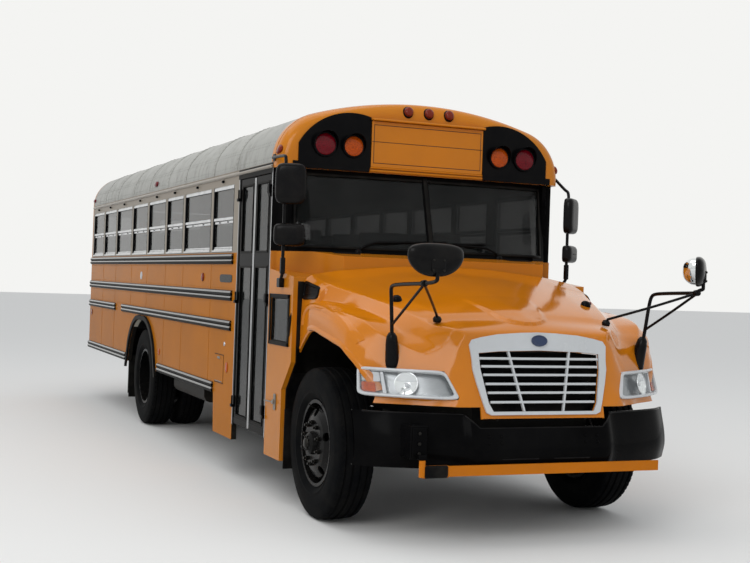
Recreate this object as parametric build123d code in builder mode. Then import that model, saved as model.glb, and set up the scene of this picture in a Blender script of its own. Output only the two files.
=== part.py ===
# School bus, conventional type with a tilting hood, as separate named solids.
# +X points at the nose, +Y at the driver's side, +Z up. The origin is on the ground
# under the middle of the whole vehicle. Lengths are in millimetres.
# Most places along the bus are written as distances ahead of the front axle.

import os
from math import cos, hypot, radians, sin, sqrt

from build123d import *

os.makedirs("parts", exist_ok=True)

# Overall sizes
wheelbase = 5512
front_reach = 1530  # front axle to the front of the crossview mirrors
rear_reach = 8960  # front axle to the back of the rear bumper
body_width = 2438
roof_height = 3070
front_axle_x = (rear_reach - front_reach) / 2
rear_axle_x = front_axle_x - wheelbase
half_width = body_width / 2

# Body shell
wall = 45
sheet = 8
skirt_z = 640
floor_z = 1060
floor_thickness = 40
shoulder_z = 2545
shoulder_radius = 400
body_rear = -8870
door_rear = -1850
door_front = -950
door_foot_z = 430
door_head_z = 2500
stepwell_panel_rear = -2430
stepwell_panel_z = 305
cap_front = -800
cap_z = 2500
cowl_front = -383
cowl_foot_z = 315

# Side windows
window_sill_z = 1868
window_head_z = 2436
window_pillar = 72
window_corner = 18
first_pillar = -1960
window_bays = (730, 1045, 755, 875, 845, 955, 825, 805)  # bay lengths, front to rear
glass_thickness = 5
window_frame_width = 28
window_frame_depth = 30
seat_clearance = 0.3

# Wheels and tyres
tyre_radius = 525
tyre_width = 279
bead_radius = 286
rim_wall = 9
rim_half_width = 106
front_tyre_face = 1176
rear_tyre_face = 1190
dual_spacing = 330
front_tyre_y = front_tyre_face - tyre_width / 2
rear_outer_y = rear_tyre_face - tyre_width / 2
rear_inner_y = rear_outer_y - dual_spacing
dual_mid_y = rear_outer_y - dual_spacing / 2
running_fit = 0.05
spindle_radius = 40
kingpin_y = 880
kingpin_radius = 24

# Frame
rail_outer_y = 430
rail_flange = 75
rail_web = 9
rail_foot_z = 700
rail_head_z = 955
rail_front = 950
rail_rear = -8720

# Hood
hood_rear = -374
hood_wall = 12
hood_pivot = (1092, 806)  # distance ahead of the front axle, height
hood_pin_radius = 8
face_slope = 0.243  # how far the grille plane runs forward per unit of drop
face_top = (1000, 1350)  # a point of that plane: ahead of the axle, height


def ahead(distance):
    """X of a place given as a distance ahead of the front axle."""
    return front_axle_x + distance


def slab(x0, x1, y0, y1, z0, z1, mode=Mode.ADD):
    """Box between two corners, x given ahead of the front axle."""
    with Locations((ahead((x0 + x1) / 2), (y0 + y1) / 2, (z0 + z1) / 2)):
        Box(abs(x1 - x0), abs(y1 - y0), abs(z1 - z0), mode=mode)


def shaft_y(x, y0, y1, z, radius, mode=Mode.ADD):
    """Round bar along Y."""
    with Locations(Location((ahead(x), (y0 + y1) / 2, z), (90, 0, 0))):
        Cylinder(radius, abs(y1 - y0), mode=mode)


def shaft_z(x, y, z0, z1, radius, mode=Mode.ADD):
    """Round bar along Z."""
    with Locations((ahead(x), y, (z0 + z1) / 2)):
        Cylinder(radius, abs(z1 - z0), mode=mode)


def shaft_x(x0, x1, y, z, radius, mode=Mode.ADD):
    """Round bar along X."""
    with Locations(Location((ahead((x0 + x1) / 2), y, z), (0, 90, 0))):
        Cylinder(radius, abs(x1 - x0), mode=mode)


def rod(start, end, radius):
    """Round bar between two points with ball ends, x given ahead of the front axle."""
    a = Vector(ahead(start[0]), start[1], start[2])
    b = Vector(ahead(end[0]), end[1], end[2])
    with Locations(Plane(origin=(a + b) * 0.5, z_dir=b - a)):
        Cylinder(radius, (b - a).length)
    with Locations(a, b):
        Sphere(radius)


def outline(points, mode=Mode.ADD):
    """Polygon face from sketch points, each in its own place."""
    Polygon(*points, align=None, mode=mode)


def write(name, piece):
    """Label a finished piece and write its STEP file."""
    piece.part.label = name
    export_step(piece.part, f"parts/{name}.step")


# Roof section, an arc at each shoulder and one long arc over the middle
shoulder_y = half_width - shoulder_radius
crown_rise = roof_height - shoulder_z
crown_radius = (shoulder_y**2 + crown_rise**2 - shoulder_radius**2) / (2 * (crown_rise - shoulder_radius))
crown_centre_z = roof_height - crown_radius


def roof_bow(inset=0):
    """The roof's arcs from the right shoulder over to the left one, `inset` inside the skin."""
    small = shoulder_radius - inset
    large = crown_radius - inset
    reach = hypot(shoulder_y, shoulder_z - crown_centre_z)
    tangent_y = large * shoulder_y / reach
    tangent_z = crown_centre_z + large * (shoulder_z - crown_centre_z) / reach
    bisector_y = small + small * shoulder_y / reach
    bisector_z = small * (shoulder_z - crown_centre_z) / reach
    scale = small / hypot(bisector_y, bisector_z)
    middle = (shoulder_y + bisector_y * scale, shoulder_z + bisector_z * scale)
    for side in (-1, 1):
        ThreePointArc(
            (side * (shoulder_y + small), shoulder_z),
            (side * middle[0], middle[1]),
            (side * tangent_y, tangent_z),
        )
    ThreePointArc((-tangent_y, tangent_z), (0, crown_centre_z + large), (tangent_y, tangent_z))


# Window openings as (rear end, front end) ahead of the axle
pillar_places = [first_pillar]
for bay in window_bays:
    pillar_places.append(pillar_places[-1] - bay)
side_openings = [
    (rear + window_pillar / 2, front - window_pillar / 2)
    for front, rear in zip(pillar_places[:-1], pillar_places[1:])
]
driver_opening = (door_rear + 20, door_front - 60)
window_mid_z = (window_sill_z + window_head_z) / 2
window_height = window_head_z - window_sill_z


def window_sketch(opening, inset=0, mode=Mode.ADD):
    """Rounded window outline, smaller by `inset` all round."""
    rear, front = opening
    with Locations((ahead((rear + front) / 2), window_mid_z)):
        RectangleRounded(
            front - rear - 2 * inset,
            window_height - 2 * inset,
            window_corner,
            mode=mode,
        )


# Arch outlines about an axle: (ahead of the axle, height)
rear_arch_foot = 745
rear_arch = ((-745, 590), (-630, 845), (-400, 1068), (0, 1140), (400, 1068), (630, 845), (745, 590))


def rear_arch_lines(grow=0, foot=100):
    """Outline round the twin wheels: two slanted sides and a crown of arcs."""
    centre = ahead(-wheelbase)
    left, low_l, up_l, top, up_r, low_r, right = [
        (centre + x * (1 + grow / rear_arch_foot), z + (grow if z > skirt_z else 0)) for x, z in rear_arch
    ]
    Polyline(low_l, left, (left[0], foot), (right[0], foot), right, low_r)
    ThreePointArc(low_l, up_l, top)
    ThreePointArc(top, up_r, low_r)


with BuildSketch() as rear_arch_opening:
    with BuildLine():
        rear_arch_lines()
    make_face()

# Opening round a front wheel: steep behind, nearly flat on top, steep ahead
with BuildSketch() as front_arch_opening:
    with BuildLine():
        Polyline(
            (ahead(-180), 1275),
            (ahead(-580), 840),
            (ahead(-580), 200),
            (ahead(815), 200),
            (ahead(800), 920),
        )
        ThreePointArc((ahead(-180), 1275), (ahead(-60), 1302), (ahead(100), 1292))
        Line((ahead(100), 1292), (ahead(530), 1215))
        ThreePointArc((ahead(530), 1215), (ahead(700), 1085), (ahead(800), 920))
    make_face()


# Side walls, one sheet each from the rear wall to the cowl, windows cut
wall_rear = body_rear + wall
for side, name in ((-1, "side_wall_right"), (1, "side_wall_left")):
    outer_face = half_width if side > 0 else half_width - wall
    with BuildPart() as side_wall:
        with BuildSketch(Plane.XZ.offset(-outer_face if side > 0 else outer_face)):
            if side < 0:
                outline(
                    [
                        (ahead(wall_rear), skirt_z),
                        (ahead(stepwell_panel_rear - 30), skirt_z),
                        (ahead(stepwell_panel_rear), stepwell_panel_z),
                        (ahead(door_rear), stepwell_panel_z),
                        (ahead(door_rear), door_head_z),
                        (ahead(door_front), door_head_z),
                        (ahead(door_front), shoulder_z),
                        (ahead(wall_rear), shoulder_z),
                    ]
                )
            else:
                outline(
                    [
                        (ahead(wall_rear), skirt_z),
                        (ahead(door_front), skirt_z),
                        (ahead(door_front), shoulder_z),
                        (ahead(wall_rear), shoulder_z),
                    ]
                )
                window_sketch(driver_opening, mode=Mode.SUBTRACT)
            for opening in side_openings:
                window_sketch(opening, mode=Mode.SUBTRACT)
            add(rear_arch_opening.sketch_local, mode=Mode.SUBTRACT)
        extrude(amount=wall)
    write(name, side_wall)

# Roof, a bowed sheet from the rear wall to the front cap
with BuildPart() as roof:
    with BuildSketch(Plane.YZ.offset(ahead(wall_rear))):
        with BuildLine():
            roof_bow()
            Line((-half_width, shoulder_z), (-half_width + wall, shoulder_z))
            roof_bow(wall)
            Line((half_width, shoulder_z), (half_width - wall, shoulder_z))
        make_face()
    extrude(amount=door_front - wall_rear)
write("roof", roof)

# Rear wall with its doorway and two fixed windows
rear_door_half = 450
rear_door_foot_z = 1075
rear_door_head_z = 2520
rear_gap = 6
rear_window_centre_y = 815
rear_window_width = 460
hinge_pin_radius = 5
rear_hinge = (body_rear - 14, -(rear_door_half + 4))
rear_hinge_heights = (1300, 1850, 2380)
hinge_barrel_radius = 9
hinge_barrel_half = 35
hinge_lug_height = 25
with BuildPart() as rear_wall:
    with BuildSketch(Plane.YZ.offset(ahead(body_rear))):
        with BuildLine():
            roof_bow()
            Polyline(
                (-half_width, shoulder_z),
                (-half_width, skirt_z),
                (half_width, skirt_z),
                (half_width, shoulder_z),
            )
        make_face()
        with Locations((0, (rear_door_foot_z + rear_door_head_z) / 2)):
            Rectangle(2 * rear_door_half, rear_door_head_z - rear_door_foot_z, mode=Mode.SUBTRACT)
        for side in (-1, 1):
            with Locations((side * rear_window_centre_y, window_mid_z)):
                RectangleRounded(rear_window_width, window_height, 60, mode=Mode.SUBTRACT)
    extrude(amount=wall)
    for height in rear_hinge_heights:
        slab(rear_hinge[0] - hinge_barrel_radius, body_rear, rear_hinge[1] - 40, rear_hinge[1] + 8,
             height - hinge_barrel_half - hinge_lug_height, height - hinge_barrel_half)
        shaft_z(rear_hinge[0], rear_hinge[1], height - hinge_barrel_half, height + hinge_barrel_half,
                hinge_pin_radius)
write("rear_wall", rear_wall)

# Rear emergency door, one leaf with an upper and a lower light
rear_leaf_half = rear_door_half - rear_gap
rear_leaf_inset = 4
rear_leaf_depth = 36
rear_light_width = 620
rear_lights = ((1790, 2420), (1230, 1640))  # foot and head of each light
with BuildPart() as rear_door:
    with BuildSketch(Plane.YZ.offset(ahead(body_rear + rear_leaf_inset))):
        with Locations((0, (rear_door_foot_z + rear_door_head_z) / 2)):
            Rectangle(2 * rear_leaf_half, rear_door_head_z - rear_door_foot_z - 2 * rear_gap)
        for foot, head in rear_lights:
            with Locations((0, (foot + head) / 2)):
                RectangleRounded(rear_light_width, head - foot, 50, mode=Mode.SUBTRACT)
    extrude(amount=rear_leaf_depth)
    for height in rear_hinge_heights:
        shaft_z(rear_hinge[0], rear_hinge[1], height - hinge_barrel_half + seat_clearance,
                height + hinge_barrel_half, hinge_barrel_radius)
        slab(rear_hinge[0] - 4, rear_hinge[0] + 4, rear_hinge[1], rear_hinge[1] + 90,
             height - hinge_barrel_half + seat_clearance, height + hinge_barrel_half)
        slab(rear_hinge[0] - 4, body_rear + rear_leaf_inset, rear_hinge[1] + 30, rear_hinge[1] + 90,
             height - hinge_barrel_half + seat_clearance, height + hinge_barrel_half)
        shaft_z(rear_hinge[0], rear_hinge[1], height - hinge_barrel_half, height + hinge_barrel_half + 1,
                hinge_pin_radius + running_fit, mode=Mode.SUBTRACT)
    # handle plate and lever at the free edge
    slab(body_rear - 12, body_rear + rear_leaf_inset, 330, 410, 1660, 1760)
    slab(body_rear - 40, body_rear - 12, 345, 365, 1670, 1750)
write("rear_door", rear_door)

glass_in_leaf = body_rear + rear_leaf_inset + rear_leaf_depth / 2
with BuildPart() as rear_door_glass:
    with BuildSketch(Plane.YZ.offset(ahead(glass_in_leaf))):
        for foot, head in rear_lights:
            with Locations((0, (foot + head) / 2)):
                RectangleRounded(rear_light_width, head - foot, 50)
    extrude(amount=glass_thickness)
write("rear_door_glass", rear_door_glass)

# Window frames, split sashes of aluminium in each opening
frame_face = half_width - 6
sash_rail = 26
with BuildPart() as side_window_frames:
    for side in (-1, 1):
        openings = side_openings + ([driver_opening] if side > 0 else [])
        start = frame_face if side > 0 else frame_face - window_frame_depth
        with BuildSketch(Plane.XZ.offset(-start if side > 0 else start)):
            for opening in openings:
                window_sketch(opening)
                rear, front = opening
                half_light = (window_height - 2 * window_frame_width - sash_rail) / 2
                for sign in (-1, 1):
                    with Locations(
                        (ahead((rear + front) / 2), window_mid_z + sign * (sash_rail + half_light) / 2)
                    ):
                        Rectangle(front - rear - 2 * window_frame_width, half_light, mode=Mode.SUBTRACT)
        extrude(amount=window_frame_depth)
write("side_window_frames", side_window_frames)

# Glass of the side windows and the two fixed rear windows
glass_face = frame_face - 12
with BuildPart() as side_glass:
    for side in (-1, 1):
        openings = side_openings + ([driver_opening] if side > 0 else [])
        half_light = (window_height - 2 * window_frame_width - sash_rail) / 2
        start = glass_face if side > 0 else glass_face - glass_thickness
        with BuildSketch(Plane.XZ.offset(-start if side > 0 else start)):
            for rear, front in openings:
                for sign in (-1, 1):
                    with Locations(
                        (ahead((rear + front) / 2), window_mid_z + sign * (sash_rail + half_light) / 2)
                    ):
                        Rectangle(front - rear - 2 * window_frame_width, half_light)
        extrude(amount=glass_thickness)
    with BuildSketch(Plane.YZ.offset(ahead(body_rear + wall / 2))):
        for side in (-1, 1):
            with Locations((side * rear_window_centre_y, window_mid_z)):
                RectangleRounded(rear_window_width, window_height, 60)
    extrude(amount=glass_thickness)
write("side_glass", side_glass)

# Floor deck with cross sills, wheel boxes and the entry steps
floor_half = half_width - wall
floor_front = -620
step_rear = door_rear + 60
step_front = door_front - 60
step_depth = 210
step_foot_z = 425
step_thickness = 12
wheel_box_z = 1215
wheel_box_half = 640
wheel_box_inner_y = 560
with BuildPart() as floor:
    slab(wall_rear, floor_front, -floor_half, floor_half, floor_z - floor_thickness, floor_z)
    # stairwell cut and its three steps
    slab(step_rear, step_front, -floor_half, -floor_half + 3 * step_depth, floor_z - 100, floor_z + 1,
         mode=Mode.SUBTRACT)
    rise = (floor_z - step_foot_z) / 3
    for step in range(3):
        tread_z = step_foot_z + rise * step
        near = -floor_half + step_depth * step
        far = near + step_depth
        slab(step_rear, step_front, near, far, tread_z, tread_z + step_thickness)
        slab(step_rear, step_front, far - step_thickness, far, tread_z, tread_z + rise + step_thickness / 2)
    for edge in (step_rear, step_front - step_thickness):
        slab(edge, edge + step_thickness, -floor_half, -floor_half + 3 * step_depth, step_foot_z, floor_z)
    # wheel boxes over the twin tyres
    for side in (-1, 1):
        slab(-wheelbase - wheel_box_half, -wheelbase + wheel_box_half, side * wheel_box_inner_y,
             side * floor_half, floor_z - floor_thickness, wheel_box_z)
        slab(-wheelbase - wheel_box_half + 12, -wheelbase + wheel_box_half - 12, side * (wheel_box_inner_y + 12),
             side * floor_half, floor_z - floor_thickness - 1, wheel_box_z - 12, mode=Mode.SUBTRACT)
    # cross sills under the deck
    sill_count = 15
    sill_pitch = (door_front - 500 - wall_rear - 200) / (sill_count - 1)
    for sill in range(sill_count):
        place = wall_rear + 100 + sill_pitch * sill
        over_wheels = abs(place + wheelbase) < wheel_box_half + 60
        reach = wheel_box_inner_y - 20 if over_wheels else floor_half
        right_reach = min(reach, floor_half - 3 * step_depth - 20) if place > step_rear - 80 else reach
        slab(place - 20, place + 20, -right_reach, reach, rail_head_z, floor_z - floor_thickness)
write("floor", floor)

# Front cap, a shell over the windshield with rounded front edges
cap_wall = 40
with BuildPart() as front_cap:
    with BuildSketch(Plane.YZ.offset(ahead(door_front))):
        with BuildLine():
            roof_bow()
            Polyline(
                (-half_width, shoulder_z),
                (-half_width, cap_z),
                (half_width, cap_z),
                (half_width, shoulder_z),
            )
        make_face()
    extrude(amount=cap_front - door_front)
    fillet(front_cap.faces().sort_by(Axis.X)[-1].edges().filter_by(lambda e: e.center().Z > cap_z + 20), 95)
    with BuildSketch(Plane.YZ.offset(ahead(door_front))):
        with BuildLine():
            roof_bow(cap_wall)
            Polyline(
                (-half_width + cap_wall, shoulder_z),
                (-half_width + cap_wall, cap_z - 1),
                (half_width - cap_wall, cap_z - 1),
                (half_width - cap_wall, shoulder_z),
            )
        make_face()
    extrude(amount=cap_front - door_front - cap_wall, mode=Mode.SUBTRACT)
write("front_cap", front_cap)

# Lamp boards on the cap: a blank sign panel between two dark boards
board_thickness = 8
sign_half = 485
sign_foot_z = 2530
sign_head_z = 2915
board_outer = 1075
with BuildPart() as lamp_boards:
    with BuildSketch(Plane.YZ.offset(ahead(cap_front))):
        for side in (-1, 1):
            with BuildLine():
                Polyline(
                    (side * (sign_half + 4), 2925),
                    (side * (sign_half + 4), 2535),
                    (side * board_outer, 2535),
                    (side * board_outer, 2690),
                )
                ThreePointArc((side * board_outer, 2690), (side * 960, 2830), (side * (sign_half + 4), 2925))
            make_face()
        with Locations((0, (sign_foot_z + sign_head_z) / 2)):
            Rectangle(2 * sign_half, sign_head_z - sign_foot_z)
    extrude(amount=board_thickness)
write("lamp_boards", lamp_boards)

# Warning lamps, clearance lamps, tail lamps and side markers
board_face = cap_front + board_thickness
lamp_radius = 88
amber_lamp_radius = 82
lamp_depth = 45
front_lamps = ((865, 2691, lamp_radius), (633, 2691, amber_lamp_radius))
clearance_lamps = (-177, 0, 177)
tail_lamps = ((960, 1560, 88), (730, 1560, 60), (960, 1330, 60), (1060, 2700, 88), (840, 2740, 82))
with BuildPart() as warning_lamps:
    for side in (-1, 1):
        for place_y, place_z, radius in front_lamps:
            shaft_x(board_face, board_face + lamp_depth, side * place_y, place_z, radius)
        for place_y, place_z, radius in tail_lamps:
            shaft_x(body_rear - lamp_depth / 2, body_rear, side * place_y, place_z - 60, radius)
        slab(-5070, -4960, side * half_width, side * (half_width + 22), 2560, 2605)
        slab(-5070, -4960, side * half_width, side * (half_width + 18), 1622, 1652)
    for place_y in clearance_lamps:
        slab(cap_front, cap_front + 25, place_y - 40, place_y + 40, 2950, 2985)
        slab(body_rear - 25, body_rear, place_y - 40, place_y + 40, 2890, 2925)
write("warning_lamps", warning_lamps)

# Cowl: side panels, firewall and the shelf under the windshield
shelf_z = 1865
shelf_wall = 10
shelf_front_z = 1835
toe_board_z = 1150
peep_window = (-880, -470, 1185, 1515)  # rear, front, foot, head
# the shelf's corners are cut back to a sloping ledge: plan points, then the ledge's height at two places
corner_cut = ((-935, 1300), (-935, 1174), (-850, 1112), (-370, 830), (-370, 1300))
corner_wall_line = ((-944, 1300), (-944, 1161), (-859, 1098), (-370, 811), (-370, 1300))
ledge = ((-960, 1730), (-360, 1670))
ledge_wall = 12
with BuildPart() as corner_air:
    for side in (-1, 1):
        with BuildSketch(Plane.XY.offset(1600)):
            outline([(ahead(x), side * y) for x, y in corner_cut])
        extrude(amount=300)
    with BuildSketch(Plane.XZ.offset(-1350)):
        outline([(ahead(ledge[0][0]), 1590), (ahead(ledge[0][0]), ledge[0][1]),
                 (ahead(ledge[1][0]), ledge[1][1]), (ahead(ledge[1][0]), 1590)])
    extrude(amount=2700, mode=Mode.SUBTRACT)
with BuildPart() as corner_block:
    for side in (-1, 1):
        with BuildSketch(Plane.XY.offset(1600)):
            outline([(ahead(x), side * y) for x, y in corner_wall_line])
        extrude(amount=300)
    with BuildSketch(Plane.XZ.offset(-1350)):
        outline([(ahead(ledge[0][0]), 1590), (ahead(ledge[0][0]), ledge[0][1] - ledge_wall),
                 (ahead(ledge[1][0]), ledge[1][1] - ledge_wall), (ahead(ledge[1][0]), 1590)])
    extrude(amount=2700, mode=Mode.SUBTRACT)
with BuildPart() as corner_shell:
    add(corner_block.part)
    add(corner_air.part, mode=Mode.SUBTRACT)
    for side in (-1, 1):
        slab(-1000, -300, side * half_width, side * 1400, 1500, 2000, mode=Mode.SUBTRACT)
    slab(cowl_front, -300, -1400, 1400, 1500, 2000, mode=Mode.SUBTRACT)
    with BuildSketch(Plane.XZ.offset(-1350)):
        outline([(ahead(-1000), shelf_z), (ahead(-640), shelf_z), (ahead(cowl_front), shelf_front_z),
                 (ahead(cowl_front), 2000), (ahead(-1000), 2000)])
    extrude(amount=2700, mode=Mode.SUBTRACT)
with BuildPart() as cowl:
    for side in (-1, 1):
        with BuildSketch(Plane.XZ.offset(-half_width if side > 0 else half_width - wall)):
            outline(
                [
                    (ahead(door_front), cowl_foot_z),
                    (ahead(-560), cowl_foot_z),
                    (ahead(-560), 700),
                    (ahead(cowl_front), 900),
                    (ahead(cowl_front), shelf_front_z),
                    (ahead(door_front + 110), shelf_z),
                    (ahead(door_front), shelf_z),
                ]
            )
            add(front_arch_opening.sketch_local, mode=Mode.SUBTRACT)
            if side < 0:
                rear, front, foot, head = peep_window
                with Locations((ahead((rear + front) / 2), (foot + head) / 2)):
                    RectangleRounded(front - rear, head - foot, 20, mode=Mode.SUBTRACT)
        extrude(amount=wall)
    # firewall, stepped back over the turned wheels
    inner = half_width - wall
    slab(floor_front, floor_front + 20, -inner, inner, rail_head_z + 5, toe_board_z)
    slab(floor_front, cowl_front, -inner, inner, toe_board_z, toe_board_z + 20)
    slab(cowl_front - 30, cowl_front, -inner, inner, toe_board_z, shelf_front_z - 5)
    # shelf from the windshield's foot down to the hood
    with BuildSketch(Plane.XZ.offset(-half_width + wall)):
        outline(
            [
                (ahead(-640), shelf_z),
                (ahead(cowl_front), shelf_front_z),
                (ahead(cowl_front), shelf_front_z - shelf_wall),
                (ahead(-640), shelf_z - shelf_wall),
                (ahead(door_front), shelf_z - shelf_wall),
                (ahead(door_front), shelf_z),
            ]
        )
    extrude(amount=2 * (half_width - wall))
    add(corner_air.part, mode=Mode.SUBTRACT)
    add(corner_shell.part)
write("cowl", cowl)

# Windshield: two panes and the black frame with the corner posts
shield_foot = ((0, -655), (620, -690), (960, -760), (1100, -850))  # y, ahead of the axle
shield_head = ((0, -835), (620, -845), (960, -862), (1085, -900))
shield_foot_z = 1900
shield_head_z = 2490
gasket = 16
corner_post = ((-950, 1090), (-950, 1213), (-937, 1213), (-937, 1175), (-862, 1120), (-862, 1090))


def band(points, depth, offset):
    """Closed plan outline of a band `depth` thick, its front `offset` behind the points."""
    front = [(ahead(x - offset), y) for y, x in points]
    back = [(ahead(x - offset - depth), y) for y, x in points]
    left_front = front[::-1]
    right_front = [(x, -y) for x, y in front[1:]]
    right_back = [(x, -y) for x, y in back[1:]][::-1]
    return left_front + right_front + right_back + back


def between(low, high, share):
    """Plan points between the windshield's foot and head."""
    return [(a[0] + (b[0] - a[0]) * share, a[1] + (b[1] - a[1]) * share) for a, b in zip(low, high)]


def shield_points(z, side_grow=0):
    """Plan points of the windshield's surface at height z, wider by side_grow at the corners."""
    points = between(shield_foot, shield_head, (z - shield_foot_z) / (shield_head_z - shield_foot_z))
    last_y, last_x = points[-1]
    return points[:-1] + [(last_y + side_grow, last_x)]


with BuildPart() as windshield_frame:
    for z in (shelf_z, cap_z):
        with BuildSketch(Plane.XY.offset(z)):
            outline(band(shield_points(z, 15), 26, 0))
    loft(ruled=True)
    # cut the two lights
    for side in (-1, 1):
        with BuildSketch(Plane.YZ.offset(ahead(-1000))):
            outline(
                [
                    (side * 24, shield_foot_z + 12),
                    (side * 1075, shield_foot_z + 12),
                    (side * 1060, shield_head_z - 32),
                    (side * 24, shield_head_z - 20),
                ]
            )
        extrude(amount=500, mode=Mode.SUBTRACT)
    # corner posts back to the door
    for side in (-1, 1):
        with BuildSketch(Plane.XY.offset(shelf_z)):
            outline([(ahead(x), side * y) for x, y in corner_post])
        extrude(amount=cap_z - shelf_z)
write("windshield_frame", windshield_frame)

with BuildPart() as windshield_glass:
    for z in (shield_foot_z + 12.5, shield_head_z - 34):
        with BuildSketch(Plane.XY.offset(z)):
            outline(band(shield_points(z), 6, 10))
    loft(ruled=True)
    slab(-1000, -500, -24.5, 24.5, shield_foot_z - 20, shield_head_z + 20, mode=Mode.SUBTRACT)
    for side in (-1, 1):
        slab(-1000, -500, side * 1058, side * 1200, shield_foot_z - 20, shield_head_z + 20, mode=Mode.SUBTRACT)
write("windshield_glass", windshield_glass)

# Dash with its wheel and column, driver's side
wheel_centre = (-1010, 560, 1830)
wheel_ring = 205
with BuildPart() as dash:
    with BuildSketch(Plane.XZ.offset(-(half_width - wall))):
        outline(
            [
                (ahead(-760), 1780),
                (ahead(-640), 1830),
                (ahead(cowl_front - 30), 1822),
                (ahead(cowl_front - 30), toe_board_z + 20),
                (ahead(-560), toe_board_z + 20),
                (ahead(-740), 1600),
            ]
        )
    extrude(amount=2 * (half_width - wall))
    add(corner_block.part, mode=Mode.SUBTRACT)
    rod((-700, wheel_centre[1], 1560), wheel_centre, 28)
    with BuildSketch(Plane(origin=(ahead(wheel_centre[0]), wheel_centre[1], wheel_centre[2]),
                           z_dir=(-0.62, 0, 0.54))):
        Circle(wheel_ring)
        Circle(wheel_ring - 28, mode=Mode.SUBTRACT)
        Rectangle(2 * wheel_ring - 20, 36)
        Rectangle(36, 2 * wheel_ring - 20)
    extrude(amount=26)
write("dash", dash)

# Door frame, black posts and header round the entry
frame_bar = 38
with BuildPart() as door_frame:
    with BuildSketch(Plane.XZ.offset(half_width - wall)):
        outline(
            [
                (ahead(door_rear), door_foot_z),
                (ahead(door_rear + frame_bar), door_foot_z),
                (ahead(door_rear + frame_bar), door_head_z - frame_bar),
                (ahead(door_front - frame_bar), door_head_z - frame_bar),
                (ahead(door_front - frame_bar), door_foot_z),
                (ahead(door_front), door_foot_z),
                (ahead(door_front), door_head_z),
                (ahead(door_rear), door_head_z),
            ]
        )
    extrude(amount=wall)
    # hinge lugs and pins
    leaf_hinge_y = -(half_width + 12)
    leaf_hinge_heights = (640, 1500, 2340)
    for edge, inward in ((door_rear, 1), (door_front, -1)):
        hinge_x = edge + inward * (frame_bar - 4)
        for height in leaf_hinge_heights:
            slab(hinge_x - inward * 30, hinge_x + inward * 8, -half_width, leaf_hinge_y - hinge_barrel_radius,
                 height - hinge_barrel_half - hinge_lug_height, height - hinge_barrel_half)
            shaft_z(hinge_x, leaf_hinge_y, height - hinge_barrel_half, height + hinge_barrel_half,
                    hinge_pin_radius)
write("door_frame", door_frame)

# Entry door, two glazed leaves hinged on the posts and meeting in the middle
leaf_gap = 6
leaf_depth = 32
leaf_stile = 52
leaf_lights = ((1860, 2400), (520, 1740))  # foot and head of each light
door_middle = (door_rear + door_front) / 2
leaf_foot_z = door_foot_z + 15
leaf_head_z = door_head_z - frame_bar - leaf_gap
leaf_face = half_width - 5
leaves = (
    ("rear", door_rear + frame_bar + leaf_gap, door_middle - leaf_gap, door_rear + frame_bar - 4, 1),
    ("front", door_middle + leaf_gap, door_front - frame_bar - leaf_gap, door_front - frame_bar + 4, -1),
)
for leaf_name, leaf_rear, leaf_front, hinge_x, inward in leaves:
    with BuildPart() as leaf:
        with BuildSketch(Plane.XZ.offset(leaf_face - leaf_depth)):
            with Locations((ahead((leaf_rear + leaf_front) / 2), (leaf_foot_z + leaf_head_z) / 2)):
                Rectangle(leaf_front - leaf_rear, leaf_head_z - leaf_foot_z)
            for foot, head in leaf_lights:
                with Locations((ahead((leaf_rear + leaf_front) / 2), (foot + head) / 2)):
                    RectangleRounded(leaf_front - leaf_rear - 2 * leaf_stile, head - foot, 20, mode=Mode.SUBTRACT)
        extrude(amount=leaf_depth)
        for height in leaf_hinge_heights:
            low = height - hinge_barrel_half + seat_clearance
            high = height + hinge_barrel_half
            shaft_z(hinge_x, leaf_hinge_y, low, high, hinge_barrel_radius)
            slab(hinge_x, hinge_x + inward * 50, leaf_hinge_y - 4, leaf_hinge_y + 4, low, high)
            slab(hinge_x + inward * 20, hinge_x + inward * 50, leaf_hinge_y - 4, -leaf_face, low, high)
            shaft_z(hinge_x, leaf_hinge_y, low - 1, high + 1, hinge_pin_radius + running_fit,
                    mode=Mode.SUBTRACT)
    write(f"entry_leaf_{leaf_name}", leaf)
    with BuildPart() as leaf_glass:
        with BuildSketch(Plane.XZ.offset(leaf_face - leaf_depth / 2)):
            for foot, head in leaf_lights:
                with Locations((ahead((leaf_rear + leaf_front) / 2), (foot + head) / 2)):
                    RectangleRounded(leaf_front - leaf_rear - 2 * leaf_stile, head - foot, 20)
        extrude(amount=glass_thickness)
    write(f"entry_glass_{leaf_name}", leaf_glass)

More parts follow.
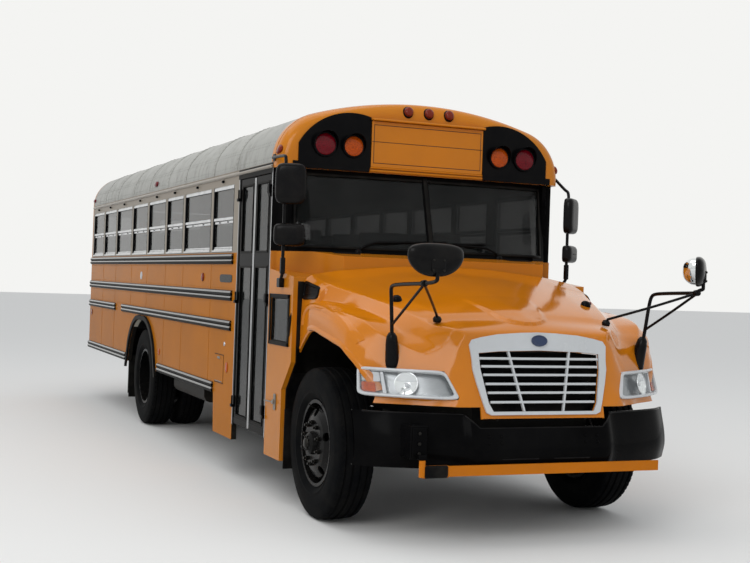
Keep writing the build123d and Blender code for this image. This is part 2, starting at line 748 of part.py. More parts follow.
# Rub rails: (foot, head, rear end, front end) on each side
rail_proud = 20
window_rail = (1762, 1850)
seat_rail = (1452, 1540)
floor_rail = (1200, 1286)
skirt_rail = (skirt_z, 730)
rear_arch_edge = wheelbase + 820
right_rails = (
    (*window_rail, body_rear, door_rear - 108),
    (*seat_rail, body_rear, door_rear - 108),
    (*floor_rail, body_rear, -7060),
    (*floor_rail, -6640, door_rear - 108),
    (*skirt_rail, body_rear, -rear_arch_edge),
    (*skirt_rail, -wheelbase + 860, stepwell_panel_rear - 40),
)
left_rails = (
    (*window_rail, body_rear, door_front - 20),
    (*seat_rail, body_rear, door_front - 20),
    (*floor_rail, body_rear, door_front - 20),
    (*skirt_rail, body_rear, -rear_arch_edge),
    (*skirt_rail, -wheelbase + 860, door_front - 20),
)
with BuildPart() as rub_rails:
    for side, rails in ((-1, right_rails), (1, left_rails)):
        for foot, head, rear, front in rails:
            rib = (head - foot) / 2
            for low in (foot, foot + rib):
                with BuildSketch(Plane.YZ.offset(ahead(rear))):
                    face_y = side * half_width
                    with BuildLine():
                        Polyline((face_y, low + rib), (face_y, low), (face_y + side * 8, low))
                        ThreePointArc(
                            (face_y + side * 8, low),
                            (face_y + side * rail_proud, low + rib / 2),
                            (face_y + side * 8, low + rib),
                        )
                        Line((face_y + side * 8, low + rib), (face_y, low + rib))
                    make_face()
                extrude(amount=front - rear)
write("rub_rails", rub_rails)

# Arch flares and mud flaps, rubber
flare_width = 45
flare_proud = 24
with BuildPart() as arch_flares:
    for side in (-1, 1):
        with BuildSketch(Plane.XZ.offset(-half_width - flare_proud if side > 0 else half_width)):
            with BuildLine():
                rear_arch_lines(flare_width, skirt_z - 65)
            make_face()
            add(rear_arch_opening.sketch_local, mode=Mode.SUBTRACT)
        extrude(amount=flare_proud)
        slab(-wheelbase - 900, -wheelbase - 890, side * 560, side * (half_width - wall - 5), 250, floor_z - floor_thickness - 0.3)
        slab(-626, -616, side * 900, side * (half_width - wall - 4), 255, 640)
        slab(-626, -560, side * (half_width - wall - 4), side * (half_width - wall), 400, 640)
write("arch_flares", arch_flares)

# Hood outer shape as half sections. Columns: ahead of the axle, then y and z of
# the centre top, bulge edge, shoulder crease, valley, fender crest, side and foot.
hood_foot_z = 860
hood_sections = (
    (hood_rear, (0, 1785), (400, 1776), (1085, 1692), (1140, 1650), (1152, 1500), (1158, 1320), (1158, 860)),
    (-112, (0, 1720), (350, 1711), (1040, 1628), (1105, 1570), (1150, 1490), (1158, 1330), (1158, 860)),
    (-98, (0, 1717), (348, 1708), (1035, 1624), (1100, 1510), (1180, 1486), (1196, 1425), (1196, 860)),
    (250, (0, 1622), (275, 1612), (900, 1552), (1000, 1472), (1150, 1462), (1194, 1400), (1196, 860)),
    (550, (0, 1538), (210, 1527), (790, 1482), (890, 1405), (1080, 1415), (1178, 1320), (1192, 860)),
    (700, (0, 1492), (170, 1480), (735, 1437), (840, 1345), (1000, 1335), (1105, 1190), (1168, 860)),
    (800, (0, 1452), (145, 1440), (690, 1398), (770, 1305), (880, 1260), (965, 1130), (1075, 860)),
    (950, (0, 1385), (130, 1385), (590, 1372), (650, 1260), (695, 1180), (735, 1110), (850, 850)),
    (1000, (0, 1350), (128, 1350), (530, 1350), (590, 1250), (625, 1170), (662, 1100), (790, 845)),
    (1060, (0, 1103), (125, 1103), (500, 1103), (545, 1060), (585, 1020), (618, 985), (690, 835)),
    (1100, (0, 938), (122, 938), (465, 938), (520, 936), (555, 934), (588, 930), (640, 840)),
    (1130, (0, 815), (120, 815), (440, 815), (455, 811), (465, 807), (475, 803), (485, 785)),
)


def inset(points, depth):
    """Half section moved `depth` inwards: each point goes along the mean of its two normals."""
    moved = []
    for i, (y, z) in enumerate(points):
        normals = []
        for a, b in zip(points[max(i - 1, 0) : i + 1], points[max(i, 1) : i + 2]):
            length = hypot(b[0] - a[0], b[1] - a[1])
            normals.append(((b[1] - a[1]) / length, -(b[0] - a[0]) / length))
        ny = sum(n[0] for n in normals) / len(normals)
        nz = sum(n[1] for n in normals) / len(normals)
        size = ny * ny + nz * nz
        moved.append((y + depth * ny / size if i else 0, z + depth * nz / size))
    return moved


def hood_face(points):
    """Full section face from half section points."""
    outline(list(points) + [(-y, z) for y, z in reversed(points[1:])])


grille_plane = Plane(
    origin=(ahead(face_top[0]), 0, face_top[1]),
    x_dir=(0, 1, 0),
    z_dir=(1, 0, face_slope),
)
slant = sqrt(1 + face_slope**2)


def on_face(points):
    """Points given as (y, height) turned into places on the slanted grille plane."""
    return [(y, (z - face_top[1]) * slant) for y, z in points]


def mirrored(points):
    """Outline from its half with y >= 0, listed from the top to the foot."""
    return list(points) + [(-y, z) for y, z in reversed(points) if y > 0]


grille_hole = mirrored(((0, 1242), (300, 1234), (448, 1222), (444, 1122), (402, 910), (372, 856)))
grille_outline = mirrored(
    ((0, 1358), (130, 1354), (300, 1342), (420, 1322), (490, 1305), (510, 1274), (498, 1180), (497, 1122),
     (475, 1030), (440, 910), (420, 850), (385, 835))
)
lamp_stations = (
    # ahead of the axle, then y and height of the lamp's top and foot edge
    (705, 1121, 1108, 1155, 934),
    (800, 976, 1104, 1042, 932),
    (950, 738, 1103, 813, 931),
    (998, 663, 1102, 748, 931),
    (1060, 620, 981, 644, 931),
    (1090, 597, 944, 604, 931),
)


def lamp_faces(shift, outward, inward, margin):
    """Section faces of the headlamp body; margin makes them larger all round."""
    last = len(lamp_stations) - 1
    for i, (place, top_y, top_z, foot_y, foot_z) in enumerate(lamp_stations):
        x = place - margin if i == 0 else place + margin if i == last else place
        yield x + shift, [
            (top_y + outward, top_z + margin),
            (foot_y + outward, foot_z - margin),
            (foot_y - inward - 4 * margin, foot_z - margin),
            (top_y - inward - 4 * margin, top_z + margin),
        ]


with BuildPart() as hood_form:
    for place, *points in hood_sections:
        with BuildSketch(Plane.YZ.offset(ahead(place))):
            hood_face(points)
    loft(ruled=True)

with BuildPart() as hood_inside:
    for place, *points in hood_sections:
        moved = inset(points, hood_wall)
        foot_y, foot_z = moved[-1]
        moved[-1] = (foot_y, foot_z - 120)
        with BuildSketch(Plane.YZ.offset(ahead(place - hood_wall))):
            hood_face(moved)
    loft(ruled=True)

lamp_depth_inward = 40
with BuildPart() as lamp_pockets:
    for side in (-1, 1):
        for x, points in lamp_faces(0, 40, lamp_depth_inward, 1):
            with BuildSketch(Plane.YZ.offset(ahead(x))):
                outline([(side * y, z) for y, z in points])
        loft(ruled=True)

with BuildPart() as hood:
    add(hood_form.part)
    add(hood_inside.part, mode=Mode.SUBTRACT)
    for side in (-1, 1):
        with BuildSketch(Plane.XZ.offset(-side * 560)):
            add(front_arch_opening.sketch_local)
        extrude(amount=-side * 700, mode=Mode.SUBTRACT)
        slab(790, 1200, side * 454, side * 1300, 700, 886, mode=Mode.SUBTRACT)
    slab(hood_rear - 5, 1040, -1250, 1250, 700, 862, mode=Mode.SUBTRACT)
    add(lamp_pockets.part, mode=Mode.SUBTRACT)
    with BuildSketch(grille_plane.offset(-60)):
        outline(on_face(grille_hole))
    extrude(amount=120, mode=Mode.SUBTRACT)
    # hinge lugs and pins
    for side in (-1, 1):
        slab(hood_pivot[0] - 12, 1122, side * 300, side * 312, hood_pivot[1] - 12, hood_pivot[1] + 36)
        shaft_y(hood_pivot[0], side * 305, side * 334, hood_pivot[1], hood_pin_radius)
write("hood", hood)

# Grille: surround, bars and uprights in one pressing, with a bare oval on its top
bar_heights = (1190, 1140, 1087, 1030, 975, 916)
with BuildPart() as grille:
    with BuildSketch(grille_plane.offset(seat_clearance)):
        outline(on_face(grille_outline))
        outline(on_face(grille_hole), mode=Mode.SUBTRACT)
    extrude(amount=14)
    with BuildSketch(grille_plane.offset(-10)):
        for height in bar_heights:
            half = 372 + (height - 856) * 0.21
            outline(on_face([(-half, height - 7), (half, height - 7), (half, height + 7), (-half, height + 7)]))
        for side in (-1, 1):
            outline(on_face([(side * 138, 858), (side * 150, 858), (side * 234, 1236), (side * 220, 1236)]))
        outline(on_face(grille_hole), mode=Mode.INTERSECT)
    extrude(amount=18)
    with BuildSketch(grille_plane.offset(14)):
        with Locations(on_face([(0, 1303)])[0]):
            Ellipse(60, 37)
    extrude(amount=7)
write("grille", grille)

# Headlamps, wrapped round the corners of the nose
with BuildPart() as headlamps:
    for side in (-1, 1):
        for x, points in lamp_faces(0, 5, lamp_depth_inward, 0):
            with BuildSketch(Plane.YZ.offset(ahead(x))):
                outline([(side * y, z) for y, z in points])
        loft(ruled=True)
write("headlamps", headlamps)

# Crossview mirrors on tripods over the fenders
# along the mirror's own axis from its rim: the deep glass behind, the shallow back ahead
mirror_dome = (
    (-106, 50, 30), (-78, 128, 78), (-38, 170, 104), (0, 180, 110), (17, 176, 106), (37, 150, 88), (52, 90, 52),
)
mirror_height = 1806
mirror_side = 980
mirror_rims = {-1: (front_reach - 52, -980, 0), 1: (1370, 985, 50)}  # centre ahead and across, turn in degrees
tripod_joint = (1357, 991, 1655)
with BuildPart() as fender_mirrors:
    for side in (-1, 1):
        joint = (tripod_joint[0], side * tripod_joint[1], tripod_joint[2])
        rod((790, side * 935, 1120), (822, side * 958, 1345), 26)
        rod((822, side * 958, 1345), (850, side * 985, 1615), 12)
        rod((850, side * 985, 1615), joint, 11)
        rod((828, side * 962, 1385), joint, 8)
        rod(joint, (827, side * 643, 1440), 8)
        rod((827, side * 643, 1440), (827, side * 643, 1390), 20)
        rim_x, rim_y, turn = mirror_rims[side]
        axis = Vector(cos(radians(turn)), sin(radians(turn)), 0)
        centre = Vector(ahead(rim_x), rim_y, mirror_height)
        foot = centre + axis * 30 - Vector(0, 0, 84)
        rod(joint, (rim_x + axis.X * 34, rim_y + axis.Y * 34, joint[2] + 22), 11)
        rod((rim_x + axis.X * 34, rim_y + axis.Y * 34, joint[2] + 22), (foot.X - ahead(0), foot.Y, foot.Z + 12), 11)
        for place, half_y, half_z in mirror_dome:
            with BuildSketch(Plane(origin=centre + axis * place, x_dir=(-axis.Y, axis.X, 0), z_dir=axis)):
                Ellipse(half_y, half_z)
        loft(ruled=True)
    add(hood_form.part, mode=Mode.SUBTRACT)
write("fender_mirrors", fender_mirrors)

# Frame: two channel rails, crossmembers, brackets, the hood's hinge arms, tow plates
crossmembers = (-1500, -2400, -3300, -4200, -5000, -6000, -6900, -7800, -8600)
front_spring_half = 660
rear_spring_half = 750
front_spring_y = (380, 460)
rear_spring_y = (355, 430)
tow_eye = (-8862, 596)
tow_eye_radius = 22
tow_plate_y = (380, 400)
with BuildPart() as chassis_frame:
    with BuildSketch(Plane.YZ.offset(ahead(rail_rear))):
        for side in (-1, 1):
            outline(
                [
                    (side * rail_outer_y, rail_foot_z),
                    (side * rail_outer_y, rail_head_z),
                    (side * (rail_outer_y - rail_flange), rail_head_z),
                    (side * (rail_outer_y - rail_flange), rail_head_z - rail_web),
                    (side * (rail_outer_y - rail_web), rail_head_z - rail_web),
                    (side * (rail_outer_y - rail_web), rail_foot_z + rail_web),
                    (side * (rail_outer_y - rail_flange), rail_foot_z + rail_web),
                    (side * (rail_outer_y - rail_flange), rail_foot_z),
                ]
            )
    extrude(amount=rail_front - rail_rear)
    web_y = rail_outer_y - rail_web
    for place in crossmembers:
        slab(place - 30, place + 30, -web_y, web_y, 800, 930)
    slab(-720, -680, -web_y, web_y, 905, 946)
    slab(740, 840, -web_y, web_y, 705, 719.7)
    slab(928, 950, -web_y, web_y, 720, 900)
    for side in (-1, 1):
        near, far = front_spring_y
        for end in (-front_spring_half, front_spring_half):
            slab(end - 25, end + 25, side * near, side * far, 660.3, rail_foot_z)
        near, far = rear_spring_y
        for end in (-rear_spring_half, rear_spring_half):
            slab(-wheelbase + end - 25, -wheelbase + end + 25, side * near, side * far, 690.3, rail_foot_z)
        # bumper bracket under the rail
        with BuildSketch(Plane.XZ.offset(-side * 360)):
            outline([(ahead(800), 700), (ahead(1114.7), 700), (ahead(1129.7), 640), (ahead(900), 640)])
        extrude(amount=-side * 65)
        # hood hinge arm
        slab(930, hood_pivot[0], side * 318, side * 330, hood_pivot[1] - 11, hood_pivot[1] + 11)
        shaft_y(hood_pivot[0], side * 318, side * 330, hood_pivot[1], 11)
        shaft_y(hood_pivot[0], side * 317, side * 331, hood_pivot[1], hood_pin_radius + running_fit,
                mode=Mode.SUBTRACT)
        # rear tow plate
        with BuildSketch(Plane.XZ.offset(-side * tow_plate_y[0])):
            outline(
                [
                    (ahead(-8500), 705),
                    (ahead(-8715), 705),
                    (ahead(-8715), 634),
                    (ahead(-8905), 634),
                    (ahead(-8905), 558),
                    (ahead(-8715), 558),
                    (ahead(-8500), 640),
                ]
            )
            with Locations((ahead(tow_eye[0]), tow_eye[1])):
                Circle(tow_eye_radius, mode=Mode.SUBTRACT)
        extrude(amount=-side * (tow_plate_y[1] - tow_plate_y[0]))
write("chassis_frame", chassis_frame)

# Engine, radiator, gearbox and propeller shaft
with BuildPart() as engine_block:
    slab(-545, 650, -300, 300, 560, 1100)
    slab(-350, 650, -240, 240, 1100, 1400)
    shaft_x(650, 700, 0, 900, 220)
    for side in (-1, 1):
        slab(150, 250, side * 290, side * (rail_outer_y - 10), 670, rail_foot_z)
write("engine_block", engine_block)

with BuildPart() as radiator:
    slab(760, 830, -330, 330, 720, 1290)
write("radiator", radiator)

axle_z = tyre_radius
with BuildPart() as driveline:
    shaft_x(-1250, -545.3, 0, 730, 170)
    slab(-1200, -700, -150, 150, 540, 640)
    rod((-1230, 0, 730), (-wheelbase + 320, 0, 575), 45)
write("driveline", driveline)

# Exhaust, left side
exhaust_run = (
    ((-595, 255, 600), (-900, 255, 600)),
    ((-900, 255, 600), (-1500, 600, 640)),
    ((-1500, 600, 640), (-2050, 640, 640)),
    ((-2980, 640, 640), (-3500, 508, 770)),
    ((-3500, 508, 770), (-8350, 508, 770)),
    ((-8350, 508, 770), (-8700, 508, 590)),
    ((-8700, 508, 590), (-8900, 508, 590)),
)
with BuildPart() as exhaust:
    for start, end in exhaust_run:
        rod(start, end, 36)
    shaft_x(-2990, -2030, 640, 640, 120)
    # hangers from the left rail
    for place in (-2800, -2250):
        slab(place - 15, place + 15, rail_outer_y, 640, 752, 762)
    for place in (-4400, -6500, -8200):
        slab(place - 15, place + 15, rail_outer_y, 500, 764, 776)
write("exhaust", exhaust)

# Fuel tank on the right rail, battery box on the left rail
with BuildPart() as fuel_tank:
    slab(-4400, -3200, -1100, -520, 470, 930)
    fillet(fuel_tank.edges().filter_by(Axis.X), 70)
    for place in (-4150, -3450):
        slab(place - 30, place + 30, -530, -rail_outer_y - seat_clearance, 740, 900)
write("fuel_tank", fuel_tank)

with BuildPart() as battery_box:
    slab(-1750, -1250, 720, 1140, 560, 900)
    for place in (-1650, -1350):
        slab(place - 25, place + 25, rail_outer_y + seat_clearance, 720, 740, 800)
write("battery_box", battery_box)


def spring_side(place, half, seat_z, eye_z, thick):
    """Side view of a leaf spring pack, flat over its seat and rising to its eyes."""
    return [
        (ahead(place - half), eye_z - 12),
        (ahead(place - half), eye_z + 12),
        (ahead(place - half / 2), seat_z + thick * 0.75 + (eye_z - seat_z) * 0.3),
        (ahead(place - 80), seat_z + thick),
        (ahead(place + 80), seat_z + thick),
        (ahead(place + half / 2), seat_z + thick * 0.75 + (eye_z - seat_z) * 0.3),
        (ahead(place + half), eye_z + 12),
        (ahead(place + half), eye_z - 12),
        (ahead(place + half / 2), seat_z + (eye_z - seat_z) * 0.25),
        (ahead(place + 80), seat_z),
        (ahead(place - 80), seat_z),
        (ahead(place - half / 2), seat_z + (eye_z - seat_z) * 0.25),
    ]


# Front axle with its springs, and the steering knuckles
beam_foot_z = 420
beam_head_z = 500
boss_foot_z = 430
boss_head_z = 520
boss_radius = 52
with BuildPart() as front_axle:
    slab(-50, 50, -kingpin_y, kingpin_y, beam_foot_z + 15, beam_head_z)
    slab(-60, 60, -700, 700, beam_foot_z, beam_head_z)
    for side in (-1, 1):
        slab(-60, 60, side * (kingpin_y - 10), side * 1000, 380, 620, mode=Mode.SUBTRACT)
        shaft_z(0, side * kingpin_y, boss_foot_z, boss_head_z, boss_radius)
        shaft_z(0, side * kingpin_y, boss_foot_z - 20, boss_head_z + 20, kingpin_radius + running_fit,
                mode=Mode.SUBTRACT)
        near, far = front_spring_y
        with BuildSketch(Plane.XZ.offset(-side * near)):
            outline(spring_side(0, front_spring_half, beam_head_z, 640, 75))
        extrude(amount=-side * (far - near))
        for end in (-front_spring_half, front_spring_half):
            shaft_y(end, side * near, side * far, 640, 20)
write("front_axle", front_axle)

steer_arm = -200
tie_pin_radius = 10
ear_gap = 0.5
for side, name in ((-1, "right"), (1, "left")):
    with BuildPart() as knuckle:
        for low, high in ((boss_head_z + ear_gap, 560), (390, boss_foot_z - ear_gap)):
            shaft_z(0, side * kingpin_y, low, high, boss_radius)
            slab(-boss_radius, boss_radius, side * kingpin_y, side * 965, low, high)
        slab(-boss_radius, boss_radius, side * 940, side * 965, 390, 590)
        shaft_z(0, side * kingpin_y, 400, 550, kingpin_radius)
        shaft_y(0, side * 960, side * (front_tyre_y + 100), axle_z, spindle_radius)
        slab(steer_arm, -20, side * (kingpin_y - 22), side * (kingpin_y + 22), 392, 420)
        shaft_z(steer_arm, side * kingpin_y, 392, 420, 22)
        shaft_z(steer_arm, side * kingpin_y, 391, 421, tie_pin_radius + running_fit, mode=Mode.SUBTRACT)
    write(f"knuckle_{name}", knuckle)

# Tie rod between the knuckle arms
with BuildPart() as tie_rod:
    shaft_y(steer_arm, -kingpin_y, kingpin_y, 366, 17)
    for side in (-1, 1):
        shaft_z(steer_arm, side * kingpin_y, 344, 391.5, 24)
        shaft_z(steer_arm, side * kingpin_y, 391.5, 420, tie_pin_radius)
write("tie_rod", tie_rod)

# Rear axle with its springs and brake drums
rear_spindle_radius = 50
with BuildPart() as rear_axle:
    shaft_y(-wheelbase, -700, 700, axle_z, 60)
    shaft_y(-wheelbase, -1028, 1028, axle_z, rear_spindle_radius)
    with Locations((rear_axle_x, 0, axle_z)):
        Sphere(185)
    shaft_x(-wheelbase, -wheelbase + 260, 0, 550, 70)
    for side in (-1, 1):
        shaft_y(-wheelbase, side * 610, side * 690, axle_z, 200)
        near, far = rear_spring_y
        with BuildSketch(Plane.XZ.offset(-side * near)):
            outline(spring_side(-wheelbase, rear_spring_half, 580, 670, 70))
        extrude(amount=-side * (far - near))
        for end in (-rear_spring_half, rear_spring_half):
            shaft_y(-wheelbase + end, side * near, side * far, 670, 20)
write("rear_axle", rear_axle)

# Tyre and rim sections as (outwards from the tyre's middle, radius)
rim_radius = bead_radius - seat_clearance
rim_inner = rim_radius - rim_wall
flange_radius = 300
flange_half = rim_half_width + 8


def ring_plane(place):
    """Plane across the vehicle at an axle, for sections turned about the wheel's axis."""
    return Plane.YZ.offset(ahead(place))


def turned(side, middle, points):
    """Section points to sketch points beside a wheel's middle, above its axis."""
    return [(side * (middle + t), axle_z + r) for t, r in points]


def tyre_lines(side, middle):
    """Closed outline of a tyre's hollow section."""
    def at(t, r):
        return (side * (middle + t), axle_z + r)
    half = tyre_width / 2
    bead = rim_half_width - seat_clearance
    Line(at(bead, bead_radius), at(bead, flange_radius + 2))
    ThreePointArc(at(bead, flange_radius + 2), at(half, 395), at(half - 14, 500))
    ThreePointArc(at(half - 14, 500), at(half - 20, 513), at(half - 36, 521))
    ThreePointArc(at(half - 36, 521), at(0, tyre_radius), at(-half + 36, 521))
    ThreePointArc(at(-half + 36, 521), at(-half + 20, 513), at(-half + 14, 500))
    ThreePointArc(at(-half + 14, 500), at(-half, 395), at(-bead, flange_radius + 2))
    Line(at(-bead, flange_radius + 2), at(-bead, bead_radius))
    Line(at(-bead, bead_radius), at(-bead + 22, bead_radius))
    ThreePointArc(at(-bead + 22, bead_radius), at(-half + 20, 395), at(-half + 38, 490))
    ThreePointArc(at(-half + 38, 490), at(0, 500), at(half - 38, 490))
    ThreePointArc(at(half - 38, 490), at(half - 20, 395), at(bead - 22, bead_radius))
    Line(at(bead - 22, bead_radius), at(bead, bead_radius))


barrel = (
    (-flange_half, rim_inner),
    (-flange_half, flange_radius),
    (-rim_half_width, flange_radius),
    (-rim_half_width, rim_radius),
    (rim_half_width, rim_radius),
    (rim_half_width, flange_radius),
    (flange_half, flange_radius),
    (flange_half, rim_inner),
)
front_disc = (
    (40, rim_inner + 1),
    (98, 238),
    (122, 195),
    (132, 160),
    (132, 60),
    (120, 60),
    (120, 160),
    (110, 192),
    (86, 230),
    (26, rim_inner + 1),
)
front_hub = (
    (-62, spindle_radius + running_fit),
    (-62, 78),
    (90, 78),
    (90, 112),
    (121, 112),
    (121, 84),
    (160, 76),
    (176, 58),
    (176, 0),
    (106, 0),
    (106, spindle_radius + running_fit),
)
hand_hole_radius = 30
hand_hole_circle = 212
hand_holes = 5
for side, name in ((-1, "right"), (1, "left")):
    wheel_axis = Axis((ahead(0), 0, axle_z), (0, 1, 0))
    with BuildPart() as front_rim:
        with BuildSketch(ring_plane(0)):
            for points in (barrel, front_disc, front_hub):
                outline(turned(side, front_tyre_y, points))
        revolve(axis=wheel_axis)
        with Locations(Plane(origin=(ahead(0), side * (front_tyre_y + 70), axle_z), z_dir=(0, 1, 0))):
            with PolarLocations(hand_hole_circle, hand_holes):
                Cylinder(hand_hole_radius, 160, mode=Mode.SUBTRACT)
    write(f"front_rim_{name}", front_rim)
    with BuildPart() as front_tyre:
        with BuildSketch(ring_plane(0)):
            with BuildLine():
                tyre_lines(side, front_tyre_y)
            make_face()
        revolve(axis=wheel_axis)
    write(f"front_tyre_{name}", front_tyre)

# Twin rear wheels: two rims on one hub, two tyres
rear_disc = (
    (95, rim_inner + 1),
    (40, 236),
    (16, 195),
    (6.5, 160),
    (6.5, 60),
    (-6.5, 60),
    (-6.5, 160),
    (4, 198),
    (28, 244),
    (81, rim_inner + 1),
)
rear_hub = (
    (-150, rear_spindle_radius + running_fit),
    (-150, 88),
    (120, 88),
    (150, 80),
    (168, 74),
    (168, 0),
    (150, 0),
    (150, rear_spindle_radius + running_fit),
)
for side, name in ((-1, "right"), (1, "left")):
    wheel_axis = Axis((rear_axle_x, 0, axle_z), (0, 1, 0))
    with BuildPart() as rear_rims:
        with BuildSketch(ring_plane(-wheelbase)):
            outline(turned(side, rear_outer_y, barrel))
            outline(turned(side, rear_inner_y, barrel))
            outline(turned(side, dual_mid_y, rear_disc))
            outline(turned(side, dual_mid_y, [(-t, r) for t, r in rear_disc]))
            outline(turned(side, dual_mid_y, rear_hub))
        revolve(axis=wheel_axis)
        with Locations(Plane(origin=(rear_axle_x, side * dual_mid_y, axle_z), z_dir=(0, 1, 0))):
            with PolarLocations(hand_hole_circle, hand_holes):
                Cylinder(hand_hole_radius, 260, mode=Mode.SUBTRACT)
    write(f"rear_rims_{name}", rear_rims)
    with BuildPart() as rear_tyres:
        with BuildSketch(ring_plane(-wheelbase)):
            for middle in (rear_outer_y, rear_inner_y):
                with BuildLine():
                    tyre_lines(side, middle)
                make_face()
        revolve(axis=wheel_axis)
    write(f"rear_tyres_{name}", rear_tyres)

# Bumpers. The front one is a pressed band, its middle lower than its ends.
bumper_plan = ((0, 1090), (480, 1090), (560, 1046), (680, 1002), (800, 962), (930, 912), (1050, 852), (1180, 742))
bumper_levels = ((490, 30), (600, 60), (840, 0))  # height, how far ahead of the plan
bumper_wall = 10
arm_pivot = (1158, -870)
arm_pin_radius = 8
arm_bar = (462, 528)  # foot and head of the crossing arm's bar
with BuildPart() as front_bumper:
    for height, forward in bumper_levels:
        with BuildSketch(Plane.XY.offset(height)):
            outline(band(bumper_plan, bumper_wall, -forward))
    loft(ruled=True)
    with BuildSketch(Plane.YZ.offset(ahead(700))):
        outline([(-454, 756), (454, 756), (543, 842), (-543, 842)])
    extrude(amount=600, mode=Mode.SUBTRACT)
    # crossing arm bracket and its pin
    slab(950, 1120, -935, -815, 567, 775)
    slab(1110, arm_pivot[0] + 16, -898, -842, 567, 600)
    shaft_z(arm_pivot[0], arm_pivot[1], arm_bar[0], 570, arm_pin_radius)
write("front_bumper", front_bumper)

plate_hole_radius = 3.5
plate_hole_spacing = 178
rear_bumper_z = (650, 963)
with BuildPart() as rear_bumper:
    foot, head = rear_bumper_z
    slab(-rear_reach, body_rear - seat_clearance, -1180, 1180, foot, head)
    slab(-rear_reach + 9, body_rear, -1190, 1190, foot + 9, head - 9, mode=Mode.SUBTRACT)
    for side in (-1, 1):
        shaft_x(-rear_reach - 5, -rear_reach + 15, side * plate_hole_spacing / 2, 820, plate_hole_radius,
                mode=Mode.SUBTRACT)
write("rear_bumper", rear_bumper)

# Crossing arm, folded across the front bumper
arm_reach = 1738
with BuildPart() as crossing_arm:
    shaft_z(arm_pivot[0], arm_pivot[1], arm_bar[0], 566.5, 20)
    slab(arm_pivot[0] - 8, arm_pivot[0] + 8, arm_pivot[1], arm_pivot[1] + arm_reach, *arm_bar)
    slab(arm_pivot[0] - 14, arm_pivot[0] + 14, arm_pivot[1], arm_pivot[1] + 175, arm_bar[0] - 4, arm_bar[1] + 4)
    shaft_z(arm_pivot[0], arm_pivot[1], arm_bar[0] - 6, 567, arm_pin_radius + running_fit,
            mode=Mode.SUBTRACT)
write("crossing_arm", crossing_arm)

# Stop arm: a bare eight-sided plate folded against the left side, and its bracket
stop_pivot = (-1700, 1262)
stop_centre_z = 1650
stop_plate = 457
stop_pin_radius = 6
with BuildPart() as stop_arm:
    with BuildSketch(Plane.XZ.offset(-stop_pivot[1] + 3)):
        with Locations((ahead(stop_pivot[0] - 60 - stop_plate / 2), stop_centre_z)):
            RegularPolygon(stop_plate / 2 / cos(radians(22.5)), 8, rotation=22.5)
        with Locations((ahead(stop_pivot[0] - 60), stop_centre_z)):
            Rectangle(120, 200)
    extrude(amount=-6)
    shaft_z(stop_pivot[0], stop_pivot[1], stop_centre_z - 100, stop_centre_z + 100, 14)
    shaft_z(stop_pivot[0], stop_pivot[1], stop_centre_z - 110, stop_centre_z + 110,
            stop_pin_radius + running_fit, mode=Mode.SUBTRACT)
write("stop_arm", stop_arm)

with BuildPart() as stop_arm_bracket:
    slab(stop_pivot[0] + 22, stop_pivot[0] + 90, half_width, stop_pivot[1] + 18,
         stop_centre_z - 105, stop_centre_z + 105)
    for low, high in ((-110, -100.3), (100.3, 110)):
        slab(stop_pivot[0] - 12, stop_pivot[0] + 30, half_width + 26, stop_pivot[1] + 14,
             stop_centre_z + low, stop_centre_z + high)
    shaft_z(stop_pivot[0], stop_pivot[1], stop_centre_z - 108, stop_centre_z + 108, stop_pin_radius)
write("stop_arm_bracket", stop_arm_bracket)

# Side mirrors on poles: housings as (side, pole x, upper foot and head, lower foot and head)
mirror_sets = ((-1, -570, 2200, 2500, 1895, 2060), (1, -700, 2100, 2390, 1865, 2005))
mirror_turns = {-1: (56.6, -1221, -20), 1: (70, 1234.3, 42)}  # middle ahead of the pole and across, degrees
with BuildPart() as side_mirrors:
    for side, pole, upper_foot, upper_head, lower_foot, lower_head in mirror_sets:
        pole_y = side * 1245
        for foot, head in ((upper_foot, upper_head), (lower_foot, lower_head)):
            forward, across, turn = mirror_turns[side]
            with Locations(Location((ahead(pole) + forward, across, (foot + head) / 2), (0, 0, turn))):
                Box(70, 228, head - foot)
    fillet(side_mirrors.edges(), 18)
    for side, pole, upper_foot, upper_head, lower_foot, lower_head in mirror_sets:
        pole_y = side * 1245
        foot_z = 1700 if side < 0 else 1740
        rod((pole, pole_y, foot_z), (pole, pole_y, upper_head + 60), 12)
        for middle in ((upper_foot + upper_head) / 2, (lower_foot + lower_head) / 2):
            slab(pole - 12, pole + 14, pole_y - 14, pole_y + 14, middle - 20, middle + 20)
        rod((pole, pole_y, upper_head + 60), (-920, side * 1237, 2572), 10)
        slab(-945, -898, side * half_width, side * (half_width + 10), 2545, 2600)
        rod((pole, pole_y, foot_z), (pole - 56, side * 1239, foot_z - 66), 11)
        slab(pole - 90, pole - 20, side * (half_width), side * (half_width + 40), foot_z - 110, foot_z - 40)
write("side_mirrors", side_mirrors)

# Seats: benches in rows on both sides of the aisle, two barriers, the driver's seat
bench_rows = 9
bench_first = -2600
bench_pitch = 705
bench_y = (180, 1168)
bench_profile = (
    (-60, 1395), (395, 1405), (410, 1480), (40, 1470), (-35, 2105), (-65, 2130), (-105, 2120), (-80, 1470),
)
with BuildPart() as seats:
    for side in (-1, 1):
        near, far = bench_y
        with BuildSketch(Plane.XZ.offset(-side * near)):
            for row in range(bench_rows):
                start = bench_first - bench_pitch * row
                outline([(ahead(start + x), z) for x, z in bench_profile])
        extrude(amount=-side * (far - near))
        for row in range(bench_rows):
            start = bench_first - bench_pitch * row
            for leg in (-40, 350):
                slab(start + leg, start + leg + 30, side * 215, side * 245, floor_z + 0.3, 1400)
        slab(-2080, -2050, side * 300, side * 1168, floor_z + 0.3, 2000)
    with BuildSketch(Plane.XZ.offset(-310)):
        outline(
            [(ahead(x - 1480), z) for x, z in ((-60, 1450), (420, 1460), (430, 1560), (40, 1545), (-60, 2080),
                                               (-100, 2090), (-130, 1450))]
        )
    extrude(amount=-500)
    slab(-1480, -1150, 440, 680, floor_z + 0.3, 1455)
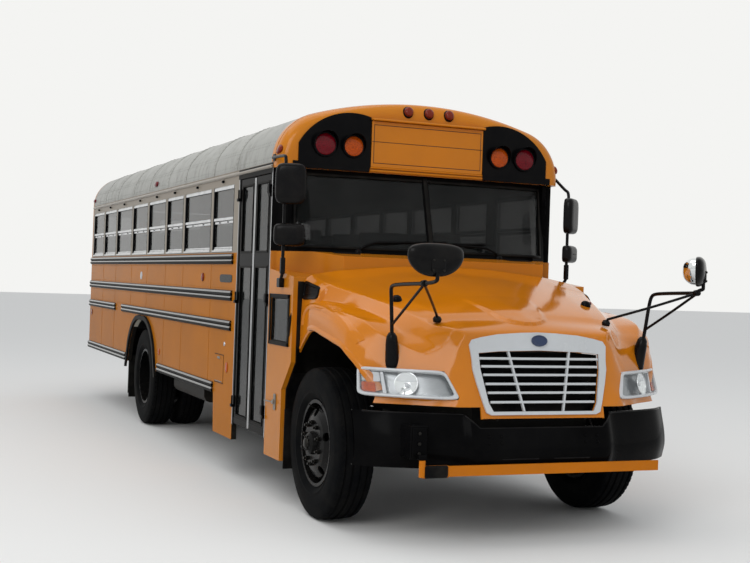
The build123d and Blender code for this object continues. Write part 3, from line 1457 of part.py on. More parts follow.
write("seats", seats)
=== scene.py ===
"""A long-hood school bus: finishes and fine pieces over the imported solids, in metres.

The bus points along +X, its driver's side is +Y and the ground is Z = 0.
Distances called "ahead" are measured forward from the front axle.
"""

from __future__ import annotations

import logging
import math
from collections.abc import Callable, Iterable, Sequence
from dataclasses import dataclass, field
from enum import Enum
from functools import partial

import bmesh
import bpy
import numpy as np
from mathutils import Matrix, Vector

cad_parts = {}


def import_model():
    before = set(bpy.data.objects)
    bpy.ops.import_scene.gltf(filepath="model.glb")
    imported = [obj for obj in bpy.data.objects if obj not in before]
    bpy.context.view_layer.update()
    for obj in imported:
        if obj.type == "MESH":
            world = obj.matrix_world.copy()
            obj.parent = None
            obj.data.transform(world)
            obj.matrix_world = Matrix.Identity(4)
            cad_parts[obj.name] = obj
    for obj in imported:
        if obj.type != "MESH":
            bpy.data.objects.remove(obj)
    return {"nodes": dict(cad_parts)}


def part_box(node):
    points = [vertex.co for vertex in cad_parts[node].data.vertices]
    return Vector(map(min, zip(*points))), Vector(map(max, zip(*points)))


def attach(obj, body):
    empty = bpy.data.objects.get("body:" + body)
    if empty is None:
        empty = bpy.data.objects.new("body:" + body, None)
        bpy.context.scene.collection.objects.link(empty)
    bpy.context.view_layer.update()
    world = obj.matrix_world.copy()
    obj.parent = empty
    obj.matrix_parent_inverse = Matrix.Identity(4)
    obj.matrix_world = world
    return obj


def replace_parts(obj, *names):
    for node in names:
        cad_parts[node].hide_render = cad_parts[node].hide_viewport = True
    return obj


log = logging.getLogger("bus")

AXLE = 3.715  # X of the front axle
WHEELBASE = 5.512
HALF_WIDTH = 1.219
WHEEL_HEIGHT = 0.525
SILL_LINE = 1.858  # the paint changes here from yellow to the upper band
CABIN_FLOOR = 1.05
CAP_FACE = -0.792  # front face of the cap over the windshield, as a distance ahead
REAR_FACE = -8.870

Array = np.ndarray
Material = bpy.types.Material
Node = bpy.types.Node
Object = bpy.types.Object
Socket = bpy.types.NodeSocket
Tree = bpy.types.NodeTree


class Side(Enum):
    """The two sides of the bus, with the sign of their Y."""

    RIGHT = -1
    LEFT = 1

    @property
    def label(self) -> str:
        """The side's name as the pieces have it."""
        return self.name.lower()


def linear(code: str) -> tuple[float, float, float, float]:
    """Turn an sRGB hex colour of six digits into linear red, green, blue and an alpha of one."""
    parts = [int(code[i : i + 2], 16) / 255 for i in (0, 2, 4)]
    red, green, blue = (c / 12.92 if c <= 0.04045 else ((c + 0.055) / 1.055) ** 2.4 for c in parts)
    return (red, green, blue, 1.0)


def plug(tree: Tree, node: Node, inputs: dict[str, object]) -> None:
    """Fill a node's sockets.

    Args:
        tree: the node tree.
        node: the node.
        inputs: sockets by name (spaces as underscores) or by number as "_0"; a value or an output socket.
    """
    for key, value in inputs.items():
        socket = node.inputs[int(key[1:])] if key[0] == "_" else node.inputs[key.replace("_", " ")]
        if isinstance(value, Socket):
            tree.links.new(value, socket)
        else:
            socket.default_value = value


def add_node(tree: Tree, kind: str, settings: dict[str, object] | None = None, **inputs: object) -> Node:
    """Add one shader node.

    Args:
        tree: the node tree.
        kind: the node's type name without its leading "ShaderNode".
        settings: attributes of the node itself.
        inputs: its sockets, as for plug.

    Returns:
        The new node.
    """
    made = tree.nodes.new("ShaderNode" + kind)
    for key, value in (settings or {}).items():
        setattr(made, key, value)
    plug(tree, made, inputs)
    return made


def math_node(tree: Tree, operation: str, *values: object, clamp: bool = False) -> Socket:
    """Output of a Math node on up to three values or sockets."""
    inputs = {f"_{number}": value for number, value in enumerate(values)}
    return add_node(tree, "Math", {"operation": operation, "use_clamp": clamp}, **inputs).outputs[0]


def span(
    tree: Tree, value: Socket, start: object, end: object, low: float = 0.0, high: float = 1.0,
    smooth: bool = False
) -> Socket:
    """Map a value from the range low to high on to start to end, eased at both ends if smooth.

    Args:
        tree: the node tree.
        value: the value going in.
        start: result at the low end.
        end: result at the high end.
        low: low end of the range.
        high: high end of the range.
        smooth: ease both ends.

    Returns:
        The node's output.
    """
    kind = {"interpolation_type": "SMOOTHSTEP" if smooth else "LINEAR"}
    return add_node(
        tree, "MapRange", kind, Value=value, From_Min=low, From_Max=high, To_Min=start, To_Max=end
    ).outputs[0]


class Shader:
    """A node material being made: a Principled shader joined to its output, on object coordinates.

    Args:
        name: the material's name.
    """

    def __init__(self, name: str) -> None:
        """Start the material.

        Args:
            name: the material's name.
        """
        self.material = bpy.data.materials.new(name)
        self.material.use_nodes = True
        self.tree = self.material.node_tree
        self.tree.nodes.clear()
        self.principled = add_node(self.tree, "BsdfPrincipled")
        add_node(self.tree, "OutputMaterial", _0=self.principled.outputs[0])
        self.place = add_node(self.tree, "TexCoord").outputs["Object"]

    def set(self, **inputs: object) -> None:
        """Fill sockets of the Principled shader, as for plug."""
        plug(self.tree, self.principled, inputs)

    def noise(self, scale: float, detail: float, rough: float = 0.5, stretch: Sequence[float] = ()) -> Socket:
        """Cloudy noise, its coordinates first scaled along each axis where stretch is given.

        Args:
            scale: scale of the clouds.
            detail: how many finer layers.
            rough: strength of each finer layer.
            stretch: scale along each axis, or nothing.

        Returns:
            The node's output.
        """
        place = self.place
        if stretch:
            place = add_node(self.tree, "Mapping", Vector=place, Scale=stretch).outputs[0]
        return add_node(
            self.tree, "TexNoise", Vector=place, Scale=scale, Detail=detail, Roughness=rough
        ).outputs[0]

    def mix(self, factor: Socket, *colours: object) -> Socket:
        """Blend two colours, each a hex code, linear values or a socket."""
        first, second = (linear(c) if isinstance(c, str) else c for c in colours)
        return add_node(self.tree, "Mix", {"data_type": "RGBA"}, _0=factor, _6=first, _7=second).outputs[2]

    def ramp(self, factor: Socket, stops: Sequence[tuple[float, float]], kind: str = "LINEAR") -> Socket:
        """Reshape a factor with a grey colour ramp.

        Args:
            factor: the value going in.
            stops: (position, grey) pairs in rising order.
            kind: the ramp's interpolation.

        Returns:
            The ramp's output.
        """
        made = add_node(self.tree, "ValToRGB", _0=factor)
        band = made.color_ramp
        band.interpolation = kind
        while len(band.elements) < len(stops):
            band.elements.new(0.5)
        for element, (place, grey) in zip(band.elements, stops):
            element.position = place
            element.color = (grey, grey, grey, 1)
        return made.outputs[0]

    def bump(self, strength: float, distance: float, height: Socket) -> None:
        """Raise the surface by a height pattern."""
        made = add_node(self.tree, "Bump", Strength=strength, Distance=distance, Height=height)
        self.set(Normal=made.outputs[0])


@dataclass(frozen=True)
class CoatedPaint:
    """Sprayed enamel on steel or fibreglass: deep gloss with orange peel, road dust low down and in streaks.

    Args:
        name: material name.
        colour: the paint's hex colour.
        dust: the dust's hex colour.
        dust_level: how much dust lies on it, 0 to 1.
        rough: roughness of the clean paint.
        streak: how strong the upright rain streaks are.
        low: height in metres below which the dust grows thick.
        upper: hex colour of the band above the sills, or nothing.
        inner: hex colours inside the shell, below and above the floor, or nothing.
        inner_reach: how far out the inside goes.
        inner_top: how high the inside goes.
        polished: foot and head of each double-ribbed rail whose rib crowns are polished.
        shine: strength of the paint's own reflection, 0.5 being plain enamel.
        coat: weight of the clear coat.
    """

    name: str
    colour: str
    dust: str = "9c8e78"
    dust_level: float = 0.12
    rough: float = 0.18
    streak: float = 0.15
    low: float = 0.8
    upper: str = ""
    inner: tuple[str, str] | None = None
    inner_reach: float = HALF_WIDTH - 0.0008
    inner_top: float = 9.0
    polished: tuple[tuple[float, float], ...] = ()
    shine: float = 0.35
    coat: float = 0.1

    def build(self) -> Material:
        """Build the material.

        Returns:
            The material.
        """
        shader = Shader(self.name)
        tree = shader.tree
        axes = add_node(tree, "SeparateXYZ", Vector=shader.place).outputs
        # patches of fading about 0.8 m across, and the duller paint in them
        base = linear(self.colour)
        dull = tuple(c * 0.86 + 0.004 for c in base[:3]) + (1.0,)
        colour = shader.mix(shader.ramp(shader.noise(1.3, 4.0, 0.6), ((0.35, 0.0), (0.7, 1.0))), base, dull)
        # dust: thick low down and in rain streaks about 90 mm apart, mottled about 40 mm across
        streaks = shader.ramp(shader.noise(1.8, 3.0, 0.5, (6.0, 6.0, 0.7)),
                              ((0.45, 0.0), (0.72, self.streak)))
        spots = shader.ramp(shader.noise(26.0, 3.0, 0.7), ((0.35, 0.15), (0.75, 1.0)))
        low = span(tree, axes["Z"], 0.0, 1.0, self.low, 0.25, smooth=True)
        amount = math_node(tree, "ADD", math_node(tree, "MULTIPLY_ADD", low, 0.75, streaks), 0.08)
        amount = math_node(tree, "MULTIPLY", amount, spots, clamp=True)
        amount = math_node(tree, "MULTIPLY", amount, self.dust_level * 2.0, clamp=True)
        if self.upper:
            colour = shader.mix(math_node(tree, "GREATER_THAN", axes["Z"], SILL_LINE), colour, self.upper)
        if self.inner:
            inside = math_node(tree, "LESS_THAN", math_node(tree, "ABSOLUTE", axes["Y"]), self.inner_reach)
            under = math_node(tree, "LESS_THAN", axes["Z"], self.inner_top)
            lining = shader.mix(math_node(tree, "GREATER_THAN", axes["Z"], CABIN_FLOOR), *self.inner)
            colour = shader.mix(math_node(tree, "MULTIPLY", inside, under), colour, lining)
        shader.set(
            Base_Color=shader.mix(amount, colour, self.dust), Roughness=span(tree, amount, self.rough, 0.75),
            Specular_IOR_Level=self.shine, Coat_Weight=self.coat, Coat_Roughness=0.05,
        )
        if self.polished:
            shader.set(Coat_Weight=self.crowns(shader, axes["Z"]), Coat_IOR=2.2)
        # orange peel, drawn at about 6 mm so that it shows
        shader.bump(0.05, 0.001, shader.noise(160.0, 1.0))
        return shader.material

    def crowns(self, shader: Shader, height: Socket) -> Socket:
        """One on the crown of each rib, from half way up the rib to near its top, and else zero.

        Args:
            shader: the material being made.
            height: height above the ground.

        Returns:
            The mask's output.
        """
        floor, reach = 0.6, 1.3
        stops = [(0.0, 0.0)]
        for foot, head in self.polished:
            rib = (head - foot) / 2
            for edge in (foot, foot + rib):
                stops += [((edge + rib * 0.50 - floor) / reach, 1.0),
                          ((edge + rib * 0.84 - floor) / reach, 0.0)]
        return shader.ramp(span(shader.tree, height, 0.0, 1.0, floor, 1.9), stops, "CONSTANT")


@dataclass(frozen=True)
class Moulding:
    """Moulded plastic or rubber: a fine even grain under patches of dust.

    Args:
        name: material name.
        colour: hex colour.
        rough: roughness.
        grain: grain size in millimetres.
        depth: bump strength.
        dust: share of dust.
        shine: strength of the reflection, 0.5 being plain plastic.
    """

    name: str
    colour: str
    rough: float = 0.45
    grain: float = 3.0
    depth: float = 0.15
    dust: float = 0.15
    shine: float = 0.25

    def build(self) -> Material:
        """Build the material.

        Returns:
            The material.
        """
        shader = Shader(self.name)
        share = shader.ramp(shader.noise(7.0, 5.0, 0.65), ((0.38, 0.0), (0.72, self.dust)))
        shader.set(
            Base_Color=shader.mix(share, self.colour, "8f8778"), Specular_IOR_Level=self.shine,
            Roughness=span(shader.tree, share, self.rough, min(1.0, self.rough + 0.5)),
        )
        shader.bump(self.depth, 0.001, shader.noise(1000 / self.grain / 2, 2.0))
        return shader.material


@dataclass(frozen=True)
class RolledMetal:
    """Rolled or cast bare metal with faint drawing lines and dull spots.

    Args:
        name: material name.
        colour: hex colour.
        rough: roughness.
        lines: how strong the drawing lines along X are.
        tarnish: hex colour of the dull spots.
    """

    name: str
    colour: str
    rough: float = 0.3
    lines: float = 0.2
    tarnish: str = "6e6a64"

    def build(self) -> Material:
        """Build the material.

        Returns:
            The material.
        """
        shader = Shader(self.name)
        lines = shader.noise(6.0, 4.0, 0.5, (2.0, 60.0, 60.0))
        share = shader.ramp(shader.noise(9.0, 5.0, 0.7), ((0.42, 0.0), (0.8, 0.6)))
        shader.set(
            Base_Color=shader.mix(share, self.colour, self.tarnish), Metallic=1.0,
            Roughness=span(shader.tree, lines, self.rough * 0.7, self.rough * 1.3),
        )
        shader.bump(self.lines, 0.0006, lines)
        return shader.material


@dataclass(frozen=True)
class TintedGlass:
    """Float glass with a tint: sharp reflections, a thin film of dust.

    Args:
        name: material name.
        colour: hex colour of the tint.
        alpha: how much it hides what is behind it.
        coat: weight of the second reflection, from the pane's far face.
        shine: strength of the first reflection.
    """

    name: str
    colour: str
    alpha: float = 0.6
    coat: float = 1.0
    shine: float = 0.5

    def build(self) -> Material:
        """Build the material.

        Returns:
            The material.
        """
        shader = Shader(self.name)
        share = shader.ramp(shader.noise(3.0, 6.0, 0.7), ((0.3, 0.01), (0.8, 0.08)))
        shader.set(
            Base_Color=shader.mix(share, self.colour, "8e8f8c"), Roughness=0.02, Alpha=self.alpha,
            Specular_IOR_Level=self.shine, Coat_Weight=self.coat, Coat_Roughness=0.01,
        )
        return shader.material


@dataclass(frozen=True)
class LampLens:
    """Moulded acrylic lens: clear gloss over a fine fluting, with a dull glow of its own colour.

    Args:
        name: material name.
        colour: hex colour.
        flute: distance between flutes in millimetres.
    """

    name: str
    colour: str
    flute: float = 8.0

    def build(self) -> Material:
        """Build the material.

        Returns:
            The material.
        """
        shader = Shader(self.name)
        cells = add_node(
            shader.tree, "TexVoronoi", {"feature": "F1"}, Vector=shader.place, Scale=1000 / self.flute
        ).outputs["Distance"]
        deep = tuple(c * 0.35 for c in linear(self.colour)[:3]) + (1.0,)
        shader.set(
            Base_Color=shader.mix(cells, self.colour, deep), Roughness=0.12, Specular_IOR_Level=0.15,
            Coat_Weight=0.1, Coat_Roughness=0.03,
        )
        shader.bump(0.35, 0.002, cells)
        return shader.material


class Finish(Enum):
    """Every finish on the bus, by its real name."""

    BODY = CoatedPaint("yellow_enamel_sprayed", "c57008", rough=0.16, dust_level=0.03, shine=0.1, coat=0.0)
    # SIDE and WALL: the hood's yellow enamel written a little deeper, partly painted shade on the sides; the
    # wall's grey-tan upper band is white enamel, partly painted shade.
    SIDE = CoatedPaint("yellow_enamel_side", "b86e0e", dust_level=0.04, low=1.1, shine=0.015, coat=0.0)
    WALL = CoatedPaint(
        "yellow_and_white_enamel_wall", "b86e0e", dust_level=0.04, low=1.1, upper="948b7f",
        inner=("171615", "b4b2a8"), shine=0.015, coat=0.0,
    )
    COWL = CoatedPaint(
        "yellow_enamel_cowl", "c47610", dust_level=0.06, low=1.1, inner=("141312", "141312"),
        inner_reach=1.185, inner_top=1.64, shine=0.15, coat=0.0,
    )
    HOOD = CoatedPaint("yellow_gelcoat_fibreglass", "cb7608", dust_level=0.02, rough=0.12, shine=0.28,
                       coat=0.06)
    CAP = CoatedPaint("yellow_gelcoat_cap", "cc7a0c", dust_level=0.04, rough=0.16, low=0.5, shine=0.2,
                      coat=0.05)
    # ROOF: white enamel written mid grey, partly painted shade over the whole roof.
    ROOF = CoatedPaint(
        "white_enamel_roof", "9b9b95", dust="66645b", dust_level=0.45, rough=0.35, streak=0.6, low=0.3,
        shine=0.3
    )
    # PILLAR: white enamel written grey-tan, partly a tan tone and partly painted shade; the wall's upper band
    # has the same colour.
    PILLAR = CoatedPaint("white_enamel_pillar", "948b7f", dust="857f70", dust_level=0.25, rough=0.3, low=0.3)
    BLACK = CoatedPaint(
        "black_enamel_trim", "040405", dust="4d483f", dust_level=0.02, rough=0.14, shine=0.02, coat=0.0
    )
    RAIL = CoatedPaint(
        "black_enamel_rolled_rail", "050506", dust="4d483f", dust_level=0.03, rough=0.35, shine=0.02,
        polished=((0.640, 0.730), (1.200, 1.286), (1.452, 1.540), (1.762, 1.850)),
    )
    CHASSIS = CoatedPaint(
        "black_chassis_paint", "100f0e", dust="50493e", dust_level=0.25, rough=0.5, shine=0.1, coat=0.0
    )
    RIM = CoatedPaint(
        "black_enamel_wheel", "060607", dust="4d483f", dust_level=0.06, rough=0.25, low=0.7, shine=0.1,
        coat=0.0
    )
    LINE = Moulding("brown_painted_line", "4a2a10", rough=0.3, dust=0.05)
    STOP = CoatedPaint("red_enamel_plate", "a51015", dust_level=0.05, low=0.2, shine=0.2, coat=0.05)
    BOARD = Moulding("black_abs_board", "060608", rough=0.2, dust=0.01, shine=0.06)
    MIRROR = Moulding("black_abs_housing", "08080a", rough=0.22, grain=2.0, depth=0.06, dust=0.02, shine=0.1)
    FLARE = Moulding("black_epdm_flare", "0a0a0b", rough=0.5, dust=0.05, shine=0.06)
    DASH = Moulding("dark_grained_abs", "1b1b1d", rough=0.6, grain=4.0)
    VINYL = Moulding("dark_blue_vinyl", "17202e", rough=0.4, grain=5.0, depth=0.3, dust=0.05, shine=0.4)
    FLOORING = Moulding("ribbed_rubber_floor", "26262a", rough=0.7)
    TYRE = Moulding("vulcanised_rubber", "0b0c0e", rough=0.6, grain=4.0, depth=0.2, dust=0.02, shine=0.02)
    SILVER = Moulding("silver_painted_abs", "c3c6c8", rough=0.25, grain=2.0, depth=0.04, dust=0.08, shine=0.5)
    LINING = Moulding("dark_gelcoat_lining", "131210", rough=0.6, dust=0.12, shine=0.08)
    EMBLEM = Moulding("blue_grey_badge", "2c3a58", rough=0.15, grain=2.0, depth=0.02, dust=0.05)
    ALUMINIUM = RolledMetal("rolled_aluminium", "cfd0d2", rough=0.22, tarnish="9a9a99")
    STEEL = RolledMetal("dull_steel", "8e8a83", rough=0.45, tarnish="5a4a3a")
    CASTING = RolledMetal("rough_cast_iron", "4d4a46", rough=0.65, tarnish="5a3d28")
    REFLECTOR = RolledMetal("aluminised_reflector", "8d9092", rough=0.3, tarnish="5f6163")
    OXIDE = RolledMetal("blackened_steel", "2b2a28", rough=0.4, tarnish="1a1917")
    GLASS = TintedGlass("tinted_safety_glass", "0c1011", 0.55, coat=0.5, shine=0.4)
    DOOR_GLASS = TintedGlass("tinted_door_glass", "090c0d", 0.68, coat=0.1, shine=0.25)
    SHIELD = TintedGlass("laminated_windshield", "06090a", 0.74, coat=0.0, shine=0.12)
    MIRROR_GLASS = RolledMetal("silvered_glass", "e6e9ea", rough=0.04, lines=0.0, tarnish="c8cccd")
    RED = LampLens("red_acrylic_lens", "7a0a1c")
    AMBER = LampLens("amber_acrylic_lens", "cf560a")
    MARKER = LampLens("dark_marker_lens", "8a2a12", flute=6.0)
    CLEAR = LampLens("clear_polycarbonate_lens", "d6dadd", flute=20.0)
    COVER = TintedGlass("clear_polycarbonate_cover", "dfe6ea", 0.08, coat=0.0, shine=0.25)

    @property
    def material(self) -> Material:
        """The built material, made once."""
        found = bpy.data.materials.get(self.value.name)
        return found or self.value.build()


def at(ahead: float, across: float, height: float) -> tuple[float, float, float]:
    """A point from its distance ahead of the front axle, its Y and its height."""
    return (AXLE + ahead, across, height)


@dataclass
class Studio:
    """Camera, lamps, world and floor; angles in degrees."""

    focal_px: float = 1226.117
    width_px: float = 750.0
    sensor: float = 36.0
    azimuth: float = 67.348
    elevation: float = -0.015
    roll: float = 1.999
    place: tuple[float, float, float] = (7.992, -4.079, 1.655)

    def camera(self) -> None:
        """Set the camera where the photograph was taken from, rolled about its own axis.

        Its right and up are turned together by the roll angle.
        """
        a, e, r = (math.radians(v) for v in (self.azimuth, self.elevation, self.roll))
        back = Vector((math.sin(a) * math.cos(e), -math.cos(a) * math.cos(e), math.sin(e)))
        right = Vector((math.cos(a), math.sin(a), 0.0))
        up = back.cross(right)
        data = bpy.data.cameras.new("camera")
        data.sensor_fit = "HORIZONTAL"
        data.sensor_width = self.sensor
        data.lens = self.sensor * self.focal_px / self.width_px
        data.clip_end = 200.0
        made = bpy.data.objects.new("camera", data)
        turned = (right * math.cos(r) + up * math.sin(r), up * math.cos(r) - right * math.sin(r), back)
        matrix = Matrix(turned).transposed().to_4x4()
        matrix.translation = Vector(at(*self.place))
        made.matrix_world = matrix
        bpy.context.scene.collection.objects.link(made)
        bpy.context.scene.camera = made

    def world(self) -> None:
        """Soft even sky, brighter overhead, and white to the camera and in reflections."""
        world = bpy.data.worlds.new("sky")
        bpy.context.scene.world = world
        world.use_nodes = True
        tree = world.node_tree
        tree.nodes.clear()
        place = add_node(tree, "TexCoord").outputs["Generated"]
        height = add_node(tree, "SeparateXYZ", Vector=place).outputs["Z"]
        sky = span(tree, height, 0.45, 0.85, -0.1, 0.8, smooth=True)
        light = add_node(tree, "Background", Color=linear("eef1f5"), Strength=sky)
        white = add_node(tree, "Background", Color=linear("f4f4f2"), Strength=1.0)
        path = add_node(tree, "LightPath").outputs
        seen = math_node(tree, "MAXIMUM", path["Is Camera Ray"], path["Is Glossy Ray"])
        seen = math_node(tree, "MAXIMUM", seen, path["Is Transmission Ray"])
        both = add_node(tree, "MixShader", _0=seen, _1=light.outputs[0], _2=white.outputs[0])
        add_node(tree, "OutputWorld", _0=both.outputs[0])

    def lamps(self) -> None:
        """One wide key lamp ahead on the right and a softer one overhead."""
        for name, place, size, power in (
            ("key", (9.0, -9.0, 9.0), 7.0, 560.0),
            ("overhead", (-3.0, -3.0, 12.0), 10.0, 380.0),
        ):
            data = bpy.data.lights.new(name, "AREA")
            data.size = size
            data.energy = power
            made = bpy.data.objects.new(name, data)
            made.location = at(*place)
            aim = Vector(at(-1.5, 0.0, 1.2)) - made.location
            made.rotation_euler = aim.to_track_quat("-Z", "Y").to_euler()
            bpy.context.scene.collection.objects.link(made)

    def floor(self) -> None:
        """Plain pale floor under the bus."""
        bpy.ops.mesh.primitive_plane_add(size=160.0, location=(0, 0, -0.001))
        made = bpy.context.object
        made.name = "studio_floor"
        shader = Shader("pale_floor")
        shader.set(Base_Color=linear("e9e8e5"), Roughness=0.9)
        made.data.materials.append(shader.material)

    def build(self) -> None:
        """Build everything round the bus."""
        self.camera()
        self.world()
        self.lamps()
        self.floor()
        bpy.context.scene.view_settings.view_transform = "Standard"


def pchip(knots: Array, values: Array, places: Array) -> Array:
    """Interpolate without overshoot along the first axis.

    Each interval is a cubic whose end slopes are the harmonic means of the slopes beside it,
    and zero where the data turns, so flats stay flat.

    Args:
        knots: rising positions, shape (n,).
        values: data at the knots, shape (n, ...).
        places: positions wanted, shape (m,).

    Returns:
        The values there, shape (m, ...).
    """
    extra = (1,) * (values.ndim - 1)
    gap = np.diff(knots).reshape(-1, *extra)
    rise = np.diff(values, axis=0) / gap
    inner = np.where(rise[:-1] * rise[1:] > 0, 2 * rise[:-1] * rise[1:] / (rise[:-1] + rise[1:] + 1e-30), 0.0)
    slope = np.concatenate([rise[:1], inner, rise[-1:]])
    i = np.clip(np.searchsorted(knots, places, side="right") - 1, 0, len(knots) - 2)
    h = gap[i]
    t = ((places - knots[i]).reshape(-1, *extra)) / h
    return (
        values[i] * (1 + 2 * t) * (1 - t) ** 2
        + slope[i] * h * t * (1 - t) ** 2
        + values[i + 1] * t * t * (3 - 2 * t)
        + slope[i + 1] * h * t * t * (t - 1)
    )


def along(path: Array) -> Array:
    """Distance from a path's start at each of its points."""
    return np.concatenate([[0.0], np.cumsum(np.linalg.norm(np.diff(path, axis=0), axis=1))])


def unit(vectors: Array) -> Array:
    """Vectors drawn out or in to a length of one."""
    return vectors / np.linalg.norm(vectors, axis=-1, keepdims=True)


def around(count: int) -> Array:
    """Even angles all the way round."""
    return np.linspace(0, 2 * np.pi, count, endpoint=False)


def arc_through(a: Sequence[float], b: Sequence[float], c: Sequence[float], count: int = 12) -> Array:
    """Points on the circular arc from a through b to c in a plane.

    The centre is where the perpendicular bisectors meet; the angle runs evenly the way that passes b.

    Args:
        a: first point.
        b: a point on the way.
        c: last point.
        count: points made.

    Returns:
        The points.
    """
    (ax, ay), (bx, by), (cx, cy) = a, b, c
    d = 2 * (ax * (by - cy) + bx * (cy - ay) + cx * (ay - by))
    sa, sb, sc = ax * ax + ay * ay, bx * bx + by * by, cx * cx + cy * cy
    ux = (sa * (by - cy) + sb * (cy - ay) + sc * (ay - by)) / d
    uy = (sa * (cx - bx) + sb * (ax - cx) + sc * (bx - ax)) / d
    angles = np.unwrap([math.atan2(y - uy, x - ux) for x, y in (a, b, c)])
    if (angles[1] - angles[0]) * (angles[2] - angles[1]) < 0:
        angles[2] += math.copysign(2 * math.pi, angles[1] - angles[0])
    radius = math.hypot(ax - ux, ay - uy)
    turn = np.linspace(angles[0], angles[2], count)
    return np.stack([ux + radius * np.cos(turn), uy + radius * np.sin(turn)], axis=1)


def grid_quads(rows: int, columns: int, close_rows: bool, close_columns: bool) -> Array:
    """Corner numbers of every quad of a grid of points, wrapped round where closed.

    Args:
        rows: rows of points.
        columns: columns of points.
        close_rows: join the last row to the first.
        close_columns: join the last column to the first.

    Returns:
        The corner numbers.
    """
    r = np.arange(rows if close_rows else rows - 1)
    c = np.arange(columns if close_columns else columns - 1)
    r0, c0 = np.meshgrid(r, c, indexing="ij")
    r1, c1 = (r0 + 1) % rows, (c0 + 1) % columns
    corners = (r0 * columns + c0, r1 * columns + c0, r1 * columns + c1, r0 * columns + c1)
    return np.stack(corners, axis=-1).reshape(-1, 4)


def make_piece(
    name: str, points: Array, faces: Iterable[Sequence[int]], body: str, finish: Finish, smooth: bool = True
) -> Object:
    """Make a mesh object that rides on a body.

    Args:
        name: object name.
        points: vertices, shape (n, 3).
        faces: corner numbers of each face.
        body: the body it rides on.
        finish: its finish.
        smooth: whether its faces shade smoothly.

    Returns:
        The object.
    """
    mesh = bpy.data.meshes.new(name)
    mesh.from_pydata(np.asarray(points, dtype=float).reshape(-1, 3).tolist(), [], [tuple(f) for f in faces])
    mesh.polygons.foreach_set("use_smooth", np.full(len(mesh.polygons), smooth))
    mesh.update()
    made = bpy.data.objects.new(name, mesh)
    bpy.context.scene.collection.objects.link(made)
    mesh.materials.append(finish.material)
    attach(made, body)
    log.info("made %s, %d faces", name, len(mesh.polygons))
    return made


def outward(made: Object) -> Object:
    """Merge a piece's doubles and point its faces outwards.

    Args:
        made: the piece.

    Returns:
        The same piece.
    """
    mesh = bmesh.new()
    mesh.from_mesh(made.data)
    bmesh.ops.remove_doubles(mesh, verts=mesh.verts, dist=1e-6)
    bmesh.ops.recalc_face_normals(mesh, faces=mesh.faces)
    mesh.to_mesh(made.data)
    mesh.free()
    return made


def surface(
    name: str,
    points: Array,
    body: str,
    finish: Finish,
    close_rows: bool = False,
    close_columns: bool = False,
    caps: bool = False,
    smooth: bool = True,
) -> Object:
    """Make a piece from a grid of points, its faces outwards.

    Args:
        name: object name.
        points: shape (rows, columns, 3).
        body: body it rides on.
        finish: its finish.
        close_rows: join the last row to the first.
        close_columns: join the last column to the first.
        caps: fill the first and last rows.
        smooth: smooth shading.

    Returns:
        The object.
    """
    rows, columns = points.shape[:2]
    faces = [list(f) for f in grid_quads(rows, columns, close_rows, close_columns)]
    if caps:
        faces.append(list(range(columns)))
        faces.append([(rows - 1) * columns + i for i in range(columns)][::-1])
    return outward(make_piece(name, points, faces, body, finish, smooth))


def loft(name: str, rows: Sequence[Array] | Array, body: str, finish: Finish, smooth: bool = True) -> Object:
    """Join closed rings of points in order and close both ends."""
    return surface(name, np.stack(rows), body, finish, close_columns=True, caps=True, smooth=smooth)


def crease(made: Object, degrees: float = 35.0) -> Object:
    """Shade smoothly with edges sharper than an angle kept sharp."""
    made.data.set_sharp_from_angle(angle=math.radians(degrees))
    return made


def settle(made: Object) -> Object:
    """Apply a piece's modifiers to its mesh.

    Args:
        made: the piece.

    Returns:
        The same piece.
    """
    graph = bpy.context.evaluated_depsgraph_get()
    graph.update()
    done = bpy.data.meshes.new_from_object(made.evaluated_get(graph))
    made.modifiers.clear()
    made.data = done
    return made


def thicken(made: Object, wall: float, axis: int, lining: Finish | None = None) -> Object:
    """Give an open sheet a wall on its inner side, and apply it.

    Args:
        made: the sheet.
        wall: thickness.
        axis: number of the axis that its outer side faces on the whole.
        lining: finish of the inner side, where it has its own.

    Returns:
        The piece.
    """
    if sum(p.normal[axis] * p.area for p in made.data.polygons) < 0:
        made.data.flip_normals()
    solid = made.modifiers.new("wall", "SOLIDIFY")
    if lining:
        made.data.materials.append(lining.material)
        solid.material_offset = 1
    solid.thickness = wall
    solid.offset = -1.0
    return settle(made)


def soften(made: Object, width: float) -> Object:
    """Round a piece's sharp edges and apply it.

    Args:
        made: the piece.
        width: width of the rounding in metres.

    Returns:
        The same piece.
    """
    bevel = made.modifiers.new("edges", "BEVEL")
    bevel.width = width
    bevel.segments = 2
    bevel.limit_method = "ANGLE"
    bevel.angle_limit = math.radians(40.0)
    return settle(made)


def carve(made: Object, cutters: Iterable[Object]) -> Object:
    """Cut closed shapes out of a piece, then drop them.

    Args:
        made: the piece.
        cutters: closed pieces.

    Returns:
        The same piece.
    """
    for cutter in cutters:
        cut = made.modifiers.new("cut", "BOOLEAN")
        cut.object = cutter
        cut.operation = "DIFFERENCE"
        cut.solver = "EXACT"
        settle(made)
        bpy.data.objects.remove(cutter)
    return made


def prism(name: str, outline: Array, axis: str, low: float, high: float, body: str, finish: Finish) -> Object:
    """Push a flat outline along an axis.

    Args:
        name: object name.
        outline: (n, 2) points in the plane of the other two axes, in X, Y, Z order.
        axis: "X", "Y" or "Z".
        low: where it starts along the axis.
        high: where it ends.
        body: body it rides on.
        finish: its finish.

    Returns:
        The closed object.
    """
    k = "XYZ".index(axis)
    rows = [np.insert(np.asarray(outline, float), k, level, axis=1) for level in (low, high)]
    return loft(name, rows, body, finish, smooth=False)


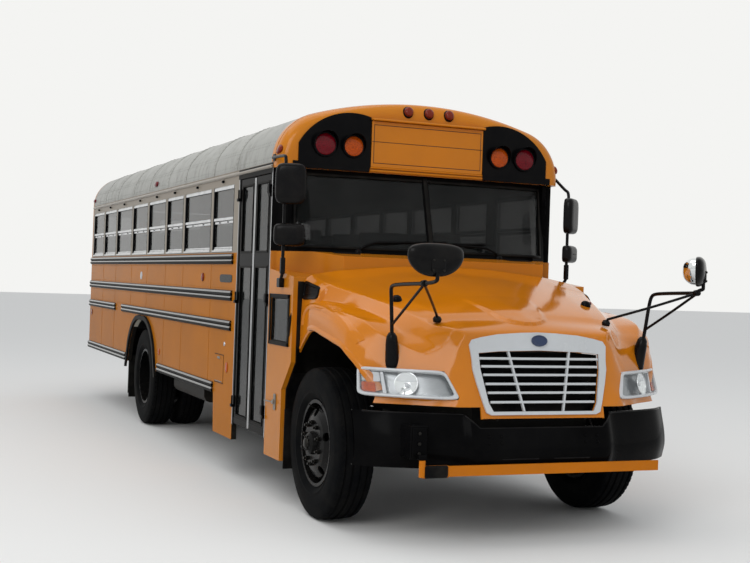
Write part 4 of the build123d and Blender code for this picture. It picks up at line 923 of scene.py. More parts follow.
def lathe(
    name: str,
    profile: Sequence[Sequence[float]] | Array,
    centre: Sequence[float],
    axis: Sequence[float],
    body: str,
    finish: Finish,
    count: int = 48,
    closed_profile: bool = False,
) -> Object:
    """Turn a profile about an axis: x along the axis, r away from it, angle all the way round.

    Args:
        name: object name.
        profile: pairs of distance along the axis and radius.
        centre: where distance zero lies.
        axis: direction of the axis.
        body: body it rides on.
        finish: its finish.
        count: steps round.
        closed_profile: join the profile's ends.

    Returns:
        The object.
    """
    a = np.asarray(axis, float) / np.linalg.norm(axis)
    up = np.array([0.0, 0.0, 1.0]) if abs(a[2]) < 0.9 else np.array([1.0, 0.0, 0.0])
    u = unit(up - a * up.dot(a))
    v = np.cross(a, u)
    turn = np.radians(np.linspace(0.0, 360.0, count, endpoint=False))
    ring = np.cos(turn)[:, None] * u + np.sin(turn)[:, None] * v
    p = np.asarray(profile, float)
    points = np.asarray(centre) + p[None, :, :1] * a + p[None, :, 1:] * ring[:, None, :]
    return surface(name, points, body, finish, close_rows=True, close_columns=closed_profile)


def tube(
    name: str, path: Sequence[Sequence[float]] | Array, radius: float, body: str, finish: Finish,
    count: int = 12, steps: int = 0,
) -> Object:
    """Carry a circle along a path, its ends closed by small domes.

    Args:
        name: object name.
        path: points along its middle.
        radius: tube radius.
        body: body it rides on.
        finish: its finish.
        count: points round the tube.
        steps: where above zero, the path is first drawn smoothly through its points with this many steps.

    Returns:
        The object.
    """
    p = np.asarray(path, float)
    if steps:
        done = along(p)
        p = pchip(done, p, np.linspace(0, done[-1], steps))
    t = unit(np.gradient(p, axis=0))
    reference = np.eye(3)[int(np.argmin(np.abs(t).mean(axis=0)))]
    u = unit(np.cross(t, reference))
    v = np.cross(t, u)
    # end domes: two more rings at each end that shrink as a quarter circle
    shrink = np.array([0.02, 0.7])
    push = np.array([1.0, 0.7])
    starts = p[0] - t[0] * radius * push[:, None]
    ends = p[-1] + t[-1] * radius * push[::-1, None]
    centres = np.concatenate([starts, p, ends])
    scale = np.concatenate([shrink, np.ones(len(p)), shrink[::-1]])
    uu, vv = (np.concatenate([w[:1].repeat(2, 0), w, w[-1:].repeat(2, 0)]) for w in (u, v))
    turn = around(count)
    ring = np.cos(turn)[None, :, None] * uu[:, None] + np.sin(turn)[None, :, None] * vv[:, None]
    return loft(name, centres[:, None] + radius * scale[:, None, None] * ring, body, finish)


def repeat(
    name: str, points: Array, faces: list[tuple[int, ...]], body: str, finish: Finish, smooth: bool = True
) -> Object:
    """Join copies of one small shape in one piece.

    Args:
        name: piece name.
        points: corners of every copy, with shape (copies, corners, 3).
        faces: corner numbers of each face of one copy.
        body: body it rides on.
        finish: its finish.
        smooth: shade it smooth.

    Returns:
        The piece.
    """
    copies, corners = points.shape[:2]
    shift = np.arange(copies) * corners
    every = [tuple(int(i + s) for i in f) for s in shift for f in faces]
    return make_piece(name, points.reshape(-1, 3), every, body, finish, smooth)


def blocks(name: str, boxes: Sequence[Sequence[float]] | Array, edge: float, body: str,
           finish: Finish) -> Object:
    """Boxes with chamfered edges, all in one piece.

    Each corner splits in three points, one pulled in along each pair of axes by the edge width.

    Args:
        name: object name.
        boxes: rows of x0, x1, y0, y1, z0, z1.
        edge: chamfer width.
        body: body it rides on.
        finish: its finish.

    Returns:
        The object.
    """
    signs = np.array([(x, y, z) for x in (-1, 1) for y in (-1, 1) for z in (-1, 1)], float)
    b = np.sort(np.asarray(boxes, float).reshape(-1, 3, 2), axis=2)
    half = (b[:, :, 1] - b[:, :, 0]) / 2
    centre = b.mean(axis=2)
    width = np.minimum(edge, half.min(axis=1) * 0.8)[:, None, None, None]
    keep = 1 - np.eye(3)
    # one such box drawn by a convex hull gives the faces of all
    mesh = bmesh.new()
    sample = (signs[:, None, :] * (1 - keep[None] * 0.2)).reshape(-1, 3)
    bmesh.ops.convex_hull(mesh, input=[mesh.verts.new(tuple(p)) for p in sample])
    bmesh.ops.recalc_face_normals(mesh, faces=mesh.faces)
    mesh.verts.ensure_lookup_table()
    faces = [tuple(v.index for v in f.verts) for f in mesh.faces]
    mesh.free()
    offset = signs[None, :, None, :] * (half[:, None, None, :] - width * keep[None, None])
    points = centre[:, None, :] + offset.reshape(len(b), len(sample), 3)
    return repeat(name, points, faces, body, finish, smooth=False)


def four_bars(
    u0: float, u1: float, v0: float, v1: float, out: float, into: float
) -> list[tuple[float, float, float, float]]:
    """Bars round a rectangle: foot, head, and both uprights between them.

    Args:
        u0: the rectangle's low edge along the first axis.
        u1: its high edge there.
        v0: its low edge along the second axis.
        v1: its high edge there.
        out: how far the bars reach outside it.
        into: how far they reach inside.

    Returns:
        The bars as (u0, u1, v0, v1).
    """
    return [
        (u0 - out, u1 + out, v0 - out, v0 + into), (u0 - out, u1 + out, v1 - into, v1 + out),
        (u0 - out, u0 + into, v0, v1), (u1 - into, u1 + out, v0, v1),
    ]


def studs(
    name: str,
    places: Sequence[Sequence[float]] | Array,
    normals: Sequence[float] | Array,
    radius: float,
    height: float,
    body: str,
    finish: Finish,
    sides: int = 8,
    dome: bool = True,
) -> Object:
    """Rivet heads or bolt heads on a surface, all in one piece.

    Args:
        name: object name.
        places: foot points.
        normals: one outward direction, or one for each place.
        radius: head radius.
        height: head height.
        body: body it rides on.
        finish: its finish.
        sides: corners of the head.
        dome: a rounded rivet rather than a flat bolt head.

    Returns:
        The object.
    """
    places = np.asarray(places, float).reshape(-1, 3)
    n = unit(np.broadcast_to(np.asarray(normals, float), places.shape))
    reference = np.where(np.abs(n[:, 2:3]) < 0.9, [[0.0, 0.0, 1.0]], [[1.0, 0.0, 0.0]])
    u = unit(np.cross(n, reference))
    v = np.cross(n, u)
    turn = around(sides)
    spokes = np.cos(turn)[None, :, None] * u[:, None] + np.sin(turn)[None, :, None] * v[:, None]
    domed, flat = ((1.0, 0.25), (0.72, 0.75), (0.25, 1.0)), ((1.0, 0.9), (0.88, 1.0))
    rings = ((1.0, -0.2), *(domed if dome else flat))
    levels = [radius * r * spokes + (height * h * n)[:, None] for r, h in rings]
    points = places[:, None] + np.concatenate(levels, axis=1)
    faces = [tuple(f) for f in grid_quads(len(rings), sides, False, True)]
    faces.append(tuple((len(rings) - 1) * sides + i for i in range(sides))[::-1])
    faces.append(tuple(range(sides)))
    return outward(repeat(name, points, faces, body, finish, smooth=dome))


def rounded_square(sharpness: float, count: int = 96) -> Array:
    """Points round a square from -1 to 1 with soft corners.

    Each coordinate is a cosine or sine raised to a power below one: the lower it is, the sharper the
    corners.
    """
    turn = around(count)
    both = np.stack([np.cos(turn), np.sin(turn)], axis=1)
    return np.sign(both) * np.abs(both) ** sharpness


Face = Callable[[Array, Array, float], Array]


def face_ring(face: Face, square: Array, inset: Sequence[float], share: float, out: float) -> Array:
    """A soft-cornered ring on a curved face, inside its edge by an inset in u and v and then shrunk."""
    return face(*(0.5 + square[:, k] * (0.5 - inset[k]) * share for k in (0, 1)), out)


def rim(
    name: str, face: Face, profile: Sequence[Sequence[float]], body: str, finish: Finish,
    sharpness: float = 0.3
) -> Object:
    """A closed ring on a curved face.

    Args:
        name: object name.
        face: turns u and v from 0 to 1 and a distance outwards in points.
        profile: (inset in u, inset in v, distance outwards) round the ring's section.
        body: body it rides on.
        finish: its finish.
        sharpness: how sharp its corners are, lower for sharper.

    Returns:
        The ring.
    """
    square = rounded_square(sharpness)
    rows = np.stack([face_ring(face, square, inset, 1.0, out) for *inset, out in profile])
    return crease(surface(name, rows, body, finish, close_rows=True, close_columns=True), 32)


def panel(
    name: str, face: Face, inset: Sequence[float], out: float, wall: float, body: str, finish: Finish,
    sharpness: float = 0.3,
) -> Object:
    """A closed plate with soft corners on a curved face, in rings that shrink to its middle.

    Args:
        name: object name.
        face: as for rim.
        inset: distance inside the face's edge, in u and v.
        out: how far its front lies outwards.
        wall: thickness.
        body: body it rides on.
        finish: its finish.
        sharpness: as for rim.

    Returns:
        The plate.
    """
    square = rounded_square(sharpness)
    back = out - wall
    rings = ((0.02, back), (1.0, back), (1.0, out - wall * 0.3),
             *((k, out) for k in (0.985, 0.8, 0.6, 0.4, 0.2, 0.02)))
    return crease(loft(name, [face_ring(face, square, inset, share, level) for share, level in rings], body,
                       finish), 32)


@dataclass
class Tyre:
    """One tyre: ribbed and siped tread, moulded sidewalls, a closed wall.

    Args:
        name: piece name.
        ahead: wheel centre ahead of the front axle.
        across: Y of the tyre's middle.
        body: wheel body.
        lugs: shoulder blocks round the tyre, for a drive axle.
    """

    name: str
    ahead: float
    across: float
    body: str
    lugs: int = 0
    radius: float = 0.525
    steps: int = 240
    tread_points: int = 47
    sipes: int = 72
    flank: tuple[tuple[float, float], ...] = (
        (0.118, 0.513), (0.1265, 0.500), (0.131, 0.485), (0.1355, 0.455), (0.1375, 0.449), (0.1390, 0.42),
        (0.1395, 0.395), (0.1385, 0.372), (0.1355, 0.352), (0.1375, 0.348), (0.1335, 0.338), (0.124, 0.322),
        (0.112, 0.308), (0.1055, 0.301), (0.1055, 0.286), (0.084, 0.286), (0.100, 0.33), (0.119, 0.395),
        (0.103, 0.485), (0.06, 0.4985),
    )

    def section(self) -> Array:
        """The closed section as (across, radius): a crowned tread with four grooves, and the flanks.

        Returns:
            The points.
        """
        tread = np.linspace(-0.106, 0.106, self.tread_points)
        crown = self.radius - 0.006 * (np.abs(tread) / 0.106) ** 2.2
        groove = np.zeros_like(tread)
        for middle in (-0.078, -0.027, 0.027, 0.078):
            groove = np.maximum(groove, np.clip(1.6 - np.abs(tread - middle) / 0.0055, 0, 1))
        side = np.array(self.flank)
        return np.concatenate([np.stack([tread, crown - 0.013 * groove], axis=1), side, side[::-1] * (-1, 1)])

    def build(self) -> Object:
        """Turn the section round the axle; across the shoulders the radius drops at each slot.

        Returns:
            The piece.
        """
        s = self.section()
        turn = around(self.steps)
        slot = (np.cos(turn * (self.lugs or self.sipes)) < -0.55).astype(float)
        start, depth = (0.084, 0.011) if self.lugs else (0.094, 0.005)
        outer = np.clip((np.abs(s[:, 0]) - start) / 0.006, 0, 1)
        shoulder = outer * (s[:, 1] > 0.49) * (np.arange(len(s)) < self.tread_points + 4)
        r = s[None, :, 1] - depth * slot[:, None] * shoulder[None, :]
        points = np.stack(
            [
                AXLE + self.ahead + r * np.sin(turn)[:, None],
                np.broadcast_to(self.across + s[None, :, 0], r.shape),
                WHEEL_HEIGHT + r * np.cos(turn)[:, None],
            ],
            axis=-1,
        )
        return crease(surface(self.name, points, self.body, Finish.TYRE, close_rows=True, close_columns=True),
                      38.0)


@dataclass
class WheelTrim:
    """Nuts, studs and caps on a wheel's mounting face.

    Args:
        name: piece prefix.
        ahead: wheel centre ahead of the front axle.
        face: Y of the mounting face.
        side: which side of the bus.
        body: wheel body.
        hub_face: Y of the hub's outer end.
        hub_radius: radius of the hub's outer end.
    """

    name: str
    ahead: float
    face: float
    side: Side
    body: str
    hub_face: float
    hub_radius: float
    circle: float = 0.143
    nuts: int = 10
    cap_bolts: int = 8

    def ring(self, radius: float, count: int, y: float, phase: float = 0.0) -> Array:
        """Points round the axle: even angles on a circle of the given radius."""
        turn = around(count) + phase
        x = AXLE + self.ahead + radius * np.sin(turn)
        return np.stack([x, np.full(count, y), WHEEL_HEIGHT + radius * np.cos(turn)], axis=1)

    def build(self) -> None:
        """Make the nuts with their stud ends, the hub's bolts and its cap, and the valve."""
        s, hub = self.side.value, self.hub_radius
        out = (0.0, float(s), 0.0)
        ring = self.ring(self.circle, self.nuts, self.face)
        caps = self.ring(hub * 0.8, self.cap_bolts, self.hub_face, 0.2)
        for label, places, radius, height, sides in (
            ("nuts", ring, 0.0165, 0.022, 6), ("stud_ends", ring, 0.0095, 0.036, 10),
            ("cap_bolts", caps, 0.0075, 0.008, 6),
        ):
            studs(f"{self.name}_{label}", places, out, radius, height, self.body, Finish.OXIDE, sides,
                  dome=False)
        cap = ((-0.004, hub * 0.66), (0.008, hub * 0.64), (0.018, hub * 0.5), (0.021, hub * 0.2),
               (0.021, 0.0004))
        lathe(f"{self.name}_hub_cap", cap, (AXLE + self.ahead, self.hub_face, WHEEL_HEIGHT), out, self.body,
              Finish.OXIDE, 32)
        stem = np.array([(0.0, 0.0, 0.0), (0.0, 0.03 * s, 0.01), (0.0, 0.07 * s, 0.035)])
        foot = (AXLE + self.ahead, self.face - 0.03 * s, WHEEL_HEIGHT + 0.235)
        tube(f"{self.name}_valve", stem + foot, 0.0045, self.body, Finish.OXIDE, 8, 8)


@dataclass
class Wheels:
    """All tyres and wheel trim."""

    front_tyre_y: float = 1.0365
    rear_outer_y: float = 1.0505
    rear_inner_y: float = 0.7205
    rear_disc_y: float = 0.8855

    def build(self) -> None:
        """Replace the plain tyres and add the trim."""
        for side in Side:
            s, n = side.value, side.label
            front, rear = f"front_wheel_{n}", f"rear_wheels_{n}"
            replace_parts(Tyre(f"tyre_front_{n}", 0.0, s * self.front_tyre_y, front).build(), f"front_tyre_{n}")
            outer = Tyre(f"tyre_rear_outer_{n}", -WHEELBASE, s * self.rear_outer_y, rear, 60).build()
            Tyre(f"tyre_rear_inner_{n}", -WHEELBASE, s * self.rear_inner_y, rear, 60).build()
            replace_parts(outer, f"rear_tyres_{n}")
            for name, ahead, face, body, hub, radius in (
                (f"front_{n}", 0.0, self.front_tyre_y + 0.132, front, self.front_tyre_y + 0.176, 0.058),
                (f"rear_{n}", -WHEELBASE, self.rear_disc_y + 0.0065, rear, self.rear_disc_y + 0.168, 0.074),
            ):
                WheelTrim(name, ahead, s * face, side, body, s * hub, radius).build()


@dataclass
class Hood:
    """The tilting hood: one smooth skin through half sections, cut for arches, lamps and grille.

    Each row of ``sections`` is a distance ahead of the axle and seven (y, z) points in millimetres:
    centre top, bulge edge, shoulder crease, valley, fender crest, side and foot. Each row of ``lamps`` is a
    distance ahead and the four (y, z) corners of the lamp's opening there.
    """

    body: str = "hood"
    wall: float = 0.012
    sections: tuple[tuple[float, ...], ...] = (
        (-374, 0, 1785, 400, 1776, 1085, 1692, 1140, 1650, 1152, 1500, 1158, 1320, 1158, 860),
        (-112, 0, 1720, 350, 1711, 1040, 1628, 1105, 1570, 1150, 1490, 1158, 1330, 1158, 860),
        (-98, 0, 1717, 348, 1708, 1035, 1624, 1100, 1510, 1180, 1486, 1196, 1425, 1196, 860),
        (250, 0, 1622, 275, 1612, 900, 1552, 1000, 1472, 1150, 1462, 1194, 1400, 1196, 860),
        (550, 0, 1538, 210, 1527, 790, 1482, 890, 1405, 1080, 1415, 1178, 1320, 1192, 860),
        (700, 0, 1492, 170, 1480, 735, 1437, 840, 1345, 1000, 1335, 1105, 1190, 1168, 860),
        (800, 0, 1452, 145, 1440, 690, 1398, 770, 1305, 880, 1260, 965, 1130, 1075, 860),
        (950, 0, 1385, 130, 1385, 590, 1372, 650, 1260, 695, 1180, 735, 1110, 850, 850),
        (1000, 0, 1350, 128, 1350, 530, 1350, 590, 1250, 625, 1170, 662, 1100, 790, 845),
        (1060, 0, 1103, 125, 1103, 500, 1103, 545, 1060, 585, 1020, 618, 985, 690, 835),
        (1100, 0, 938, 122, 938, 465, 938, 520, 936, 555, 934, 588, 930, 640, 840),
        (1130, 0, 815, 120, 815, 440, 815, 455, 811, 465, 807, 475, 803, 485, 785),
    )
    inner_crease: tuple[tuple[float, float], ...] = (
        (-0.374, 0.861), (-0.329, 0.849), (0.174, 0.717), (0.647, 0.612), (0.989, 0.480),
    )
    wedge: tuple[tuple[float, float], ...] = (
        (0.26, 0.280), (0.42, 0.267), (0.60, 0.235), (0.75, 0.200), (0.84, 0.155), (0.885, 0.105),
        (0.905, 0.060), (0.915, 0.0),
    )
    grille_hole: tuple[tuple[float, float], ...] = (
        (0, 1.242), (0.3, 1.234), (0.448, 1.222), (0.444, 1.122), (0.402, 0.91), (0.372, 0.856),
    )
    lamps: tuple[tuple[float, ...], ...] = (
        (0.704, 1.161, 1.109, 1.195, 0.933, 1.111, 0.933, 1.077, 1.109),
        (0.800, 1.016, 1.105, 1.082, 0.931, 0.998, 0.931, 0.932, 1.105),
        (0.950, 0.778, 1.104, 0.853, 0.930, 0.769, 0.930, 0.694, 1.104),
        (0.998, 0.703, 1.103, 0.788, 0.930, 0.704, 0.930, 0.619, 1.103),
        (1.060, 0.660, 0.982, 0.684, 0.930, 0.600, 0.930, 0.576, 0.982),
        (1.091, 0.637, 0.945, 0.644, 0.930, 0.560, 0.930, 0.553, 0.945),
    )

    def half_rows(self, places: Array, per_side: int = 20, blur: int = 14) -> Array:
        """Half sections at the wanted distances ahead.

        Each polyline is sampled evenly on every side. Its corners are rounded by averaging neighbours, except
        the shoulder crease and the fender's crest, which stay crisp. Between stations every sample follows
        an interpolation without overshoot.

        Args:
            places: distances ahead.
            per_side: samples on each side of the polyline.
            blur: how often neighbours are averaged.

        Returns:
            Array of shape (places, samples, 2) with y and z in metres.
        """
        table = np.array(self.sections) / 1000.0
        corners = table[:, 1:].reshape(len(table), 7, 2)
        share = np.linspace(0, 1, per_side, endpoint=False)[None, None, :, None]
        dense = corners[:, :-1, None] * (1 - share) + corners[:, 1:, None] * share
        dense = np.concatenate([dense.reshape(len(table), -1, 2), corners[:, -1:]], axis=1)
        mirrored = np.concatenate([dense[:, blur:0:-1] * (-1, 1), dense], axis=1)
        crisp = [blur + 2 * per_side, blur + 4 * per_side]
        kept = mirrored[:, crisp].copy()
        for step in range(blur):
            mirrored[:, 1:-1] = (mirrored[:, :-2] + 2 * mirrored[:, 1:-1] + mirrored[:, 2:]) / 4
            if step < blur - 1:
                mirrored[:, crisp] = kept
        smooth = mirrored[:, blur:]
        smooth[:, 0, 0] = 0.0
        rows = pchip(table[:, 0], smooth, places)
        rows[..., 1] += self.relief(np.asarray(places)[:, None], rows[..., 0], table)
        return rows

    def relief(self, ahead: Array, across: Array, table: Array) -> Array:
        """Height added to the top: a soft ridge along the inner crease and a wedge that rises to the nose.

        The ridge is a tent across Y from the bulge's edge to the shoulder. The wedge grows forwards and
        ends in a rounded front.

        Args:
            ahead: distances ahead.
            across: distances across.
            table: rows of the sections' table.

        Returns:
            The heights added.
        """
        edge = np.interp(ahead, table[:, 0], table[:, 3])
        shoulder = np.interp(ahead, table[:, 0], table[:, 5])
        ridge = np.interp(ahead, *np.array(self.inner_crease).T)
        tent = np.clip((across - edge) / (ridge - edge), 0, 1)
        tent = tent * np.clip((shoulder - across) / (shoulder - ridge), 0, 1)
        tent *= np.clip((0.97 - ahead) / 0.25, 0, 1)
        half = np.interp(ahead, *np.array(self.wedge).T)
        inside = np.clip((half - across) / 0.016, 0, 1) * (ahead < self.wedge[-1][0])
        inside = inside * inside * (3 - 2 * inside)
        rise = np.clip((ahead - 0.38) / 0.48, 0, 1)
        return 0.012 * tent + 0.017 * rise * inside

    def skin(self) -> Object:
        """The outer skin with its wall.

        Returns:
            The piece.
        """
        runs = ((-0.374, -0.112, 16), (-0.112, -0.098, 3), (-0.098, 0.95, 116), (0.95, 1.13, 24))
        places = np.unique(np.concatenate([np.linspace(*run) for run in runs]))
        half = self.half_rows(places)
        full = np.concatenate([half[:, :0:-1] * (-1, 1), half], axis=1)
        x = np.broadcast_to(places[:, None, None], full.shape[:2] + (1,))
        made = surface("hood_skin", np.concatenate([x + AXLE, full], axis=2), self.body, Finish.HOOD)
        return thicken(made, self.wall, 2, Finish.LINING)

    def arch(self) -> Array:
        """Outline of the wheel opening in (ahead, height), as the solids have it.

        Returns:
            The outline's points.
        """
        return np.concatenate([
            arc_through((-0.58, 0.84), (-0.419, 1.082), (-0.18, 1.275))[:-1],
            arc_through((-0.18, 1.275), (-0.06, 1.302), (0.10, 1.292)),
            arc_through((0.53, 1.215), (0.70, 1.085), (0.80, 0.92)),
            [(0.815, 0.2), (-0.58, 0.2)],
        ])

    def cutters(self) -> list[Object]:
        """Closed shapes of the openings.

        Returns:
            The shapes.
        """
        made = []

        def cut(name: str, outline: Array, low: float, high: float) -> None:
            """A straight cutter across the bus between two Y."""
            made.append(prism(f"cut_{name}", outline + (AXLE, 0), "Y", *sorted((low, high)), self.body,
                              Finish.HOOD))

        corner = np.array([(0.79, 0.6), (1.2, 0.6), (1.2, 0.886), (0.79, 0.886)])
        table = np.array(self.lamps)
        for side in Side:
            s = side.value
            cut(f"arch_{s}", self.arch(), s * 0.56, s * 1.30)
            cut(f"corner_{s}", corner, s * 0.454, s * 1.30)
            quads = table[:, 1:].reshape(-1, 4, 2) * (s, 1)
            x = np.broadcast_to(table[:, 0, None, None] + AXLE, quads.shape[:2] + (1,))
            made.append(loft(f"cut_lamp_{s}", np.concatenate([x, quads], axis=2), self.body, Finish.HOOD,
                             smooth=False))
        half = np.array(self.grille_hole)
        outline = np.concatenate([half, (half[1:] * (-1, 1))[::-1]])
        x0 = 1.0 + (1.35 - outline[:, 1]) * 0.243 + AXLE
        rows = [np.stack([x0 + d, outline[:, 0], outline[:, 1]], axis=1) for d in (-0.08, 0.08)]
        made.append(loft("cut_grille", rows, self.body, Finish.HOOD, smooth=False))
        cut("foot", np.array([(-0.45, 0.5), (1.04, 0.5), (1.04, 0.862), (-0.45, 0.862)]), -1.4, 1.4)
        return made

    def height(self, ahead: float, across: float) -> float:
        """Height of the skin above a place: the section there, read at that y."""
        row = self.half_rows(np.array([ahead]))[0]
        keep = row[:, 0] <= np.maximum.accumulate(row[:, 0]) + 1e-9
        return float(np.interp(abs(across), row[keep, 0], row[keep, 1]))

    def side(self, ahead: Array, height: Array) -> Array:
        """How far out the skin lies at places on its side: each section read downwards from its shoulder.

        Args:
            ahead: distances ahead.
            height: heights.

        Returns:
            The distances across.
        """
        rows = self.half_rows(np.ravel(ahead))
        found = []
        for row, level in zip(rows, np.ravel(height)):
            start = 2 * (len(row) - 1) // 6
            low = np.minimum.accumulate(row[start:, 1])
            found.append(np.interp(-level, -low, row[start:, 0]))
        return np.array(found).reshape(np.shape(ahead))

    def build(self) -> None:
        """Make the hood with its openings."""
        skin = carve(self.skin(), self.cutters())
        for polygon in skin.data.polygons:
            polygon.use_smooth = True
        crease(skin, 32.0)
        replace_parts(skin, "hood")


@dataclass
class Bumper:
    """The front bumper's pressed band with rolled lips, bolts and slots, and the crossing arm's bracket."""

    body: str = "coach"
    foot: float = 0.49
    wall: float = 0.006
    plan: tuple[tuple[float, float], ...] = (
        (0.0, 1.090), (0.48, 1.090), (0.56, 1.046), (0.68, 1.002), (0.80, 0.962), (0.93, 0.912),
        (1.05, 0.852), (1.18, 0.742),
    )

    def face(self, across: Array, height: Array) -> Array:
        """X of the outer face: the plan's line plus a bulge that is largest at 0.6 m up.

        Args:
            across: distances across.
            height: heights.

        Returns:
            The X of each place.
        """
        table = np.array(self.plan)
        base = pchip(table[:, 0], table[:, 1], np.abs(across))
        bulge = pchip(np.array([self.foot, 0.60, 0.84]), np.array([0.03, 0.06, 0.0]), height)
        return AXLE + base + bulge

    def top(self, across: Array) -> Array:
        """Height of the top edge: low in the middle, stepped up beside the nose."""
        return np.interp(np.abs(across), (0.454, 0.543), (0.756, 0.84))

    def band(self, y: Array) -> None:
        """The band: a grid over its face, its first and last rows turned in, with a wall.

        Args:
            y: distances across.
        """
        z = self.foot + (self.top(y)[:, None] - self.foot) * np.linspace(0, 1, 22)[None]
        yy = np.broadcast_to(y[:, None], z.shape)
        x = self.face(yy.ravel(), z.ravel()).reshape(z.shape)
        band = np.stack([x, yy, z], axis=-1)
        points = np.concatenate([band[:, :1] + (-0.022, 0, 0.002), band, band[:, -1:] + (-0.022, 0, -0.002)],
                                axis=1)
        made = thicken(surface("bumper_band", points, self.body, Finish.BLACK), self.wall, 0)
        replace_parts(crease(made, 40.0), "front_bumper")

    def build(self) -> None:
        """Make the band, its bolts and the crossing arm's bracket."""
        y = np.unique(np.concatenate([np.linspace(-1.18, 1.18, 90), [-0.543, -0.454, 0.454, 0.543]]))
        self.band(y)
        lip = np.stack([self.face(y, self.top(y)) - 0.005, y, self.top(y) - 0.005], axis=1)
        tube("bumper_rolled_lip", lip[2:-2], 0.0075, self.body, Finish.MIRROR, 10)
        for number, (near, far) in enumerate(((-0.30, -0.04), (0.08, 0.34))):
            run = np.linspace(near, far, 8)
            press = np.stack([self.face(run, run * 0 + 0.556) - 0.001, run, run * 0 + 0.556], axis=1)
            tube(f"bumper_press_{number}", press, 0.005, self.body, Finish.MIRROR, 8)
        blocks("arm_bracket", [
            (AXLE + 0.95, AXLE + 1.118, -0.935, -0.815, 0.567, 0.775),
            (AXLE + 1.10, AXLE + 1.174, -0.898, -0.842, 0.567, 0.600),
            (AXLE + 1.118, AXLE + 1.126, -0.925, -0.825, 0.580, 0.762),
        ], 0.006, self.body, Finish.BLACK)
        lathe("arm_pin", ((-0.03, 0.0004), (-0.03, 0.0078), (0.08, 0.0078), (0.08, 0.0004)),
              at(1.158, -0.87, 0.49), (0, 0, 1), self.body, Finish.STEEL, 20)
        studs("bracket_bolts", [at(1.126, -0.88, z) for z in (0.603, 0.664, 0.729)], (1, 0, 0), 0.011, 0.009,
              self.body, Finish.OXIDE, 6, False)
        bolts = np.array([(y, z) for y in (-0.40, -0.31, 0.31, 0.40) for z in (0.66, 0.70)])
        places = np.stack([self.face(*bolts.T), *bolts.T], axis=1)
        studs("bumper_bolts", places, (1, 0, 0.2), 0.011, 0.006, self.body, Finish.BLACK, 8, True)


@dataclass
class Trim:
    """Fine pieces on one body; their places are given as distance ahead, Y and height."""

    body: str = "coach"

    def blocks(self, name: str, rows: Sequence[Sequence[float]], edge: float, finish: Finish) -> None:
        """Boxes from rows of two distances ahead, two Y and two heights."""
        blocks(name, np.asarray(rows, float) + (AXLE, AXLE, 0, 0, 0, 0), edge, self.body, finish)

    def lathe(
        self, name: str, profile: Sequence[Sequence[float]], centre: Sequence[float], axis: Sequence[float],
        finish: Finish, count: int = 48, closed: bool = False,
    ) -> None:
        """A turned piece, as the function lathe makes it."""
        lathe(name, profile, at(*centre), axis, self.body, finish, count, closed)

    def tube(
        self, name: str, path: Sequence[Sequence[float]], radius: float, finish: Finish, count: int = 12,
        steps: int = 0
    ) -> None:
        """A round bar, as the function tube makes it."""
        tube(name, np.asarray(path, float) + (AXLE, 0, 0), radius, self.body, finish, count, steps)

    def studs(
        self, name: str, places: Sequence[Sequence[float]] | Array, normals: Sequence[float] | Array,
        radius: float, height: float, finish: Finish, sides: int = 8, dome: bool = True,
    ) -> None:
        """Rivet or bolt heads, as the function studs makes them."""
        places = np.asarray(places, float) + (AXLE, 0, 0)
        studs(name, places, normals, radius, height, self.body, finish, sides, dome)

    def loft(self, name: str, rows: Sequence[Array], finish: Finish, sharp: float = 0.0,
             smooth: bool = True) -> Object:
        """Closed rings joined in order, with edges above an angle kept sharp where one is given."""
        made = loft(name, np.stack(rows) + (AXLE, 0, 0), self.body, finish, smooth)
        return crease(made, sharp) if sharp else made


def pillars() -> Array:
    """Middles of the window pillars as distances ahead, front one first."""
    lengths = (0.730, 1.045, 0.755, 0.875, 0.845, 0.955, 0.825, 0.805)
    return -1.960 - np.concatenate([[0.0], np.cumsum(lengths)])


def bays() -> list[tuple[float, float]]:
    """Window openings between the pillars as (rear, front) distances ahead, front bay first."""
    edges = pillars()
    return [(rear + 0.036, front - 0.036) for front, rear in zip(edges[:-1], edges[1:])]


def roof_line(share: Array, inset: float = 0.0) -> tuple[Array, Array]:
    """Points and outward directions across the roof.

    The section is a shoulder arc of 0.4 m radius and a long crown arc, joined in a common tangent.

    Args:
        share: -1 at the right shoulder's foot, 0 at the ridge and 1 at the left.
        inset: distance inside the skin.

    Returns:
        (y, z) points and (y, z) directions.
    """
    radius, shoulder, foot, top = 0.4, 0.819, 2.545, 3.070
    rise = top - foot
    crown = (shoulder**2 + rise**2 - radius**2) / (2 * (rise - radius))
    centre = top - crown
    bend = math.atan2(shoulder, foot - centre)
    run = np.abs(share) * (radius * (math.pi / 2 - bend) + crown * bend)
    on_crown = run <= crown * bend
    angle = np.where(on_crown, run / crown, bend + (run - crown * bend) / radius)
    direction = np.stack([np.sin(angle), np.cos(angle)], axis=-1)
    base = np.where(on_crown[..., None], [0.0, centre], [shoulder, foot])
    reach = np.where(on_crown, crown, radius) - inset
    sign = np.where(share < 0, -1.0, 1.0)[..., None] * (1.0, 0.0) + (0.0, 1.0)
    return (base + reach[..., None] * direction) * sign, direction * sign


